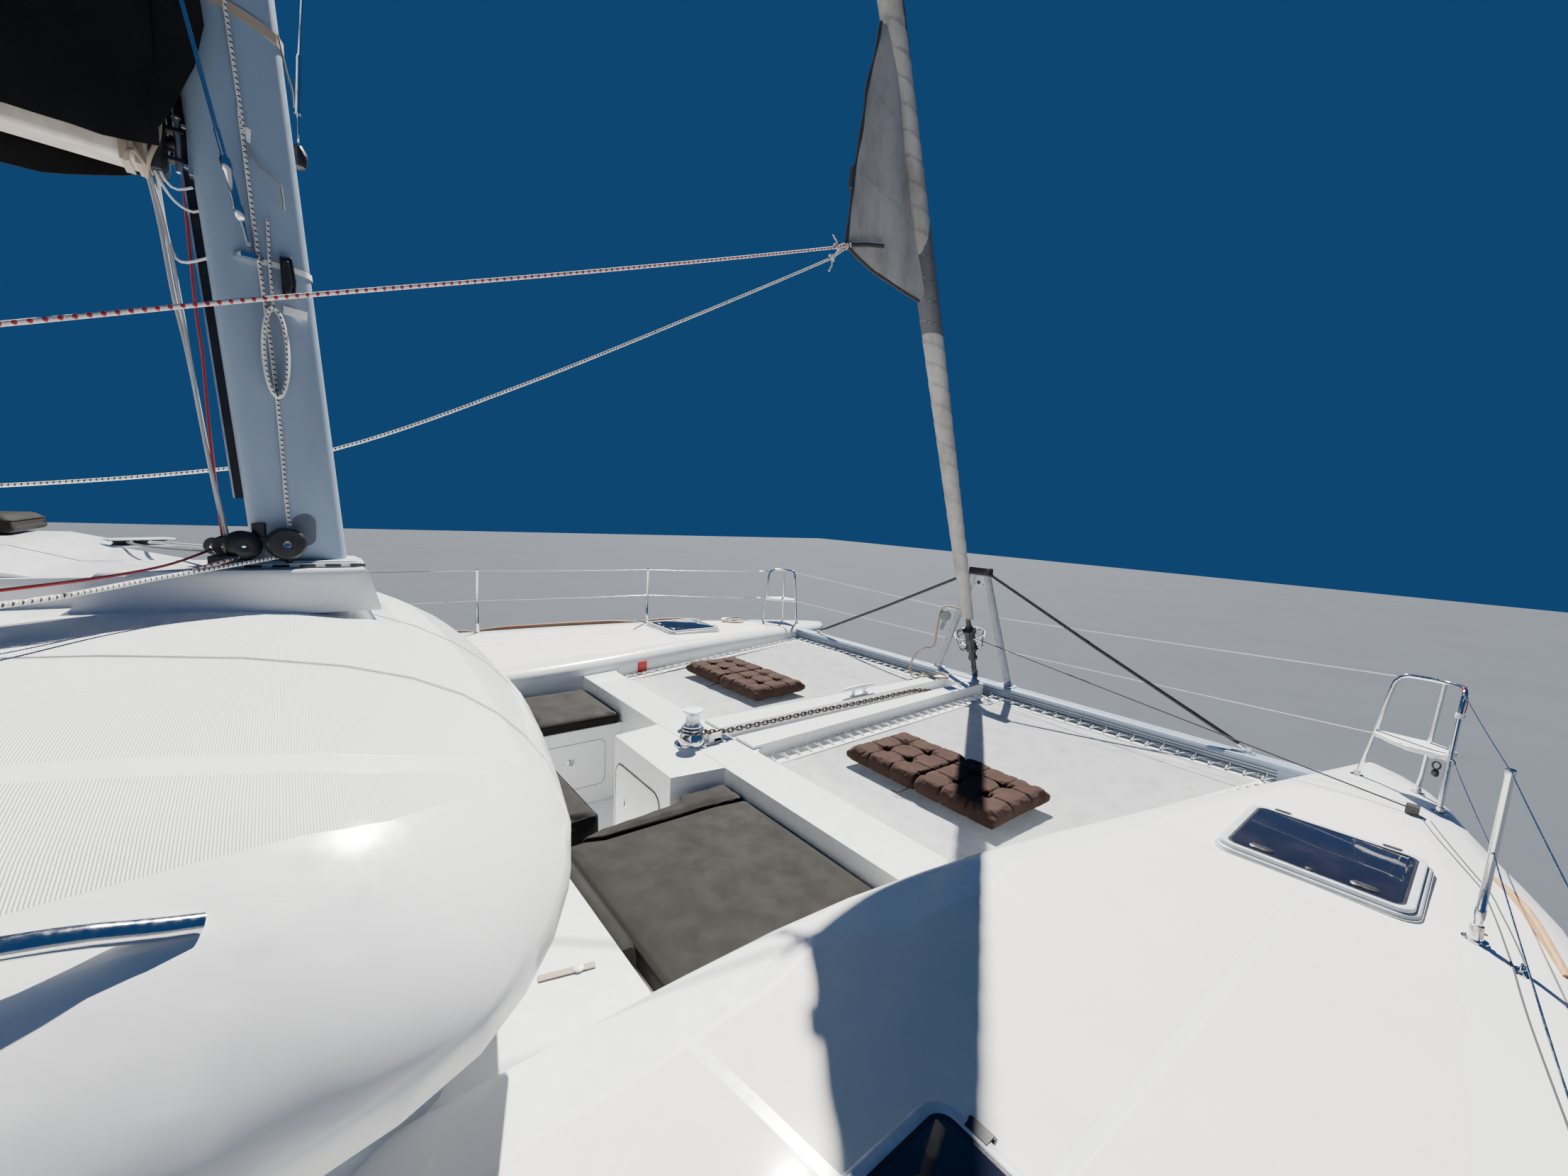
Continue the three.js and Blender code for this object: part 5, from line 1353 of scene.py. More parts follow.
def mast_rigging():
    """Stays with their turnbuckles, halyards and the ropes led down to the mast's foot."""
    steel, low = Shape(), Vector((0.118, 1.148, 4.245))
    way = (SPREADER_TIP - low).normalized()
    screw_fitting(steel, low, low + way * 0.36, 0.017)
    steel.rod(low + way * 0.34, SPREADER_TIP, 0.0068, 10)
    steel.slab([(0.086, 1.10), (0.128, 1.125), (0.128, 1.17), (0.086, 1.195)], 4.20, 4.215)
    steel.doubled().piece("diamond_stays", STEEL, slot="steel")
    # Removable inner stay kept at the mast's port side, with its shackle and stopper ball
    kept = Shape().tube([(-0.06, mast_y(9.4) + 0.17, 9.4), (-0.13, 1.345, 5.318), (-0.137, 1.328, 5.10)],
        0.006, 8)
    kept.rod((-0.137, 1.328, 5.10), (-0.14, 1.316, 4.88), 0.0125, 12)
    shackle = [(-0.14, 1.316, 4.89), (-0.155, 1.316, 4.86), (-0.155, 1.315, 4.80)]
    shackle += [(-0.14, 1.314, 4.77), (-0.125, 1.315, 4.80), (-0.125, 1.316, 4.86)]
    kept.tube(smooth_line(shackle, 0.01, True), 0.0045, 8, closed=True)
    kept.piece("inner_stay_kept_at_mast", STEEL, slot="steel")
    profile = [(0.004, -0.045), (0.024, -0.036), (0.032, -0.01), (0.030, 0.02), (0.016, 0.045),
        (0.004, 0.05)]
    Shape().lathe((-0.14, 1.312, 4.71), profile, sides=20).piece("stopper_ball", BLACK, slot="black")
    # Halyard down the starboard face to the main block, and thinner lines behind the mast
    fleck = [(0.100, mast_y(9.0) - 0.03, 9.0), (0.100, 1.12, 5.023), (0.100, 1.142, 4.705),
        (0.100, 1.169, 4.284)]
    fleck += [(0.100, 1.205, 3.76), (0.105, 1.221, 3.313), (0.128, 1.228, 3.175)]
    Shape().rope(fleck, 0.05, 0.0062, 10).piece("halyard_black_fleck", BLACK_FLECK, slot="net")
    red = [(0.0, 0.966, 4.726), (0.0, 0.983, 4.048), (0.0, 0.995, 3.833), (0.01, 1.002, 3.541),
        (0.02, 1.02, 3.14)]
    Shape().rope(red, 0.05, 0.0048).piece("red_line_at_mast", RED_ROPE, slot="net")
    line = [(0.0, 0.869, 4.529), (0.0, 0.902, 4.307), (0.0, 0.928, 4.034), (0.0, 0.956, 3.825)]
    thick = Shape().rope(line + [(0.01, 0.997, 3.425), (0.02, 1.030, 3.14)], 0.04, 0.0075, 10)
    line = [(0.012, 0.872, 4.52), (0.02, 0.915, 4.30), (0.02, 0.945, 4.03), (0.03, 0.99, 3.5),
        (0.05, 1.04, 3.14)]
    thick.rope(line, 0.04, 0.005)
    thick.piece("grey_lines_at_mast", white_cord("grey_rope", (0.36, 0.37, 0.38)), slot="net")
    line = [(0.02, 0.895, 4.50), (0.0, 0.904, 4.46), (0.0, 0.916, 4.30), (0.01, 0.932, 4.19)]
    loops = Shape().rope(line + [(0.02, 0.955, 4.157), (0.03, 0.99, 4.165), (0.045, 1.03, 4.185)], 0.02,
        0.0052)
    line = [(0.02, 0.90, 4.49), (0.03, 0.908, 4.432), (0.03, 0.95, 4.36), (0.03, 0.997, 4.339),
        (0.04, 1.03, 4.36)]
    loops.rope(line, 0.02, 0.0045)
    loops.rope([(0.03, 0.90, 4.51), (0.04, 0.93, 4.42), (0.04, 0.96, 4.40), (0.04, 1.0, 4.42)], 0.02, 0.0045)
    loops.piece("pale_loops_at_gooseneck", CORD, slot="net")
    thin = Shape().rope([(0.055, mast_y(7.5) - 0.14, 7.5), (0.06, 1.034, 5.043), (0.06, 1.07, 4.767),
        (0.07, 1.05, 4.60)], 0.08, 0.0045)
    thin.piece("thin_grey_line", white_cord("thin_grey", (0.42, 0.44, 0.46)), slot="net")
    line = [(0.105, 1.158, 4.60), (0.104, 1.168, 4.569), (0.108, 1.20, 4.53), (0.104, 1.245, 4.500)]
    tail = Shape().rope(line + [(0.103, 1.252, 4.47), (0.102, 1.256, 4.41)], 0.01, 0.0032, 6)
    line = [(0.088, 1.262, 5.03), (0.092, 1.272, 4.97), (0.086, 1.286, 4.90), (0.084, 1.296, 4.86),
        (0.083, 1.30, 4.80)]
    tail.rope(line, 0.01, 0.0032, 6)
    tail.piece("cord_tails_at_mast", white_cord("tail_cord", (0.22, 0.20, 0.18)), slot="net")
    strap_round("mast_strap", 5.035, -0.17, 0.036, BEIGE_ROPE)


def mast_blocks():
    """Turning blocks round the mast's foot."""
    black, hub = Shape(), Shape()
    cheek_block(black, (0.150, 1.215, 3.128), 0.064, 0.034, (1, 0.1, 0.05), (0.12, 1.22, 3.05))
    hub.lathe((0.150, 1.215, 3.128), [(0.009, 0.034), (0.014, 0.036), (0.012, 0.0385), (0.005, 0.038)],
        (1, 0.1, 0.05), 16)
    for at, r, axis in (
        ((0.118, 1.083, 3.118), 0.058, (1, 0.25, 0)),
        ((0.06, 1.035, 3.110), 0.044, (1, -0.3, 0)),
        ((0.0, 1.0, 3.105), 0.036, (0.9, -0.5, 0.1)),
        ((-0.13, 1.13, 3.118), 0.055, (1, 0, 0)),
        ((-0.14, 1.26, 3.12), 0.055, (1, 0, 0)),
    ):
        cheek_block(black, at, r, 0.024, axis, (at[0] * 0.85, at[1] + 0.02, 3.05))
        hub.lathe(at, [(0.004, 0.024), (0.008, 0.026), (0.004, 0.028)], axis, 12)
    black.slab([(0.10, 1.0), (0.185, 0.985), (0.20, 1.03), (0.165, 1.07), (0.10, 1.07)], 3.050, 3.082)
    black.slab([(0.095, 1.11), (0.075, 1.12), (0.07, 1.16), (0.10, 1.15)], 3.150, 3.205)
    black.piece("mast_foot_blocks", BLACK, slot="black", sharp=40, bevel=0.002)
    hub.piece("mast_block_hubs", STEEL, slot="steel")


def laid_rope(name, line, radius, material, sides):
    """A loose rope along a line."""
    long = sum((b - a).length for a, b in zip(line, line[1:]))
    rope = Shape().tube(line, radius, sides).piece(name, material, slot="net")
    path = [tuple(p) for p in line]
    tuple(line[0])


def hank():
    """Rope tail coiled on the mast: its turns hang from a cleat and are wrapped at the top."""
    turns, apart, steps = 5, 0.0122, 28
    path = [(0.102, 1.205, 4.36), (0.101, 1.206, 4.20), (0.101, 1.209, 4.09), (0.103, 1.211, 4.045)]
    for k in range(turns):
        wide = 0.034 + 0.004 * (k % 2)
        for t in range(steps):
            q = math.tau * t / steps
            x = 0.105 + apart * k + apart * t / steps
            path.append((x, 1.212 + wide * math.sin(q), 3.865 + 0.165 * math.cos(q)))
    path.append((0.105 + apart * turns, 1.212, 4.030))
    laid_rope("hank_at_mast", smooth_line(path, 0.012), 0.005, BLACK_FLECK, 8)


def boom():
    """Boom, its gooseneck and the lashings at its front end."""
    flat = [(-0.06, -0.11), (0.06, -0.11), (0.08, -0.04), (0.08, 0.06)]
    flat += [(0.05, 0.11), (-0.05, 0.11), (-0.08, 0.06), (-0.08, -0.04)]
    section = lambda y, z=BOOM_Z, wide=1.0, tall=1.0: [(x * wide, y, z + dz * tall) for x, dz in flat]
    tube = Shape().loft([section(0.903), section(-5.195, BOOM_Z + 0.15)])
    paint = moulded("boom_paint", (0.46, 0.42, 0.37), 0.4)
    tube.piece("boom_tube", paint, "boom", slot="alloy", replaces="boom", bevel=0.02, segments=4)
    cap = Shape().loft([section(y, wide=g, tall=g) for y, g in ((0.895, 1.04), (0.925, 1.04), (0.938, 0.8))])
    cap.lathe((0, 0.930, BOOM_Z), [(0.02, 0.0), (0.024, 0.01), (0.024, 0.03)], (0, 1, 0), 14)
    pin = Shape().lathe((0, 0.966, 4.47), [(0.011, 0.0), (0.011, 0.18), (0.015, 0.182), (0.015, 0.19)],
        sides=14)
    for z in (4.60, 4.50):
        cap.block((-0.022, 0.935, z), (0.022, 0.985, z + 0.016))
    cap.piece("gooseneck", BLACK, "boom", slot="black", bevel=0.003)
    for z in (4.618, 4.484):
        pin.block((-0.03, 0.978, z), (0.03, 1.02, z + 0.014))
    pin.block((-0.045, 0.992, 4.46), (0.045, 1.006, 4.72))
    pin.piece("gooseneck_bracket", ANODISED, slot="alloy", bevel=0.002)
    web = Shape()
    for y in (0.872, 0.835):
        web.loft([section(y + dy, wide=1.06, tall=1.05) for dy in (-0.012, 0.012)], caps=False)
    knot = [(0.088, 0.86, 4.50), (0.10, 0.87, 4.47), (0.09, 0.885, 4.44), (0.06, 0.88, 4.455)]
    knot += [(0.08, 0.86, 4.475), (0.11, 0.85, 4.46), (0.10, 0.84, 4.43)]
    web.rope(knot, 0.008, 0.006)
    web.rope([(0.09, 0.93, 4.60), (0.105, 0.925, 4.53), (0.10, 0.90, 4.46), (0.05, 0.885, 4.425),
        (-0.02, 0.88, 4.43)], 0.01, 0.007)
    web.piece("boom_lashing", BEIGE_ROPE, "boom", slot="net")


def bag_rows():
    """Along the boom: y, half width, lower edge of the starboard flap, of the port flap, and the top."""
    return [
        (0.93, 0.140, 4.50, 4.50, 5.22),
        (0.82, 0.172, 4.450, 4.45, 5.27),
        (0.60, 0.195, 4.470, 4.40, 5.30),
        (0.30, 0.205, 4.430, 4.38, 5.30),
        (-0.595, 0.210, 4.40, 4.37, 5.26),
        (-1.795, 0.203, 4.44, 4.42, 5.19),
        (-2.995, 0.183, 4.50, 4.48, 5.11),
        (-4.395, 0.138, 4.60, 4.58, 5.00),
        (-4.99, 0.085, 4.69, 4.68, 4.92),
    ]


def sail_bag():
    """Charcoal cover that hangs over the stacked mainsail, with its two flaps beside the boom."""
    rows = bag_rows()
    ys = [r[0] for r in rows][::-1]
    at = lambda y, c: float(np.interp(y, ys, [r[c] for r in rows][::-1]))
    stations = [0.93 - 5.92 * k / 90 for k in range(91)]
    rings = []
    for i, y in enumerate(stations):
        w, low_s, low_p, top = (at(y, c) for c in (1, 2, 3, 4))
        low_s += 0.010 * math.sin(i * 0.9) + 0.012 * math.sin(i * 0.37)
        low_p += 0.010 * math.sin(i * 0.8 + 1) + 0.012 * math.sin(i * 0.31)
        outer = []
        for k in range(33):
            t = k / 32
            side = 1 if t < 0.5 else -1
            s = min(t, 1 - t) * 2
            low = low_s if side > 0 else low_p
            z = low + (top - low) * (1 - (1 - s) ** 1.35)
            fat = 0.90 + 0.13 * math.sin(math.pi * min(1, s * 1.5)) - 0.95 * max(0, s - 0.62) ** 1.5 * 4.2
            fold = 0.008 * math.sin(y * 9 + z * 14) + 0.005 * math.sin(y * 23 - z * 9)
            x = side * max(0.0, w * fat + fold * (1 - s)) if 0 < s < 1 else side * w * fat * (1 if s == 0
                else 0)
            outer.append((x, y, z))
        inner = []
        for x, _, z in outer[::-1]:
            inner.append((x - math.copysign(min(0.005, abs(x)), x), y, z - (0.005 if z > top - 0.25 else 0)))
        rings.append(outer + inner)
    bag = Shape().loft(rings).piece("sail_cover", CANVAS, "boom", slot="canvas", replaces="sail_bag",
        sharp=70)
    front = Shape()
    edge = [(0.90, 4.50), (0.955, 4.60), (1.031, 4.791), (1.062, 4.94), (1.05, 5.08), (1.00, 5.17),
        (0.90, 5.19)]
    for s in (-1, 1):
        ring = lambda out: [(s * (out + (0.004 if 0.92 < y < 1.04 else 0)), y, z) for y, z in edge]
        front.loft([ring(0.128), ring(0.133)])
    front.piece("cover_front_flaps", CANVAS, "boom", slot="canvas")
    # Folded sail inside, seen under the flaps
    folds = []
    for y in (0.84, 0.4, -1.0, -3.0, -4.9):
        w, top = at(y, 1) * 0.74, at(y, 4) - 0.16
        ring = []
        for q in angles(20):
            wave = 1 + 0.05 * math.sin(5 * q + y * 3)
            ring.append((w * wave * math.cos(q), y, (4.70 + top) / 2 + (top - 4.70) / 2 * math.sin(q)))
        folds.append(ring)
    Shape().loft(folds).piece("stacked_mainsail", SAIL, "boom", slot="sailcloth")
    zip_line = [(0, y, at(y, 4) + 0.004) for y in stations[4:-2]]
    Shape().tube(zip_line, 0.006, 8).piece("cover_zip", BEIGE_ROPE, "boom", slot="canvas")
    hems = Shape()
    for side, column in ((1, 2), (-1, 3)):
        hems.tube([(side * at(y, 1) * 0.905, y, at(y, column) + 0.012) for y in stations[6::6]], 0.005, 6)
    hems.piece("cover_hems", CANVAS, "boom", slot="canvas")


def roll_radius(z):
    return float(np.interp(z, [2.44, 3.2, 4.9, 9.0, 14.0, 17.6, 18.3],
        [0.056, 0.069, 0.088, 0.098, 0.074, 0.034, 0.013]))


def genoa_roll():
    """Headsail rolled on its stay: slanting laps, and a dark sun strip above."""
    rings, strip, seam, z = [], [], [], GENOA_FOOT
    while z < GENOA_HEAD:
        r, c, ring = roll_radius(z), stay_at(z), []
        for t in angles(48):
            turn = (t / math.tau + (z - GENOA_FOOT) / 0.155) % 1.0
            lap = 1.0 + 0.055 * turn - 0.03 * math.exp(-((turn / 0.05) ** 2))
            rr = r * lap * 0.965
            ring.append((c.x + rr * math.cos(t), c.y + rr * math.sin(t) * 1.02, z - 0.12 * rr * math.sin(t)))
            # The strip shows high up, on the forward half
            face = math.sin(t)
            border = 0.9 - (z - 6.15) * 1.1 if z > 5.95 else 9.0
            dark = 1.0 if (face > border and z > 6.05) or z > 7.4 else 0.0
            if 4.86 < z < 5.58 + 0.9 * face * 0.2:
                dark = 0.55
            strip.append(dark)
            seam.append(math.exp(-(((turn - 0.97) / 0.05) ** 2)))
        rings.append(ring)
        z += 0.0125 if z < 7.2 else 0.12
    roll = Shape().loft(rings).piece("rolled_genoa", SAIL, slot="sailcloth", replaces="genoa", sharp=60)
    mark(roll.data, "strip", strip)
    mark(roll.data, "seam", seam)


def genoa_flap():
    """Clew flap left out of the roll, from the leech to where it dives in, with its two seams."""
    leech = [(4.538, 6.784), (4.495, 6.55), (4.442, 6.299), (4.410, 6.03)]
    leech += [(4.392, 5.837), (4.368, 5.70), (4.352, 5.48), (4.343, 5.274)]
    foot = [(4.343, 5.262), (4.48, 5.205), (4.62, 5.160), (4.753, 5.139), (4.94, 5.105), (5.14, 5.075)]
    edge, low = ([Vector((0, y, z)) for y, z in line] for line in (leech, foot))
    top, corner = edge[0], low[-1]
    rows, nu, w = [], 40, 25
    for j in range(nu + 1):
        v = j / nu
        a = sampled(edge, v)
        z = top.z + (corner.z - top.z) * v
        luff = Vector((0, stay_y(top.z) + (stay_y(corner.z) - stay_y(top.z)) * v, z))
        row = []
        for i in range(w):
            u = i / (w - 1)
            p = a.lerp(luff, u) if v < 1 else sampled(low, u)
            if 0.8 < v < 1:
                p = p.lerp(sampled(low, u) + Vector((0, 0, (1 - v) * 1.2 * (1 - u))), (v - 0.8) / 0.2)
            bulge = 0.050 * math.sin(math.pi * min(1, u * 1.15)) * math.sin(math.pi * v) ** 0.6
            ripple = 0.012 * math.sin(u * 11 + v * 3) * math.sin(math.pi * v) * u
            ripple += 0.006 * math.sin(v * 17 + u * 5) * (1 - u)
            row.append((p.x + bulge + ripple + 0.03 * u * u, p.y, p.z))
        rows.append(row)
    front = [q for row in rows for q in row]
    back = [(x - 0.0018, y, z) for x, y, z in front]
    quads = []
    for j in range(nu):
        for i in range(w - 1):
            q = [j * w + i, j * w + i + 1, (j + 1) * w + i + 1, (j + 1) * w + i]
            quads += [q, [len(front) + k for k in q[::-1]]]
    rim = list(range(w)) + [j * w + w - 1 for j in range(1, nu + 1)]
    rim += [nu * w + i for i in range(w - 2, -1, -1)] + [j * w for j in range(nu - 1, 0, -1)]
    for a, b in zip(rim, rim[1:] + rim[:1]):
        quads.append([a, b, len(front) + b, len(front) + a])
    flap = Shape().add(front + back, quads).piece("genoa_flap", SAIL, slot="sailcloth", sharp=70)
    sewn = []
    for k in range(len(front)):
        j, i = divmod(k, w)
        v, u = j / nu, i / (w - 1)
        line = min(abs(v - 0.30 - 0.10 * u), abs(v - 0.66 - 0.08 * u))
        sewn.append(math.exp(-((line / 0.012) ** 2)))
    mark(flap.data, "strip", [0.0] * len(front) * 2)
    mark(flap.data, "seam", sewn * 2)
    return rows


def genoa():
    """Rolled headsail with its clew flap, edge tapes and the ring at the clew."""
    genoa_roll()
    rows = genoa_flap()
    tape = Shape()
    widths = [0.011 + 0.004 * math.sin(j * 0.7) for j in range(len(rows))]
    tape.tube([row[0] for row in rows], 0.013, 6, widths=widths)
    tape.tube(rows[-1], 0.012, 6)
    pocket = ((4.375, 5.779), (4.345, 5.779), (4.333, 5.635), (4.366, 5.635))
    tape.loft([[(x, y, z) for y, z in pocket] for x in (-0.012, 0.014)])
    tape.tube([(0.022, 4.372, 5.262), (0.060, 4.50, 5.292), (0.080, 4.636, 5.318)], 0.014, 6)
    tape.piece("genoa_edge_tape", BLACK_CORD, slot="sailcloth")
    round_eye = [(0.014 * math.cos(q), 4.362 + 0.02 * math.sin(q), 5.262 + 0.02 * math.cos(q))
        for q in angles(16)]
    Shape().tube(round_eye, 0.005, 8, closed=True).piece("clew_ring", STEEL, slot="steel")


def sampled(line, t):
    """Point at a share of a polyline's length."""
    spans = [(b - a).length for a, b in zip(line, line[1:])]
    left = max(0.0, min(1.0, t)) * sum(spans)
    for a, b, s in zip(line, line[1:], spans):
        if left <= s or b is line[-1]:
            return a.lerp(b, min(1.0, left / s if s else 0))
        left -= s
    return line[-1]


def sheets():
    """The two headsail sheets from bowlines at the clew, aft past the mast to the roof."""
    red = [(0.0, 4.36, 5.262), (0.02, 4.30, 5.235), (0.02, 4.216, 5.199), (0.088, 3.21, 4.805),
        (0.157, 2.20, 4.418)]
    red += [(0.226, 1.181, 4.037), (0.262, 0.65, 3.83), (0.330, -0.36, 3.437), (0.335, -0.415, 3.42)]
    black = [(0.0, 4.36, 5.255), (-0.01, 4.29, 5.20), (-0.02, 4.208, 5.133), (-0.20, 3.35, 4.62),
        (-0.42, 2.30, 4.01)]
    black += [(-0.60, 1.429, 3.561), (-0.75, 0.757, 3.373), (-0.95, -0.30, 3.21), (-0.97, -0.415, 3.20)]
    clew = Vector((0, 4.33, 5.25))
    for name, material, line, radius, c, tail in (
        ("red", RED_FLECK, red, 0.0083, (0.02, 4.232, 5.205), (0.02, 4.188, 5.275)),
        ("black", BLACK_FLECK, black, 0.0078, (-0.02, 4.228, 5.146), (-0.02, 4.208, 5.054)),
    ):
        c, tail = Vector(c), Vector(tail)
        sheet = Shape().rope(line, 0.12, radius, 12)
        turns = [0.9 * k for k in range(11)]
        knot = [c + Vector((0.012 * math.cos(q * 2.1), 0.020 * math.sin(q), 0.016 * math.cos(q * 1.3)))
            for q in turns]
        sheet.rope(knot, 0.008, 0.0065, 8)
        upper = c.lerp(clew + Vector((0.012, 0, 0)), 0.6) + Vector((0.01, 0, 0.012))
        lower = c.lerp(clew, 0.6) - Vector((0.01, 0, 0.014))
        sheet.rope([c, upper, Vector((0.0, 4.368, 5.27)), lower, c], 0.01, 0.0062, 8)
        sheet.rope([c, c.lerp(tail, 0.5) + Vector((0.006, 0.01, 0)), tail], 0.01, 0.0064, 8)
        sheet.piece(f"sheet_{name}_fleck", material, slot="net")


def striker():
    """Bow striker: two legs, their feet, the pierced plate, the cap and the black stays."""
    legs, plates, black = Shape(), Shape(), Shape()
    y, foot = 6.425, 1.8503
    for s in (-1, 1):
        a, b = Vector((s * 0.398, y, foot + 0.014)), Vector((s * 0.070, y, 2.868))
        legs.rod(a, b, 0.0335, 28)
        plates.slab(rounded(s * 0.398, y, 0.15, 0.11, 0.03), foot, foot + 0.008)
        plates.lathe(a, [(0.05, -0.010), (0.040, 0.004), (0.034, 0.030), (0.0315, 0.05)], b - a)
        for dx, dy in ((-0.058, -0.036), (-0.058, 0.036), (0.058, -0.036), (0.058, 0.036)):
            bolt = (s * 0.398 + dx, y + dy, foot + 0.008)
            plates.lathe(bolt, [(0.007, 0), (0.007, 0.004), (0.004, 0.0055)], sides=12)
        black.tube([(s * 0.08, y, 2.89), (s * 1.155, y, 2.377), (s * 2.20, y, 1.900)], 0.0145, 12)
        plates.rod((s * 2.19, y, 1.905), (s * 2.255, y, 1.874), 0.013, 12)
        plates.slab(rounded(s * 2.23, y, 0.14, 0.06, 0.012), foot, foot + 0.007)
        for near, far in ((-0.012, -0.006), (0.006, 0.012)):
            x0, x1 = s * 2.255 - 0.02, s * 2.255 + 0.02
            plates.block((x0, y + near, foot + 0.005), (x1, y + far, foot + 0.036))
    rings = []
    for z, half, deep in ((2.864, 0.100, 0.040), (2.872, 0.110, 0.046), (2.928, 0.110, 0.046),
        (2.937, 0.100, 0.040)):
        rings.append([(x, yy, z) for x, yy in rounded(0, y, 2 * half, 2 * deep, 0.012)])
    Shape().loft(rings).piece("striker_cap", BLACK, slot="black", replaces="striker")
    plates.slab(rounded(0, 2.80, 0.15, 0.115, 0.015), -0.0045, 0.0045, facing_y(y))
    for x, z, r in ((-0.01, 2.79, 0.020), (0.045, 2.77, 0.007), (-0.05, 2.77, 0.007)):
        black.lathe((x, y, z), [(r, -0.0052), (r, 0.0052)], (0, 1, 0), 16)
    legs.piece("striker_legs", LEG_GREY, slot="alloy")
    plates.piece("striker_plates", ANODISED, slot="alloy", bevel=0.0015)
    black.piece("striker_stays", BLACK, slot="black")


def beams():
    """Crossbeam with black strips as painted shade for the grooves along its aft face, and the hooks that
    hold the nets' lacing.
    """
    dressed("crossbeam", ALLOY_IN_PAINTED_SHADE, bevel=0.02, slot="alloy", segments=4)
    lines = Shape()
    # Black strips on the aft face: painted shade in place of cut grooves.
    for z in (1.812, 1.790, 1.768, 1.742, 1.712):
        lines.block((-2.45, 6.3285, z - 0.003), (2.45, 6.3302, z + 0.003))
    lines.piece("crossbeam_grooves", BLACK, slot="black")
    hook = [(0, 0, -0.014), (0, -0.012, -0.010), (0, -0.016, 0.0), (0, -0.008, 0.008), (0, 0, 0.006)]
    rows = [[(s * x, 6.327, 1.77) for x in (0.30, 2.40)] for s in (-1, 1)]
    fittings("crossbeam_hooks", rows, Shape().tube(hook, 0.0035, 6), 0.21, WHITE, slot="net")


def furler():
    """Furling drum in its steel cage, with the torque tube above and the toggle below."""
    at = stay_at
    axis = (at(3.0) - at(2.0)).normalized()
    black, steel = Shape(), Shape()
    spool = [(0.030, 0.0), (0.064, 0.002), (0.066, 0.012), (0.050, 0.045), (0.048, 0.16), (0.060, 0.195),
        (0.066, 0.205)]
    spool += [(0.066, 0.222), (0.048, 0.232), (0.036, 0.25), (0.026, 0.262), (0.024, 0.30), (0.021, 0.325)]
    black.lathe(at(2.12), spool, axis, 28)
    swivel = [(0.022, -0.030), (0.042, -0.022), (0.046, 0.0), (0.036, 0.018), (0.030, 0.085)]
    black.lathe(at(2.045), swivel, axis)
    side = axis.orthogonal().normalized()
    up = axis.cross(side)
    rings = []
    for z, r, bar in ((2.155, 0.112, 0.0040), (2.268, 0.142, 0.0034), (2.286, 0.144, 0.0042)):
        rings.append([at(z) + r * (math.cos(t) * side + math.sin(t) * up) for t in angles(48)])
        steel.tube(rings[-1], bar, 8, closed=True)
    for k in range(2, 48, 8):
        steel.tube([at(2.150), *(ring[k] for ring in rings)], 0.0052, 8)
        steel.rod(rings[2][k], at(2.330), 0.0040, 8)
    along = Matrix.Translation(at(1.98)) @ Matrix.Rotation(math.atan(STAY_RAKE), 4, "X")
    for s in (-1, 1):
        steel.block((s * 0.014 - 0.003, -0.018, -0.13), (s * 0.014 + 0.003, 0.018, 0.03), along)
    for z in (2.005, 1.93, 1.885):
        steel.lathe(at(z), [(0.008, -0.026), (0.008, 0.026)], (1, 0, 0), 14)
        steel.lathe(at(z), [(0.012, -0.030), (0.012, -0.025)], (1, 0, 0), 14)
    steel.block((-0.010, STAY_FOOT.y - 0.035, 1.8510), (0.010, STAY_FOOT.y + 0.03, 1.905))
    steel.slab(rounded(0, STAY_FOOT.y - 0.005, 0.12, 0.055, 0.01), 1.8505, 1.8570)
    black.piece("furling_drum_body", BLACK, slot="black", replaces="furling_drum", sharp=40)
    steel.piece("furling_drum_cage", DARK_STEEL, slot="steel")
    foil = Shape().rod(at(2.38), at(2.47), 0.020, 16)
    foil.piece("stay_foil", moulded("foil_brown", (0.035, 0.018, 0.022), 0.5), slot="alloy")


def rope_at_furler():
    """Beige rope hung beside the furler through a grey block, its loops let down on the beam."""
    profile = [(0.01, -0.015), (0.05, -0.014), (0.056, -0.008), (0.056, 0.008), (0.05, 0.014), (0.01, 0.015)]
    grey = Shape().lathe((-0.205, 6.20, 2.44), profile, (0.75, -0.6, 0.0))
    grey.rod((-0.205, 6.20, 2.40), (-0.235, 6.195, 2.30), 0.018, 10)
    grey.piece("rope_block", moulded("aged_grey", (0.17, 0.175, 0.18), 0.5), slot="black")
    path = [(-0.030, 6.27, 2.50), (-0.10, 6.215, 2.535), (-0.19, 6.19, 2.535), (-0.245, 6.18, 2.49),
        (-0.258, 6.17, 2.38)]
    path += [(-0.262, 6.16, 2.26), (-0.267, 6.15, 2.15), (-0.30, 6.145, 2.10), (-0.36, 6.14, 2.085),
        (-0.44, 6.13, 2.03)]
    path += [(-0.50, 6.125, 1.94), (-0.52, 6.12, 1.85), (-0.48, 6.10, 1.785), (-0.41, 6.08, 1.771),
        (-0.36, 6.065, 1.795)]
    path += [(-0.325, 6.05, 1.838), (-0.275, 6.04, 1.864), (-0.20, 6.02, 1.8525), (-0.12, 6.04, 1.8525),
        (-0.085, 6.11, 1.8525)]
    path += [(-0.11, 6.19, 1.8525), (-0.19, 6.225, 1.8525), (-0.26, 6.20, 1.8525)]
    laid_rope("furler_rope", smooth_line(path, 0.012), 0.011, BEIGE_ROPE, 12)


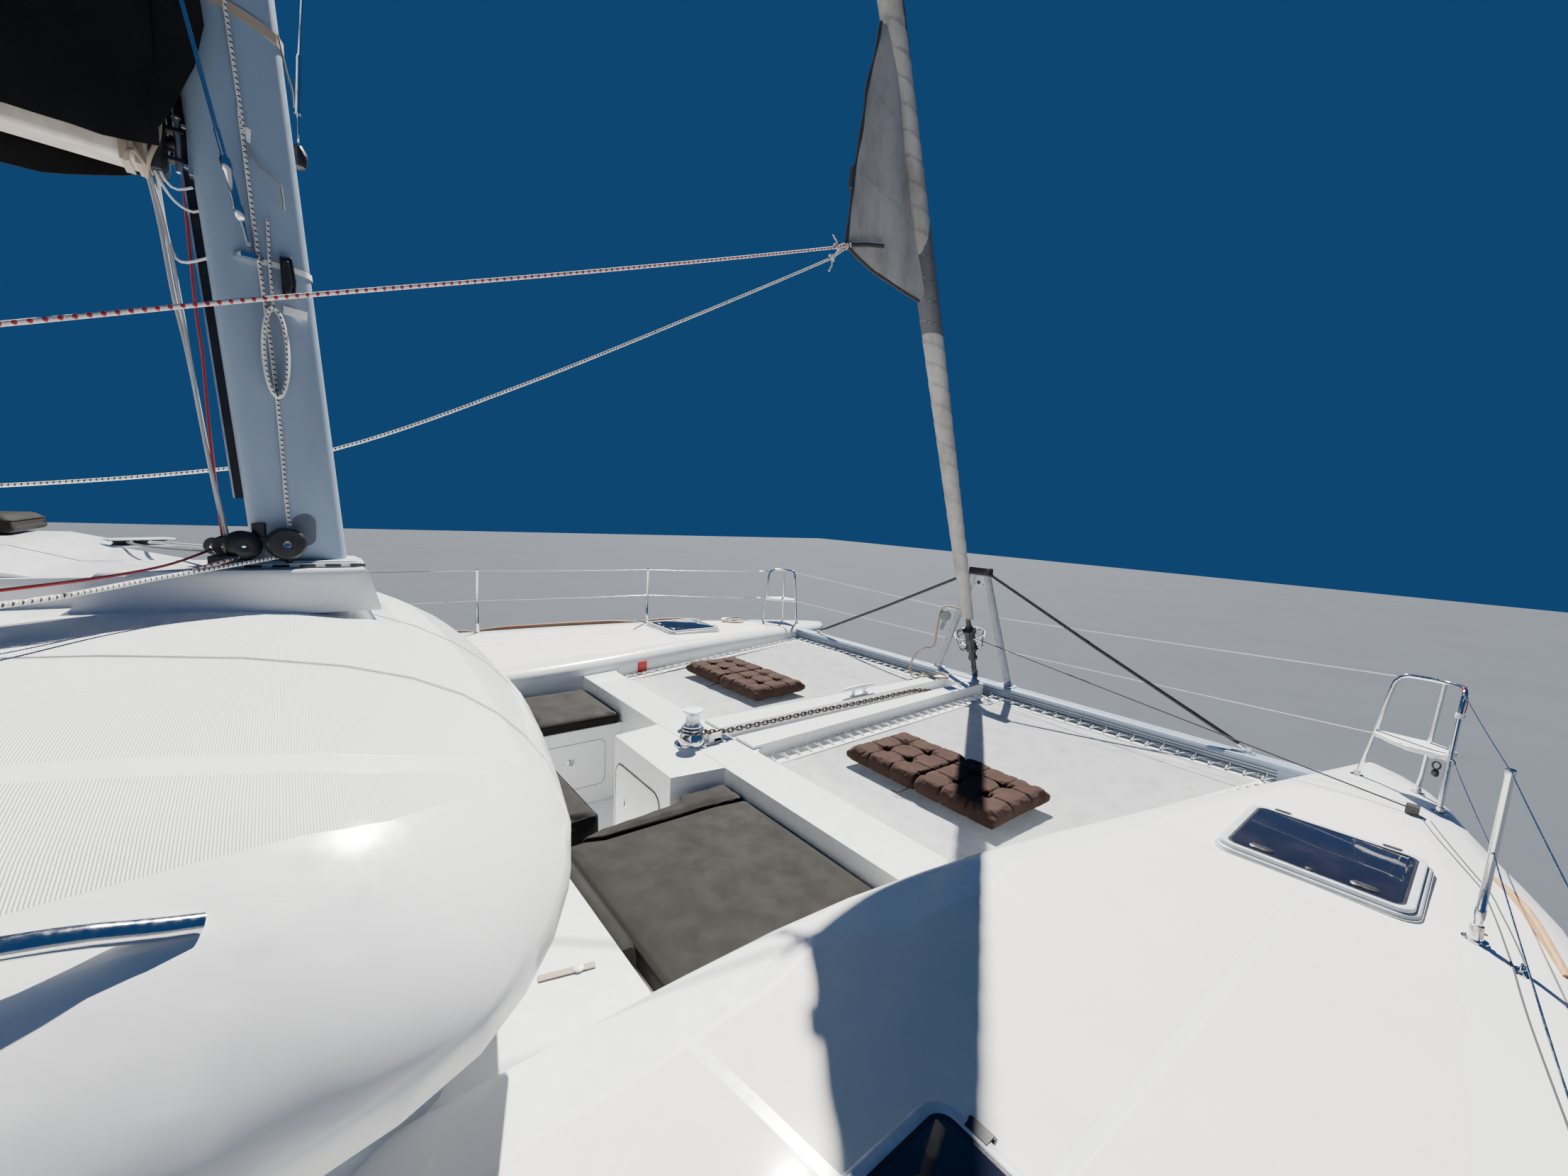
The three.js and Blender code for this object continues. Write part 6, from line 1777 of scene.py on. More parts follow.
def bow_lines():
    """Thin guard lines from the striker's legs to the pulpits."""
    lines = Shape()
    for s in (-1, 1):
        lines.tube([(s * 0.215, 6.43, 2.475), (s * 2.905, 6.528, 2.560)], 0.0030, 8)
        lines.tube([(s * 0.305, 6.43, 2.172), (s * 2.855, 6.525, 2.172)], 0.0030, 8)
    lines.piece("bow_guard_lines", CORD, slot="net")
    Shape().tube([(0.05, 6.40, 2.235), (3.10, 5.975, 1.925)], 0.0050, 8).piece("furling_line", BLACK_CORD,
        slot="net")


def windlass():
    """Anchor winch: oval polished foot, bowl, chain wheel and ribbed drum, with the chain stopper."""
    x, y, z = WINDLASS
    chrome = Shape().slab(rounded(0, 3.27, 0.186, 0.326, 0.09, steps=10), z + 0.0005, z + 0.010)
    bowl = [(0.090, 0.008), (0.089, 0.030), (0.080, 0.055), (0.072, 0.075), (0.070, 0.084)]
    collar = [(0.060, 0.100), (0.073, 0.101), (0.0745, 0.106), (0.070, 0.1115), (0.058, 0.112)]
    for profile in (bowl, collar):
        chrome.lathe((x, y, z), profile, sides=40)
    for dx, dy in ((-0.055, 3.345), (0.055, 3.345), (-0.07, 3.20), (0.07, 3.20), (0.0, 3.415)):
        chrome.lathe((dx, dy, z + 0.010), [(0.0075, 0), (0.0075, 0.004), (0.0055, 0.0065), (0.002, 0.0065)],
            sides=6)
    chrome.piece("windlass_foot", STEEL, slot="steel", replaces="windlass_base", bevel=0.0015)
    profile = [(0.040, 0.084), (0.066, 0.085), (0.068, 0.088), (0.052, 0.0925), (0.068, 0.097),
        (0.066, 0.100), (0.04, 0.101)]
    wheel = Shape().lathe((x, y, z), profile, sides=30)
    wheel.piece("chain_wheel", RUSTY, slot="steel")
    rows = [(0.050, 0.1175, 0), (0.062, 0.119, 0), (0.062, 0.126, 0), (0.052, 0.134, 0.4),
        (0.0475, 0.145, 1)]
    rows += [(0.0462, 0.172, 1), (0.0468, 0.198, 1), (0.053, 0.208, 0.5), (0.062, 0.217, 0),
        (0.0645, 0.223, 0)]
    rows += [(0.0635, 0.2295, 0), (0.045, 0.2300, 0)]
    rings = []
    for r, h, rib in rows:
        ring = []
        for t in angles(72):
            rr = r * (1 - 0.10 * rib * (0.5 + 0.5 * math.cos(9 * t)) ** 3)
            ring.append((x + rr * math.cos(t), y + rr * math.sin(t), z + h))
        rings.append(ring)
    drum = Shape().loft(rings)
    drum.lathe((x, y, z + 0.2295), [(0.014, 0), (0.016, 0.0008), (0.010, -0.004), (0.004, -0.004)], sides=6)
    drum.piece("windlass_drum_ribbed", ANODISED, "windlass_drum", slot="steel", replaces="windlass_drum")
    stop = Shape()
    for x0, x1 in ((0.022, 0.040), (0.066, 0.079)):
        stop.block((x0, 3.312, z + 0.010), (x1, 3.405, z + 0.068))
    stop.block((0.022, 3.345, z + 0.010), (0.079, 3.405, z + 0.035))
    stop.piece("chain_stopper", WHITE, slot="alloy", bevel=0.004)
    bar = Shape().rod((0.020, 3.35, z + 0.060), (0.081, 3.35, z + 0.060), 0.004, 10)
    ring = [(0.050 + 0.018 * math.cos(q), 3.425 + 0.018 * math.sin(q), z + 0.047) for q in angles(20)]
    bar.tube(ring, 0.005, 8, closed=True)
    bar.piece("stopper_pin", STEEL, slot="steel")
    profile = [(0.062, 0.0004), (0.062, 0.003), (0.056, 0.005), (0.050, 0.0052), (0.048, 0.0035),
        (0.010, 0.0035)]
    lid = Shape().lathe((-0.20, 3.30, z), profile, sides=36)
    lid.lathe((-0.20, 3.30, z), [(0.012, 0.003), (0.012, 0.0058), (0.004, 0.0058)], sides=12)
    lid.piece("deck_plate", STEEL, slot="steel")


def chain():
    """Anchor chain of plain links, round its wheel, through the stopper and along the channel."""
    straight, bend, wheel = 0.0108, 0.0140, 0.062
    link = [(math.copysign(straight, math.cos(t)) + bend * math.cos(t), bend * math.sin(t), 0)
        for t in angles(18)]
    pattern = Shape().tube(link, 0.0058, 8, closed=True)
    turns = [math.radians(a) for a in range(-200, 1, 15)]
    path = [(wheel * math.cos(t), WINDLASS.y + wheel * math.sin(t), 1.9125) for t in turns]
    path += [(0.060, 3.28, 1.908), (0.053, 3.34, 1.893), (0.051, 3.43, 1.878)]
    for k in range(1, 26):
        t = k / 25
        z = 1.876 - 0.050 * t if t < 0.9 else 1.831 - (t - 0.9) * 0.42
        path.append((0.052 * (1 - t) - 0.004 + 0.005 * math.sin(0.53 * k), 3.457 + 2.343 * t, z))
    lay = {"quarters": 1.0, "uneven": 0.18, "seed": 4, "sharp": 80, "replaces": "anchor_chain"}
    fittings("anchor_chain_links", [smooth_line(path, 0.02)], pattern, 0.0378, CHAIN, slot="chain", **lay)


def screws_round(shape, x, y, z, reach, count, start):
    """Small round screw heads about a foot."""
    for t in angles(count):
        at = (x + reach * math.cos(t + start), y + reach * math.sin(t + start), z)
        shape.lathe(at, [(0.0045, 0), (0.004, 0.0022), (0.002, 0.003)], sides=8)


def pulpits():
    """Bow pulpits with their seats, and the small lines and shackles made fast to them."""
    tube, seat, feet = Shape(), Shape(), Shape()
    loop = [(2.810, 6.525, 1.863), (2.85, 6.527, 2.15), (2.895, 6.530, 2.47), (2.912, 6.531, 2.535)]
    loop += [(2.945, 6.533, 2.570), (3.0, 6.528, 2.575), (3.070, 6.520, 2.575), (3.130, 6.492, 2.575)]
    loop += [(3.172, 6.44, 2.575), (3.190, 6.395, 2.570), (3.197, 6.345, 2.548), (3.195, 6.315, 2.50)]
    loop += [(3.192, 6.28, 2.25), (3.190, 6.231, 1.885)]
    tube.rope(loop, 0.02, 0.0127, 16)
    tube.rod((3.083, 6.505, 1.868), (3.110, 6.512, 2.572), 0.0127, 16)
    for x, y in ((2.810, 6.525), (3.083, 6.505), (3.190, 6.231)):
        z = on_deck(x, y)
        feet.lathe((x, y, z), [(0.034, 0.0), (0.034, 0.005), (0.020, 0.008), (0.0175, 0.030),
            (0.0145, 0.032)], sides=24)
        screws_round(feet, x, y, z + 0.005, 0.026, 3, 0.5)
    outline = [(2.850, 6.500), (2.874, 6.541), (2.900, 6.555), (3.11, 6.540), (3.165, 6.49)]
    outline += [(3.200, 6.40), (3.203, 6.29), (3.193, 6.268), (3.020, 6.290), (2.93, 6.38)]
    seat.slab(outline, 2.166, 2.194)
    seat.pair("pulpit_seat", WHITE, slot="gelcoat", bevel=0.006, segments=3)
    for x0, y0, x1, y1 in ((2.857, 6.527, 3.095, 6.508), (3.098, 6.505, 3.192, 6.275)):
        tube.rod((x0, y0, 2.160), (x1, y1, 2.160), 0.008, 12)
    tube.pair("pulpit_tubes", STEEL, "pulpit", slot="steel")
    feet.pair("pulpit_feet", RUSTY, slot="steel")
    loop = [(3.192, 6.36, 2.588), (3.204, 6.352, 2.55), (3.197, 6.33, 2.545), (3.185, 6.345, 2.57),
        (3.197, 6.37, 2.592)]
    red = Shape().rope(loop, 0.006, 0.0032, 6)
    red.rope([(3.205, 6.34, 2.55), (3.212, 6.338, 2.49), (3.208, 6.336, 2.43)], 0.01, 0.0032, 6)
    red.piece("red_cord_on_pulpit", RED_ROPE, slot="net")
    black = Shape()
    shackle = [(3.145 + 0.016 * math.cos(q), 6.29, 2.12 + 0.022 * math.sin(q)) for q in angles(18)]
    black.tube(shackle, 0.005, 8, closed=True)
    black.lathe((3.145, 6.29, 2.075), [(0.010, -0.02), (0.016, -0.012), (0.016, 0.012), (0.010, 0.02)],
        sides=14)
    deck = deck_z(5.98)
    black.block((3.070, 5.945, deck + 0.001), (3.125, 6.01, deck + 0.045))
    black.piece("pulpit_blocks", BLACK, slot="black", bevel=0.003)
    ties = Shape()
    for z, x, y in ((2.20, 3.194, 6.285), (2.42, 3.196, 6.305), (2.14, 3.085, 6.508)):
        for k in range(4):
            turn = [(x + 0.0165 * math.cos(q), y + 0.0165 * math.sin(q), z + 0.007 * k) for q in angles(14)]
            ties.tube(turn, 0.0034, 6, closed=True)
    ties.rope([(3.18, 6.27, 2.20), (3.12, 6.29, 2.158), (3.09, 6.45, 2.155), (3.085, 6.50, 2.158)], 0.02,
        0.0034, 6)
    ties.piece("pulpit_cord_ties", CORD, slot="net")


def guardrails():
    """Stanchions in rusty sockets, with their wires and end fittings."""
    posts, feet, wires = Shape(), Shape(), Shape()
    ends, mids = [Vector((3.200, 6.295, 2.548))], [Vector((3.203, 6.262, 2.180))]
    for y in (4.57, 2.71, 0.85, -1.00, -2.85, -4.70):
        x = outer_x(y) - 0.325
        z = on_deck(x, y)
        top = deck_z(y) - 0.025 + STANCHION
        profile = [(0.0125, z + 0.004), (0.0125, z + 0.085), (0.0152, z + 0.087), (0.0152, z + 0.125),
            (0.0125, z + 0.13)]
        profile += [(0.0125, top - 0.030), (0.0145, top - 0.026), (0.0145, top - 0.006),
            (0.010, top - 0.001), (0.004, top)]
        posts.lathe((x, y, 0), profile, sides=20)
        feet.lathe((x, y, z), [(0.036, 0.0), (0.036, 0.006), (0.022, 0.010), (0.0185, 0.060),
            (0.015, 0.062)], sides=24)
        feet.rod((x + 0.018, y, z + 0.035), (x + 0.028, y, z + 0.035), 0.004, 8)
        screws_round(feet, x, y, z + 0.006, 0.029, 4, 0.6)
        for line, height in ((ends, top - 0.012), (mids, z + 0.345)):
            line.append(Vector((x, y, height)))
            posts.lathe((x, y - 0.022, height), [(0.004, 0), (0.006, 0.002), (0.006, 0.042), (0.004, 0.044)],
                (0, 1, 0), 10)
    end_fitting = [(0.004, 0.0), (0.0075, 0.01), (0.0075, 0.075), (0.0045, 0.085), (0.0045, 0.14),
        (0.003, 0.145)]
    for line in (ends, mids):
        for a, b in zip(line, line[1:]):
            wires.tube(sagging(a, b, 0.006, 10), 0.0027, 8)
        wires.lathe(line[0], end_fitting, (line[1] - line[0]).normalized(), 12)
        wires.tube(sagging(line[-1], line[-1] + Vector((0.0, -0.12, -0.02)), 0.0, 4), 0.004, 8)
    posts.pair("stanchions", STEEL, "guardrail", slot="steel")
    feet.pair("stanchion_sockets", RUSTY, slot="steel")
    wires.pair("guard_wires", STEEL, slot="steel")


def hatch(kind, side, at):
    """Deck hatch: a grey rounded frame on the deck, and a lid of tinted acrylic with two handles."""
    lid_body = f"{kind}_{side}"
    low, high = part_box(lid_body)
    z0, z1 = low.z, high.z
    place = Matrix.Translation(at)

    def squares(*rows):
        """Rings of rounded squares, from rows of width, corner radius and height."""
        return [[place @ Vector((x, y, z)) for x, y in rounded(0, 0, w, w, r, steps=8)] for w, r, z in rows]

    rows = (0.672, 0.078, z0 - 0.0045), (0.668, 0.076, z0 + 0.004), (0.652, 0.068, z0 + 0.009)
    rows += (0.643, 0.064, z0 + 0.009), (0.643, 0.064, z0 - 0.003)
    Shape().loft(squares(*rows), caps=False).piece(f"{kind}_frame_{side}", FRAME_GREY, slot="alloy",
        sharp=50)
    rows = (0.560, 0.034, z0 + 0.002), (0.634, 0.060, z0 + 0.002), (0.639, 0.062, z0 + 0.012), (0.632, 0.060,
        z1 - 0.001)
    rows += (0.610, 0.052, z1), (0.585, 0.044, z1 - 0.0015), (0.575, 0.040, z1 - 0.004)
    lid = Shape().loft(squares(*rows), caps=False)
    lid.piece(f"{kind}_lid_frame_{side}", FRAME_GREY, lid_body, slot="alloy", replaces=lid_body, sharp=50)
    rows = (0.586, 0.045, z1 - 0.0045), (0.584, 0.044, z1 - 0.0018), (0.562, 0.035, z1 - 0.0014), (0.560,
        0.034, z1 - 0.004)
    seal = Shape().loft(squares(*rows), caps=False)
    seal.piece(f"{kind}_seal_{side}", BLACK, lid_body, slot="black", sharp=50)
    pane = Shape().loft(squares((0.566, 0.036, z0 + 0.003), (0.566, 0.036, z1 - 0.003),
        (0.560, 0.034, z1 - 0.0019)))
    pane.piece(f"{kind}_pane_{side}", ACRYLIC, lid_body, slot="tinted")
    grip, hinge = Shape(), Shape()
    for dx in (-0.17, 0.17):
        rings = []
        for w, z in ((0.088, z1 - 0.003), (0.090, z1 + 0.0004), (0.078, z1 + 0.0035), (0.055, z1 + 0.0045)):
            outline = rounded(dx, -0.235, w, w * 0.52, w * 0.25, steps=6)
            rings.append([place @ Vector((x, y, z)) for x, y in outline])
        grip.loft(rings)
    grip.lathe(place @ Vector((0, -0.262, z1 - 0.004)), [(0.014, 0.0), (0.014, 0.004), (0.008, 0.006)],
        sides=16)
    grip.piece(f"{kind}_handles_{side}", BLACK, lid_body, slot="black", sharp=50)
    for dx in (-0.2, 0.2):
        ends = [place @ Vector((dx + reach, 0.330, z1 - 0.008)) for reach in (-0.035, 0.035)]
        hinge.rod(*ends, 0.008, 14)
        hinge.block((dx - 0.03, 0.300, z1 - 0.006), (dx + 0.03, 0.335, z1 + 0.001), place)
    hinge.piece(f"{kind}_hinges_{side}", BLACK, slot="black", bevel=0.0015)


def hatches():
    for kind, cx, cy in (("hatch_fore", 2.890, 4.805), ("hatch_mid", 2.870, 2.075)):
        for side, s in SIDES:
            hatch(kind, side, (cx * s, cy, 0))


def shrouds():
    """Cap shrouds, their chainplates and turnbuckles."""
    steel = Shape()
    foot, head = Vector((3.835, -0.560, 1.945)), Vector((0.118, mast_y(HOUNDS) - 0.06, HOUNDS))
    way = (SPREADER_TIP - foot).normalized()
    screw_fitting(steel, foot + way * 0.04, foot + way * 0.42, 0.019)
    steel.rod(foot + way * 0.40, SPREADER_TIP, 0.0065, 10)
    steel.rod(SPREADER_TIP, head, 0.0065, 10)
    z = on_deck(3.835, -0.56)
    steel.block((3.828, -0.585, z - 0.01), (3.842, -0.535, 1.99))
    steel.slab(rounded(3.835, -0.56, 0.05, 0.13, 0.02), z, z + 0.006)
    steel.pair("cap_shroud", STEEL, "shroud", slot="steel")


def roof_rails():
    """Handrails along the coachroof, growing out of its shoulder in front."""
    rows = [(2.087, 1.105, 2.697), (2.094, 1.070, 2.709), (2.098, 1.027, 2.723), (2.108, 0.966, 2.744)]
    rows += [(2.117, 0.860, 2.760), (2.142, 0.600, 2.766), (2.195, -0.200, 2.766), (2.222, -1.200, 2.766)]
    rows += [(2.230, -2.25, 2.766), (2.231, -2.36, 2.755), (2.231, -2.425, 2.710)]
    rail = Shape().rope(rows, 0.03, 0.0165, 18)
    tree = surface_of("cabin_roof")
    for x, y, z in rows[4:8]:
        rail.rod((x, y, 2.68), (x, y, z), 0.011, 14)
        spot = dropped(tree, x, y)
        if spot:
            rail.lathe(spot, [(0.028, -0.004), (0.028, 0.004), (0.016, 0.010), (0.012, 0.022)], sides=20)
    rail.pair("roof_handrail", STEEL, "roof_rail", slot="steel")


def hit_from(tree, start, way):
    """Where a ray meets a surface, and the surface's direction there."""
    return tree.ray_cast(Vector(start), Vector(way).normalized())[:2]


def horn_cleat(shape, at, turn=0.0, size=1.0):
    """Cleat with two feet and two horns, lying along y before it is turned."""
    place = Matrix.Translation(at) @ Matrix.Rotation(turn, 4, "Z") @ Matrix.Scale(size, 4)
    line = [(0, y, 0.046 - 0.10 * y * y) for y in (-0.13, -0.09, -0.04, 0.0, 0.04, 0.09, 0.13)]
    widths = [0.007, 0.011, 0.013, 0.0135, 0.013, 0.011, 0.007]
    shape.tube([place @ Vector(p) for p in line], 0.012, 12, widths=[w * size for w in widths])
    for y in (-0.042, 0.042):
        line = [place @ Vector(p) for p in ((0, y * 1.25, 0.001), (0, y * 1.1, 0.012), (0, y, 0.042))]
        shape.tube(line, 0.01, 12, widths=[w * size for w in (0.020, 0.011, 0.010)])
    shape.slab([(0.021 * math.cos(q), 0.075 * math.sin(q)) for q in angles(24)], 0.0, 0.005, place)


def toe_rails():
    """Wooden toe rails with lowered ends; the port one gets a darker copy of the teak as painted shade."""
    wood = Shape()
    spans = [(5.36, 4.60), (4.50, 2.74), (2.68, 0.88), (0.82, -0.47), (-0.65, -0.97), (-1.03, -2.82),
        (-2.88, -4.67)]
    for y0, y1 in spans:
        n = max(2, round((y0 - y1) / 0.15))
        rings = []
        for k in range(n + 1):
            y = y0 + (y1 - y0) * k / n
            inset = 0.105 if y < 4.6 else 0.105 + 0.045 * (y - 4.6) / 0.76
            x = outer_x(y) - inset
            z = on_deck(x, y) - 0.002
            tall = 0.034 * min(1.0, 0.35 + 2.2 * min(k, n - k) / n * (y0 - y1))
            section = [(-0.013, 0), (0.013, 0), (0.010, tall), (0.004, tall + 0.003)]
            section += [(-0.004, tall + 0.003), (-0.010, tall)]
            rings.append([(x + dx, y, z + dz) for dx, dz in section])
        wood.loft(rings)
    wood.piece("toe_rail_starboard", TEAK, slot="gelcoat")
    # The port rail takes the darker teak: painted shade.
    wood.mirrored().piece("toe_rail_port", TEAK_IN_PAINTED_SHADE, slot="gelcoat")


def deck_fittings():
    """Cleats, padeyes, plates and thin lines on the side decks."""
    steel, lines = Shape(), Shape()
    x, y = 3.472, 4.462
    z = on_deck(x, y)
    steel.slab(rounded(x, y, 0.035, 0.065, 0.015), z, z + 0.004)
    half_turn = [math.pi * k / 12 for k in range(13)]
    steel.tube([(x, y + 0.017 * math.cos(q), z + 0.004 + 0.026 * math.sin(q)) for q in half_turn], 0.004, 8)
    ring = [(x + 0.010 * math.cos(q), y + 0.016 * math.sin(q), z + 0.012 + 0.014 * math.cos(q))
        for q in angles(18)]
    steel.tube(ring, 0.0035, 8, closed=True)
    steel.doubled().piece("padeyes", STEEL, slot="steel")
    for inset in (0.215, 0.245):
        line = []
        for k in range(40):
            y = 5.95 - 0.165 * k
            if abs(y - 4.57) < 3.2:
                x = outer_x(y) - inset + 0.006 * math.sin(k * 0.7 + inset * 40)
                line.append((x, y, on_deck(x, y) + 0.0032))
        lines.rope(line, 0.06, 0.003, 6)
    lines.pair("deck_lines", BLACK_CORD, slot="net")
    cleats = Shape()
    for s, x, y in ((-1, 3.09, 5.62), (1, 3.62, 0.55), (-1, 3.62, 0.55), (1, 3.60, -5.05),
        (-1, 3.60, -5.05)):
        tree = DECK_TREES["starboard" if s > 0 else "port"]
        horn_cleat(cleats, dropped(tree, s * x, y), 0.10 * s)
    cleats.piece("deck_cleats", STEEL, slot="steel")
    white = Shape()
    horn_cleat(white, (-0.150, 4.965, 1.8402), 0.0, 1.5)
    white.piece("centre_beam_cleat", WHITE, slot="alloy")
    wall, normal = hit_from(DECK_TREES["port"], (-0.9, 3.83, 1.785), (-1, 0, 0))
    place = Matrix.Translation(wall) @ normal.to_track_quat("Z", "Y").to_matrix().to_4x4()
    plate = Shape().block((-0.055, -0.068, 0.0), (0.055, 0.068, 0.006), place)
    plate.piece("red_plate", RED, slot="gelcoat", bevel=0.002)
    # Beige strap over the inner edge beside the roof
    line = [Vector(p) for p in ((1.529, 1.771, 1.887), (1.545, 1.83, 1.888), (1.560, 1.887, 1.888),
        (1.572, 1.936, 1.887))]
    rings, lift = [], Vector((0, 0, 0.003))
    for p, q in zip(line, line[1:] + [line[-1] * 2 - line[-2]]):
        across = (q - p).normalized().cross(Vector((0, 0, 1))) * 0.013
        rings.append([p - across, p + across, p + across + lift, p - across + lift])
    Shape().loft(rings).piece("beige_strap", BEIGE_ROPE, slot="net")
    dot = Shape().lathe((1.560, 1.887, 1.889), [(0.017, 0.0), (0.017, 0.004), (0.012, 0.007),
        (0.004, 0.007)], sides=20)
    dot.piece("strap_fitting", WHITE, slot="gelcoat")


def cleat_rope():
    """Mooring rope kept in a flat coil on the port bow."""
    radius, line = 0.0085, []
    for k in range(150):
        t = k / 149 * 3.6 * math.tau
        rad = 0.085 + 0.0205 * t / math.tau
        x, y = -3.105 + rad * 0.95 * math.cos(t), 5.67 + rad * math.sin(t)
        line.append(Vector((x, y, dropped(DECK_TREES["port"], x, y).z + radius + 0.0005)))
    laid_rope("mooring_rope_port", smooth_line(line, 0.012), radius, BEIGE_ROPE, 10)


def well_details():
    """Panels, latches and plates round the forward cockpit."""
    face = facing_y(2.8598)
    groove, screws = Shape(), Shape()
    panel = lambda w, h, r: rounded(-0.045, 1.40, w, h, r, steps=8)
    lid = Shape().slab(panel(0.600, 0.500, 0.075), -0.0045, 0.0, face)
    lid.piece("access_panel", GELCOAT, slot="gelcoat", bevel=0.002)
    groove.tube([face @ Vector((x, z, -0.002)) for x, z in panel(0.612, 0.512, 0.08)], 0.0042, 8,
        closed=True)
    groove.piece("access_panel_gasket", moulded("gasket_grey", (0.10, 0.10, 0.10), 0.6), slot="black")
    spots = [(-0.315 + 0.135 * k, 1.630) for k in range(5)]
    spots += [(x, 1.56 - 0.13 * k) for x in (-0.325, 0.235) for k in range(4)]
    for x, z in spots:
        screws.lathe((x, 2.8553, z), [(0.008, 0.0), (0.008, -0.0015), (0.005, -0.003), (0.002, -0.003)],
            (0, 1, 0), 14)
    latch = [(0.030, 0.0), (0.030, -0.003), (0.024, -0.006), (0.020, -0.003), (0.006, -0.003)]
    screws.lathe((-0.20, 2.8553, 1.42), latch, (0, 1, 0), 28)
    latch = [(0.028, 0.0), (0.028, 0.003), (0.022, 0.006), (0.019, 0.003), (0.005, 0.003)]
    screws.lathe((-1.0095, 2.795, 1.413), latch, (1, 0, 0), 28)
    screws.slab(rounded(0.030, 3.445, 0.085, 0.10, 0.012), RIM_TOP + 0.0004, RIM_TOP + 0.005)
    screws.piece("panel_screws_and_latches", STEEL, slot="steel")
    side = Matrix.Translation((-1.0097, 0, 0)) @ FACING_X
    line = [side @ Vector((y, z, 0.001)) for y, z in rounded(2.80, 1.37, 0.52, 0.36, 0.05)]
    bench = Shape().tube(line, 0.003, 8, closed=True)
    bench.piece("bench_panel_gasket", moulded("gasket_pale", (0.28, 0.28, 0.27), 0.6), slot="black")
    front = Shape().tube([(x, 3.205, 1.8215) for x in (-0.43, 0.43)], 0.0012, 6)
    front.piece("platform_seam", moulded("seam_grey", (0.35, 0.36, 0.37), 0.5), slot="gelcoat")


def roof_lines():
    """Ropes led aft over the coachroof from the mast's foot, the organiser and the clutches."""
    fleck = [(0.150, 1.19, 3.075), (0.55, 0.895, 3.045), (0.95, 0.665, 3.030), (1.20, 0.25, 3.020),
        (1.235, -0.36, 3.035)]
    braid = [(0.12, 1.08, 3.075), (0.50, 0.875, 3.035), (0.86, 0.650, 3.022), (1.12, 0.22, 3.018),
        (1.175, -0.36, 3.035)]
    red = [(0.02, 1.0, 3.10), (0.38, 0.87, 3.06), (0.78, 0.64, 3.048), (1.05, 0.20, 3.025),
        (1.115, -0.36, 3.035)]
    grey = [(-0.02, 0.99, 3.10), (-0.6, 0.79, 3.072), (-1.22, 0.66, 3.030)]
    pale = white_cord("roof_grey_rope", (0.33, 0.33, 0.33))
    for name, material, radius, sides, points in (
        ("black_fleck", BLACK_FLECK, 0.0072, 10, fleck),
        ("red_fleck", RED_FLECK, 0.0066, 10, braid),
        ("red", RED_ROPE, 0.0048, 8, red),
        ("grey", pale, 0.0065, 8, grey),
    ):
        Shape().rope(points, 0.05, radius, sides).piece("roof_rope_" + name, material, slot="net")
    dark = Shape().rope([(-0.03, 0.98, 3.08), (-0.6, 0.74, 3.055), (-1.24, 0.58, 3.026)], 0.05, 0.005, 8)
    dark.rope([(-1.42, 0.55, 3.026), (-1.62, 0.20, 3.022), (-1.55, -0.38, 3.19)], 0.05, 0.005, 8)
    dark.piece("roof_rope_black", BLACK_CORD, slot="net")
    turn = Matrix.Translation((-1.33, 0.615, 3.0005)) @ Matrix.Rotation(0.62, 4, "Z")
    plate = rounded(0, 0, 0.10, 0.26, 0.02)
    base = Shape().slab(plate, 0.0, 0.008, turn).slab(plate, 0.036, 0.042, turn)
    base.piece("rope_organiser", FRAME_GREY, slot="alloy", bevel=0.0015)
    wheels = Shape()
    for k in (-1, 0, 1):
        profile = [(0.034, 0.001), (0.035, 0.004), (0.026, 0.013), (0.035, 0.023), (0.034, 0.027)]
        wheels.lathe(turn @ Vector((0, 0.08 * k, 0.008)), profile, sides=24)
    wheels.piece("organiser_wheels", BLACK, slot="black")
    shelf = Shape().block((1.07, -0.4295, 2.985), (1.28, -0.335, 3.012))
    shelf.piece("clutch_shelf", GELCOAT, slot="gelcoat", bevel=0.006)
    clutch = Shape()
    side = [(-0.425, 3.013), (-0.340, 3.013), (-0.340, 3.040), (-0.370, 3.058), (-0.415, 3.060),
        (-0.425, 3.045)]
    for x in (1.115, 1.175, 1.235):
        clutch.slab(side, x - 0.022, x + 0.022, FACING_X)
    clutch.piece("rope_clutches", BLACK, slot="black", bevel=0.003)
    for name, x, z in (("starboard", 0.335, 3.42), ("port", -0.97, 3.195)):
        block = Shape()
        cheek_block(block, (x, -0.416, z - 0.01), 0.034, 0.014, (0, 1, 0))
        block.piece(f"sheet_block_{name}", BLACK, slot="black")


def hull_windows(side, s):
    """Long dark windows that follow the hull's side, each with a thin trim."""
    tree = DECK_TREES[side]
    glass, trim = Shape(), Shape()
    z_middle = 1.28

    def on_side(y, z, lift):
        spot, _ = hit_from(tree, (s * 6, y, z), (-s, 0, 0))
        return spot + Vector((s * lift, 0, 0))

    for y0, y1 in ((-3.4, -1.5), (-0.9, 1.6), (3.2, 4.1)):
        middle = (y0 + y1) / 2
        outline = rounded(middle, z_middle, y1 - y0, 0.24, 0.09, steps=5)
        rings = []
        for share, lift in ((1.0, -0.004), (1.0, 0.003), (0.985, 0.0045), (0.7, 0.0048), (0.35, 0.0048)):
            drawn = [(middle + (y - middle) * share, z_middle + (z - z_middle) * share) for y, z in outline]
            rings.append([on_side(y, z, lift) for y, z in drawn])
        glass.loft(rings)
        trim.tube([on_side(y, z, 0.0) for y, z in outline], 0.006, 8, closed=True)
    glass.piece(f"hull_windows_{side}", ACRYLIC, slot="tinted", sharp=50)
    trim.piece(f"hull_window_trim_{side}", BLACK, slot="black")


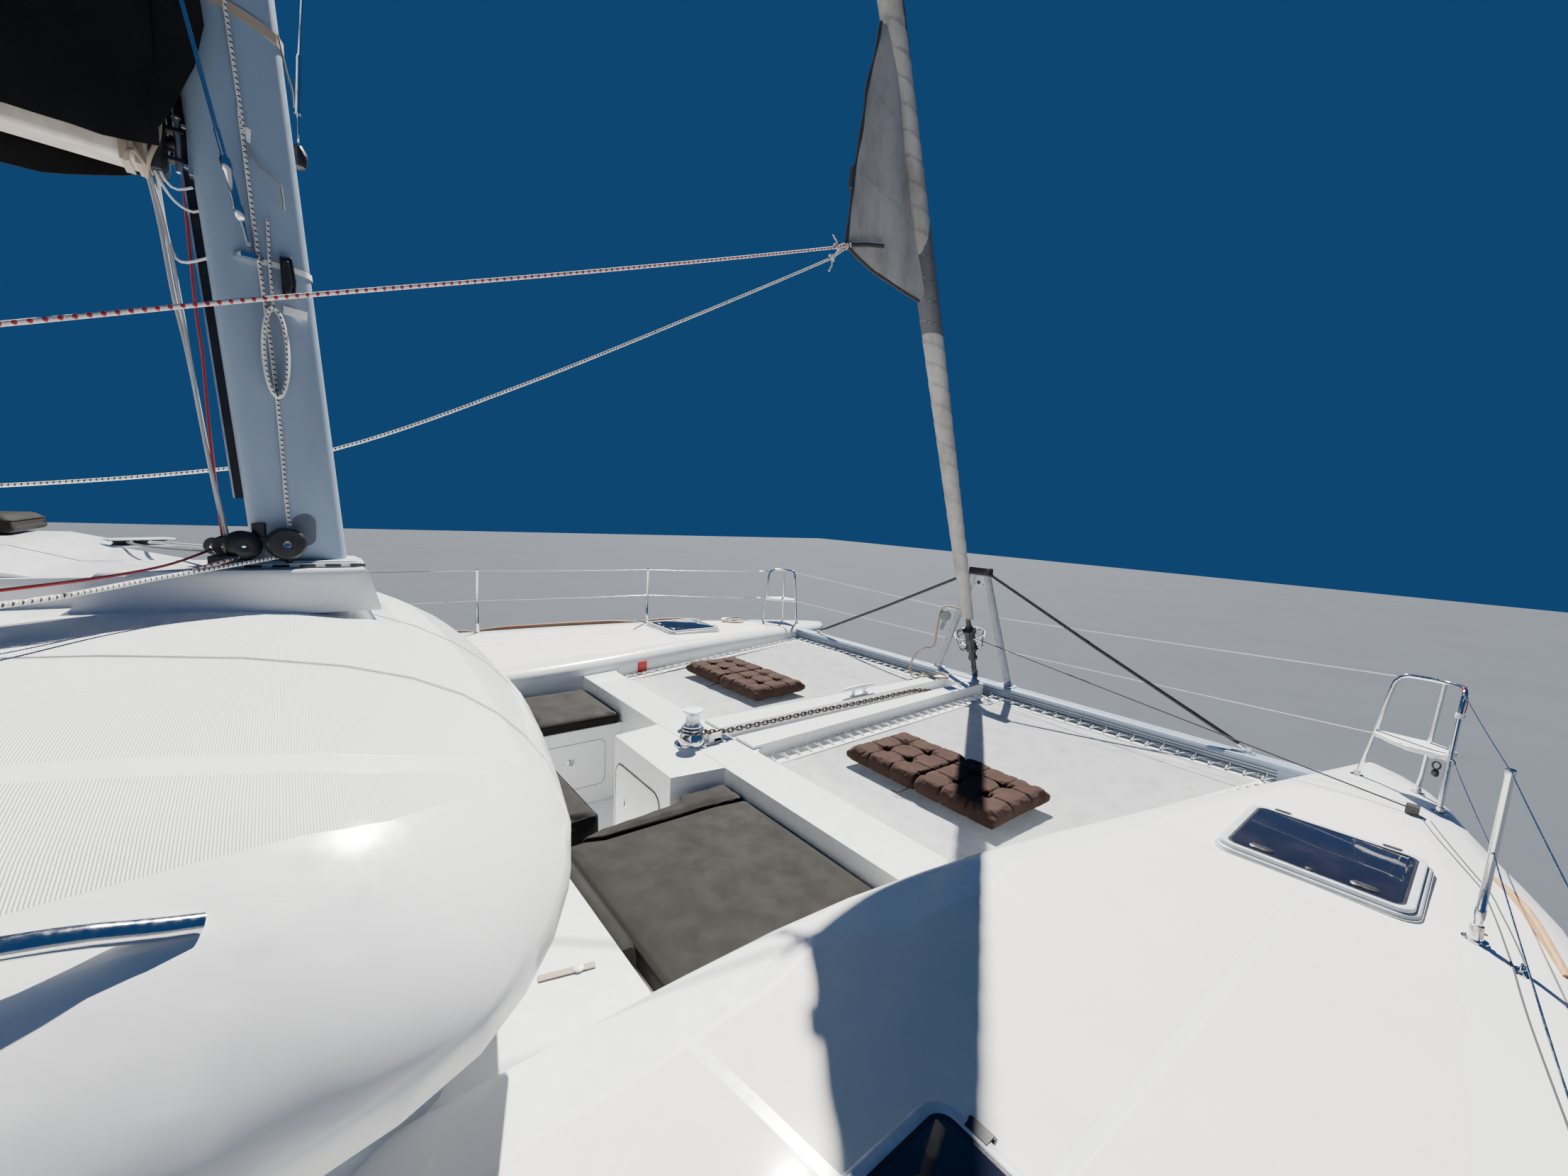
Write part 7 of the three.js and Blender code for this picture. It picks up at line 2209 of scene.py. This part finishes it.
def openings_glazed():
    """Windows, the sliding door and the panes of the aft bulkhead and of the hulls."""
    for name in ("window_front", "window_starboard", "window_port"):
        dressed(name, ACRYLIC, sharp=30, slot="tinted")
    low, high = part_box("saloon_door")
    rail, y0, y1 = Shape(), low.y + 0.001, high.y - 0.001
    for x0, x1, z0, z1 in (
        (low.x, low.x + 0.05, low.z, high.z),
        (high.x - 0.05, high.x, low.z, high.z),
        (low.x + 0.05, high.x - 0.05, low.z, low.z + 0.07),
        (low.x + 0.05, high.x - 0.05, high.z - 0.06, high.z),
    ):
        rail.block((x0, y0, z0), (x1, y1, z1))
    rail.piece("saloon_door_frame", FRAME_GREY, "saloon_door", slot="alloy", replaces="saloon_door",
        bevel=0.002)
    pane = Shape().block((low.x + 0.046, y0 + 0.009, low.z + 0.066),
        (high.x - 0.046, y1 - 0.009, high.z - 0.056))
    pane.piece("saloon_door_pane", ACRYLIC, "saloon_door", slot="tinted")
    x, y = high.x - 0.025, y0 - 0.022
    pull = Shape().rod((x, y, 1.50), (x, y, 1.72), 0.009, 12)
    for z in (1.51, 1.71):
        pull.rod((x, y0 + 0.001, z), (x, y, z), 0.007, 10)
    pull.piece("saloon_door_pull", STEEL, "saloon_door", slot="steel")
    panes = Shape()
    for a, b in ((-1.495, -0.525), (0.525, 1.495)):
        panes.block((a, -1.952, 1.505), (b, -1.942, 2.235))
    panes.piece("bulkhead_panes", ACRYLIC, slot="tinted")
    for side, s in SIDES:
        hull_windows(side, s)


def aft_gear():
    """Steering wheel with six spokes."""
    low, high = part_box("helm_wheel")
    c, r = (low + high) / 2, (high.x - low.x) / 2 - 0.016

    def at(radius, t):
        return (c.x + radius * math.cos(t), c.y, c.z + radius * math.sin(t))

    rim = Shape().tube([at(r, t) for t in angles(72)], 0.0155, 12, closed=True)
    leather = moulded("wheel_leather", (0.03, 0.028, 0.027), 0.6)
    rim.piece("wheel_rim", leather, "helm_wheel", slot="vinyl", replaces="helm_wheel")
    spokes = Shape()
    for t in angles(6):
        spokes.rod(at(0.03, t), at(r - 0.01, t), 0.0075, 12)
    hub = [(0.012, -0.022), (0.040, -0.019), (0.044, -0.008), (0.044, 0.010), (0.030, 0.019), (0.010, 0.020)]
    spokes.lathe(c, hub, (0, 1, 0), 32)
    spokes.piece("wheel_spokes", STEEL, "helm_wheel", slot="steel")


def floor():
    """Plain floor that the boat stands on in the pictures."""
    half = 60
    plane = Shape().add([(-half, -half, 0), (half, -half, 0), (half, half, 0), (-half, half, 0)],
        [[0, 1, 2, 3]])
    plane.piece("studio_floor", studio_floor(), ride=False)


floor()
dress_hulls()
dress_roof()
dress_structure()
outline = nets()
lacing(outline)
tufted_cushion("net_cushion_quilted_starboard", "net_cushion_starboard", 1.205, 4.290, -0.02)
tufted_cushion("net_cushion_quilted_port", "net_cushion_port", -1.165, 4.470, 0.03)
cockpit_pads()
mast()
mast_rigging()
mast_blocks()
hank()
boom()
sail_bag()
genoa()
sheets()
striker()
beams()
furler()
rope_at_furler()
bow_lines()
windlass()
chain()
pulpits()
guardrails()
hatches()
shrouds()
roof_rails()
toe_rails()
deck_fittings()
cleat_rope()
well_details()
roof_lines()
openings_glazed()
aft_gear()
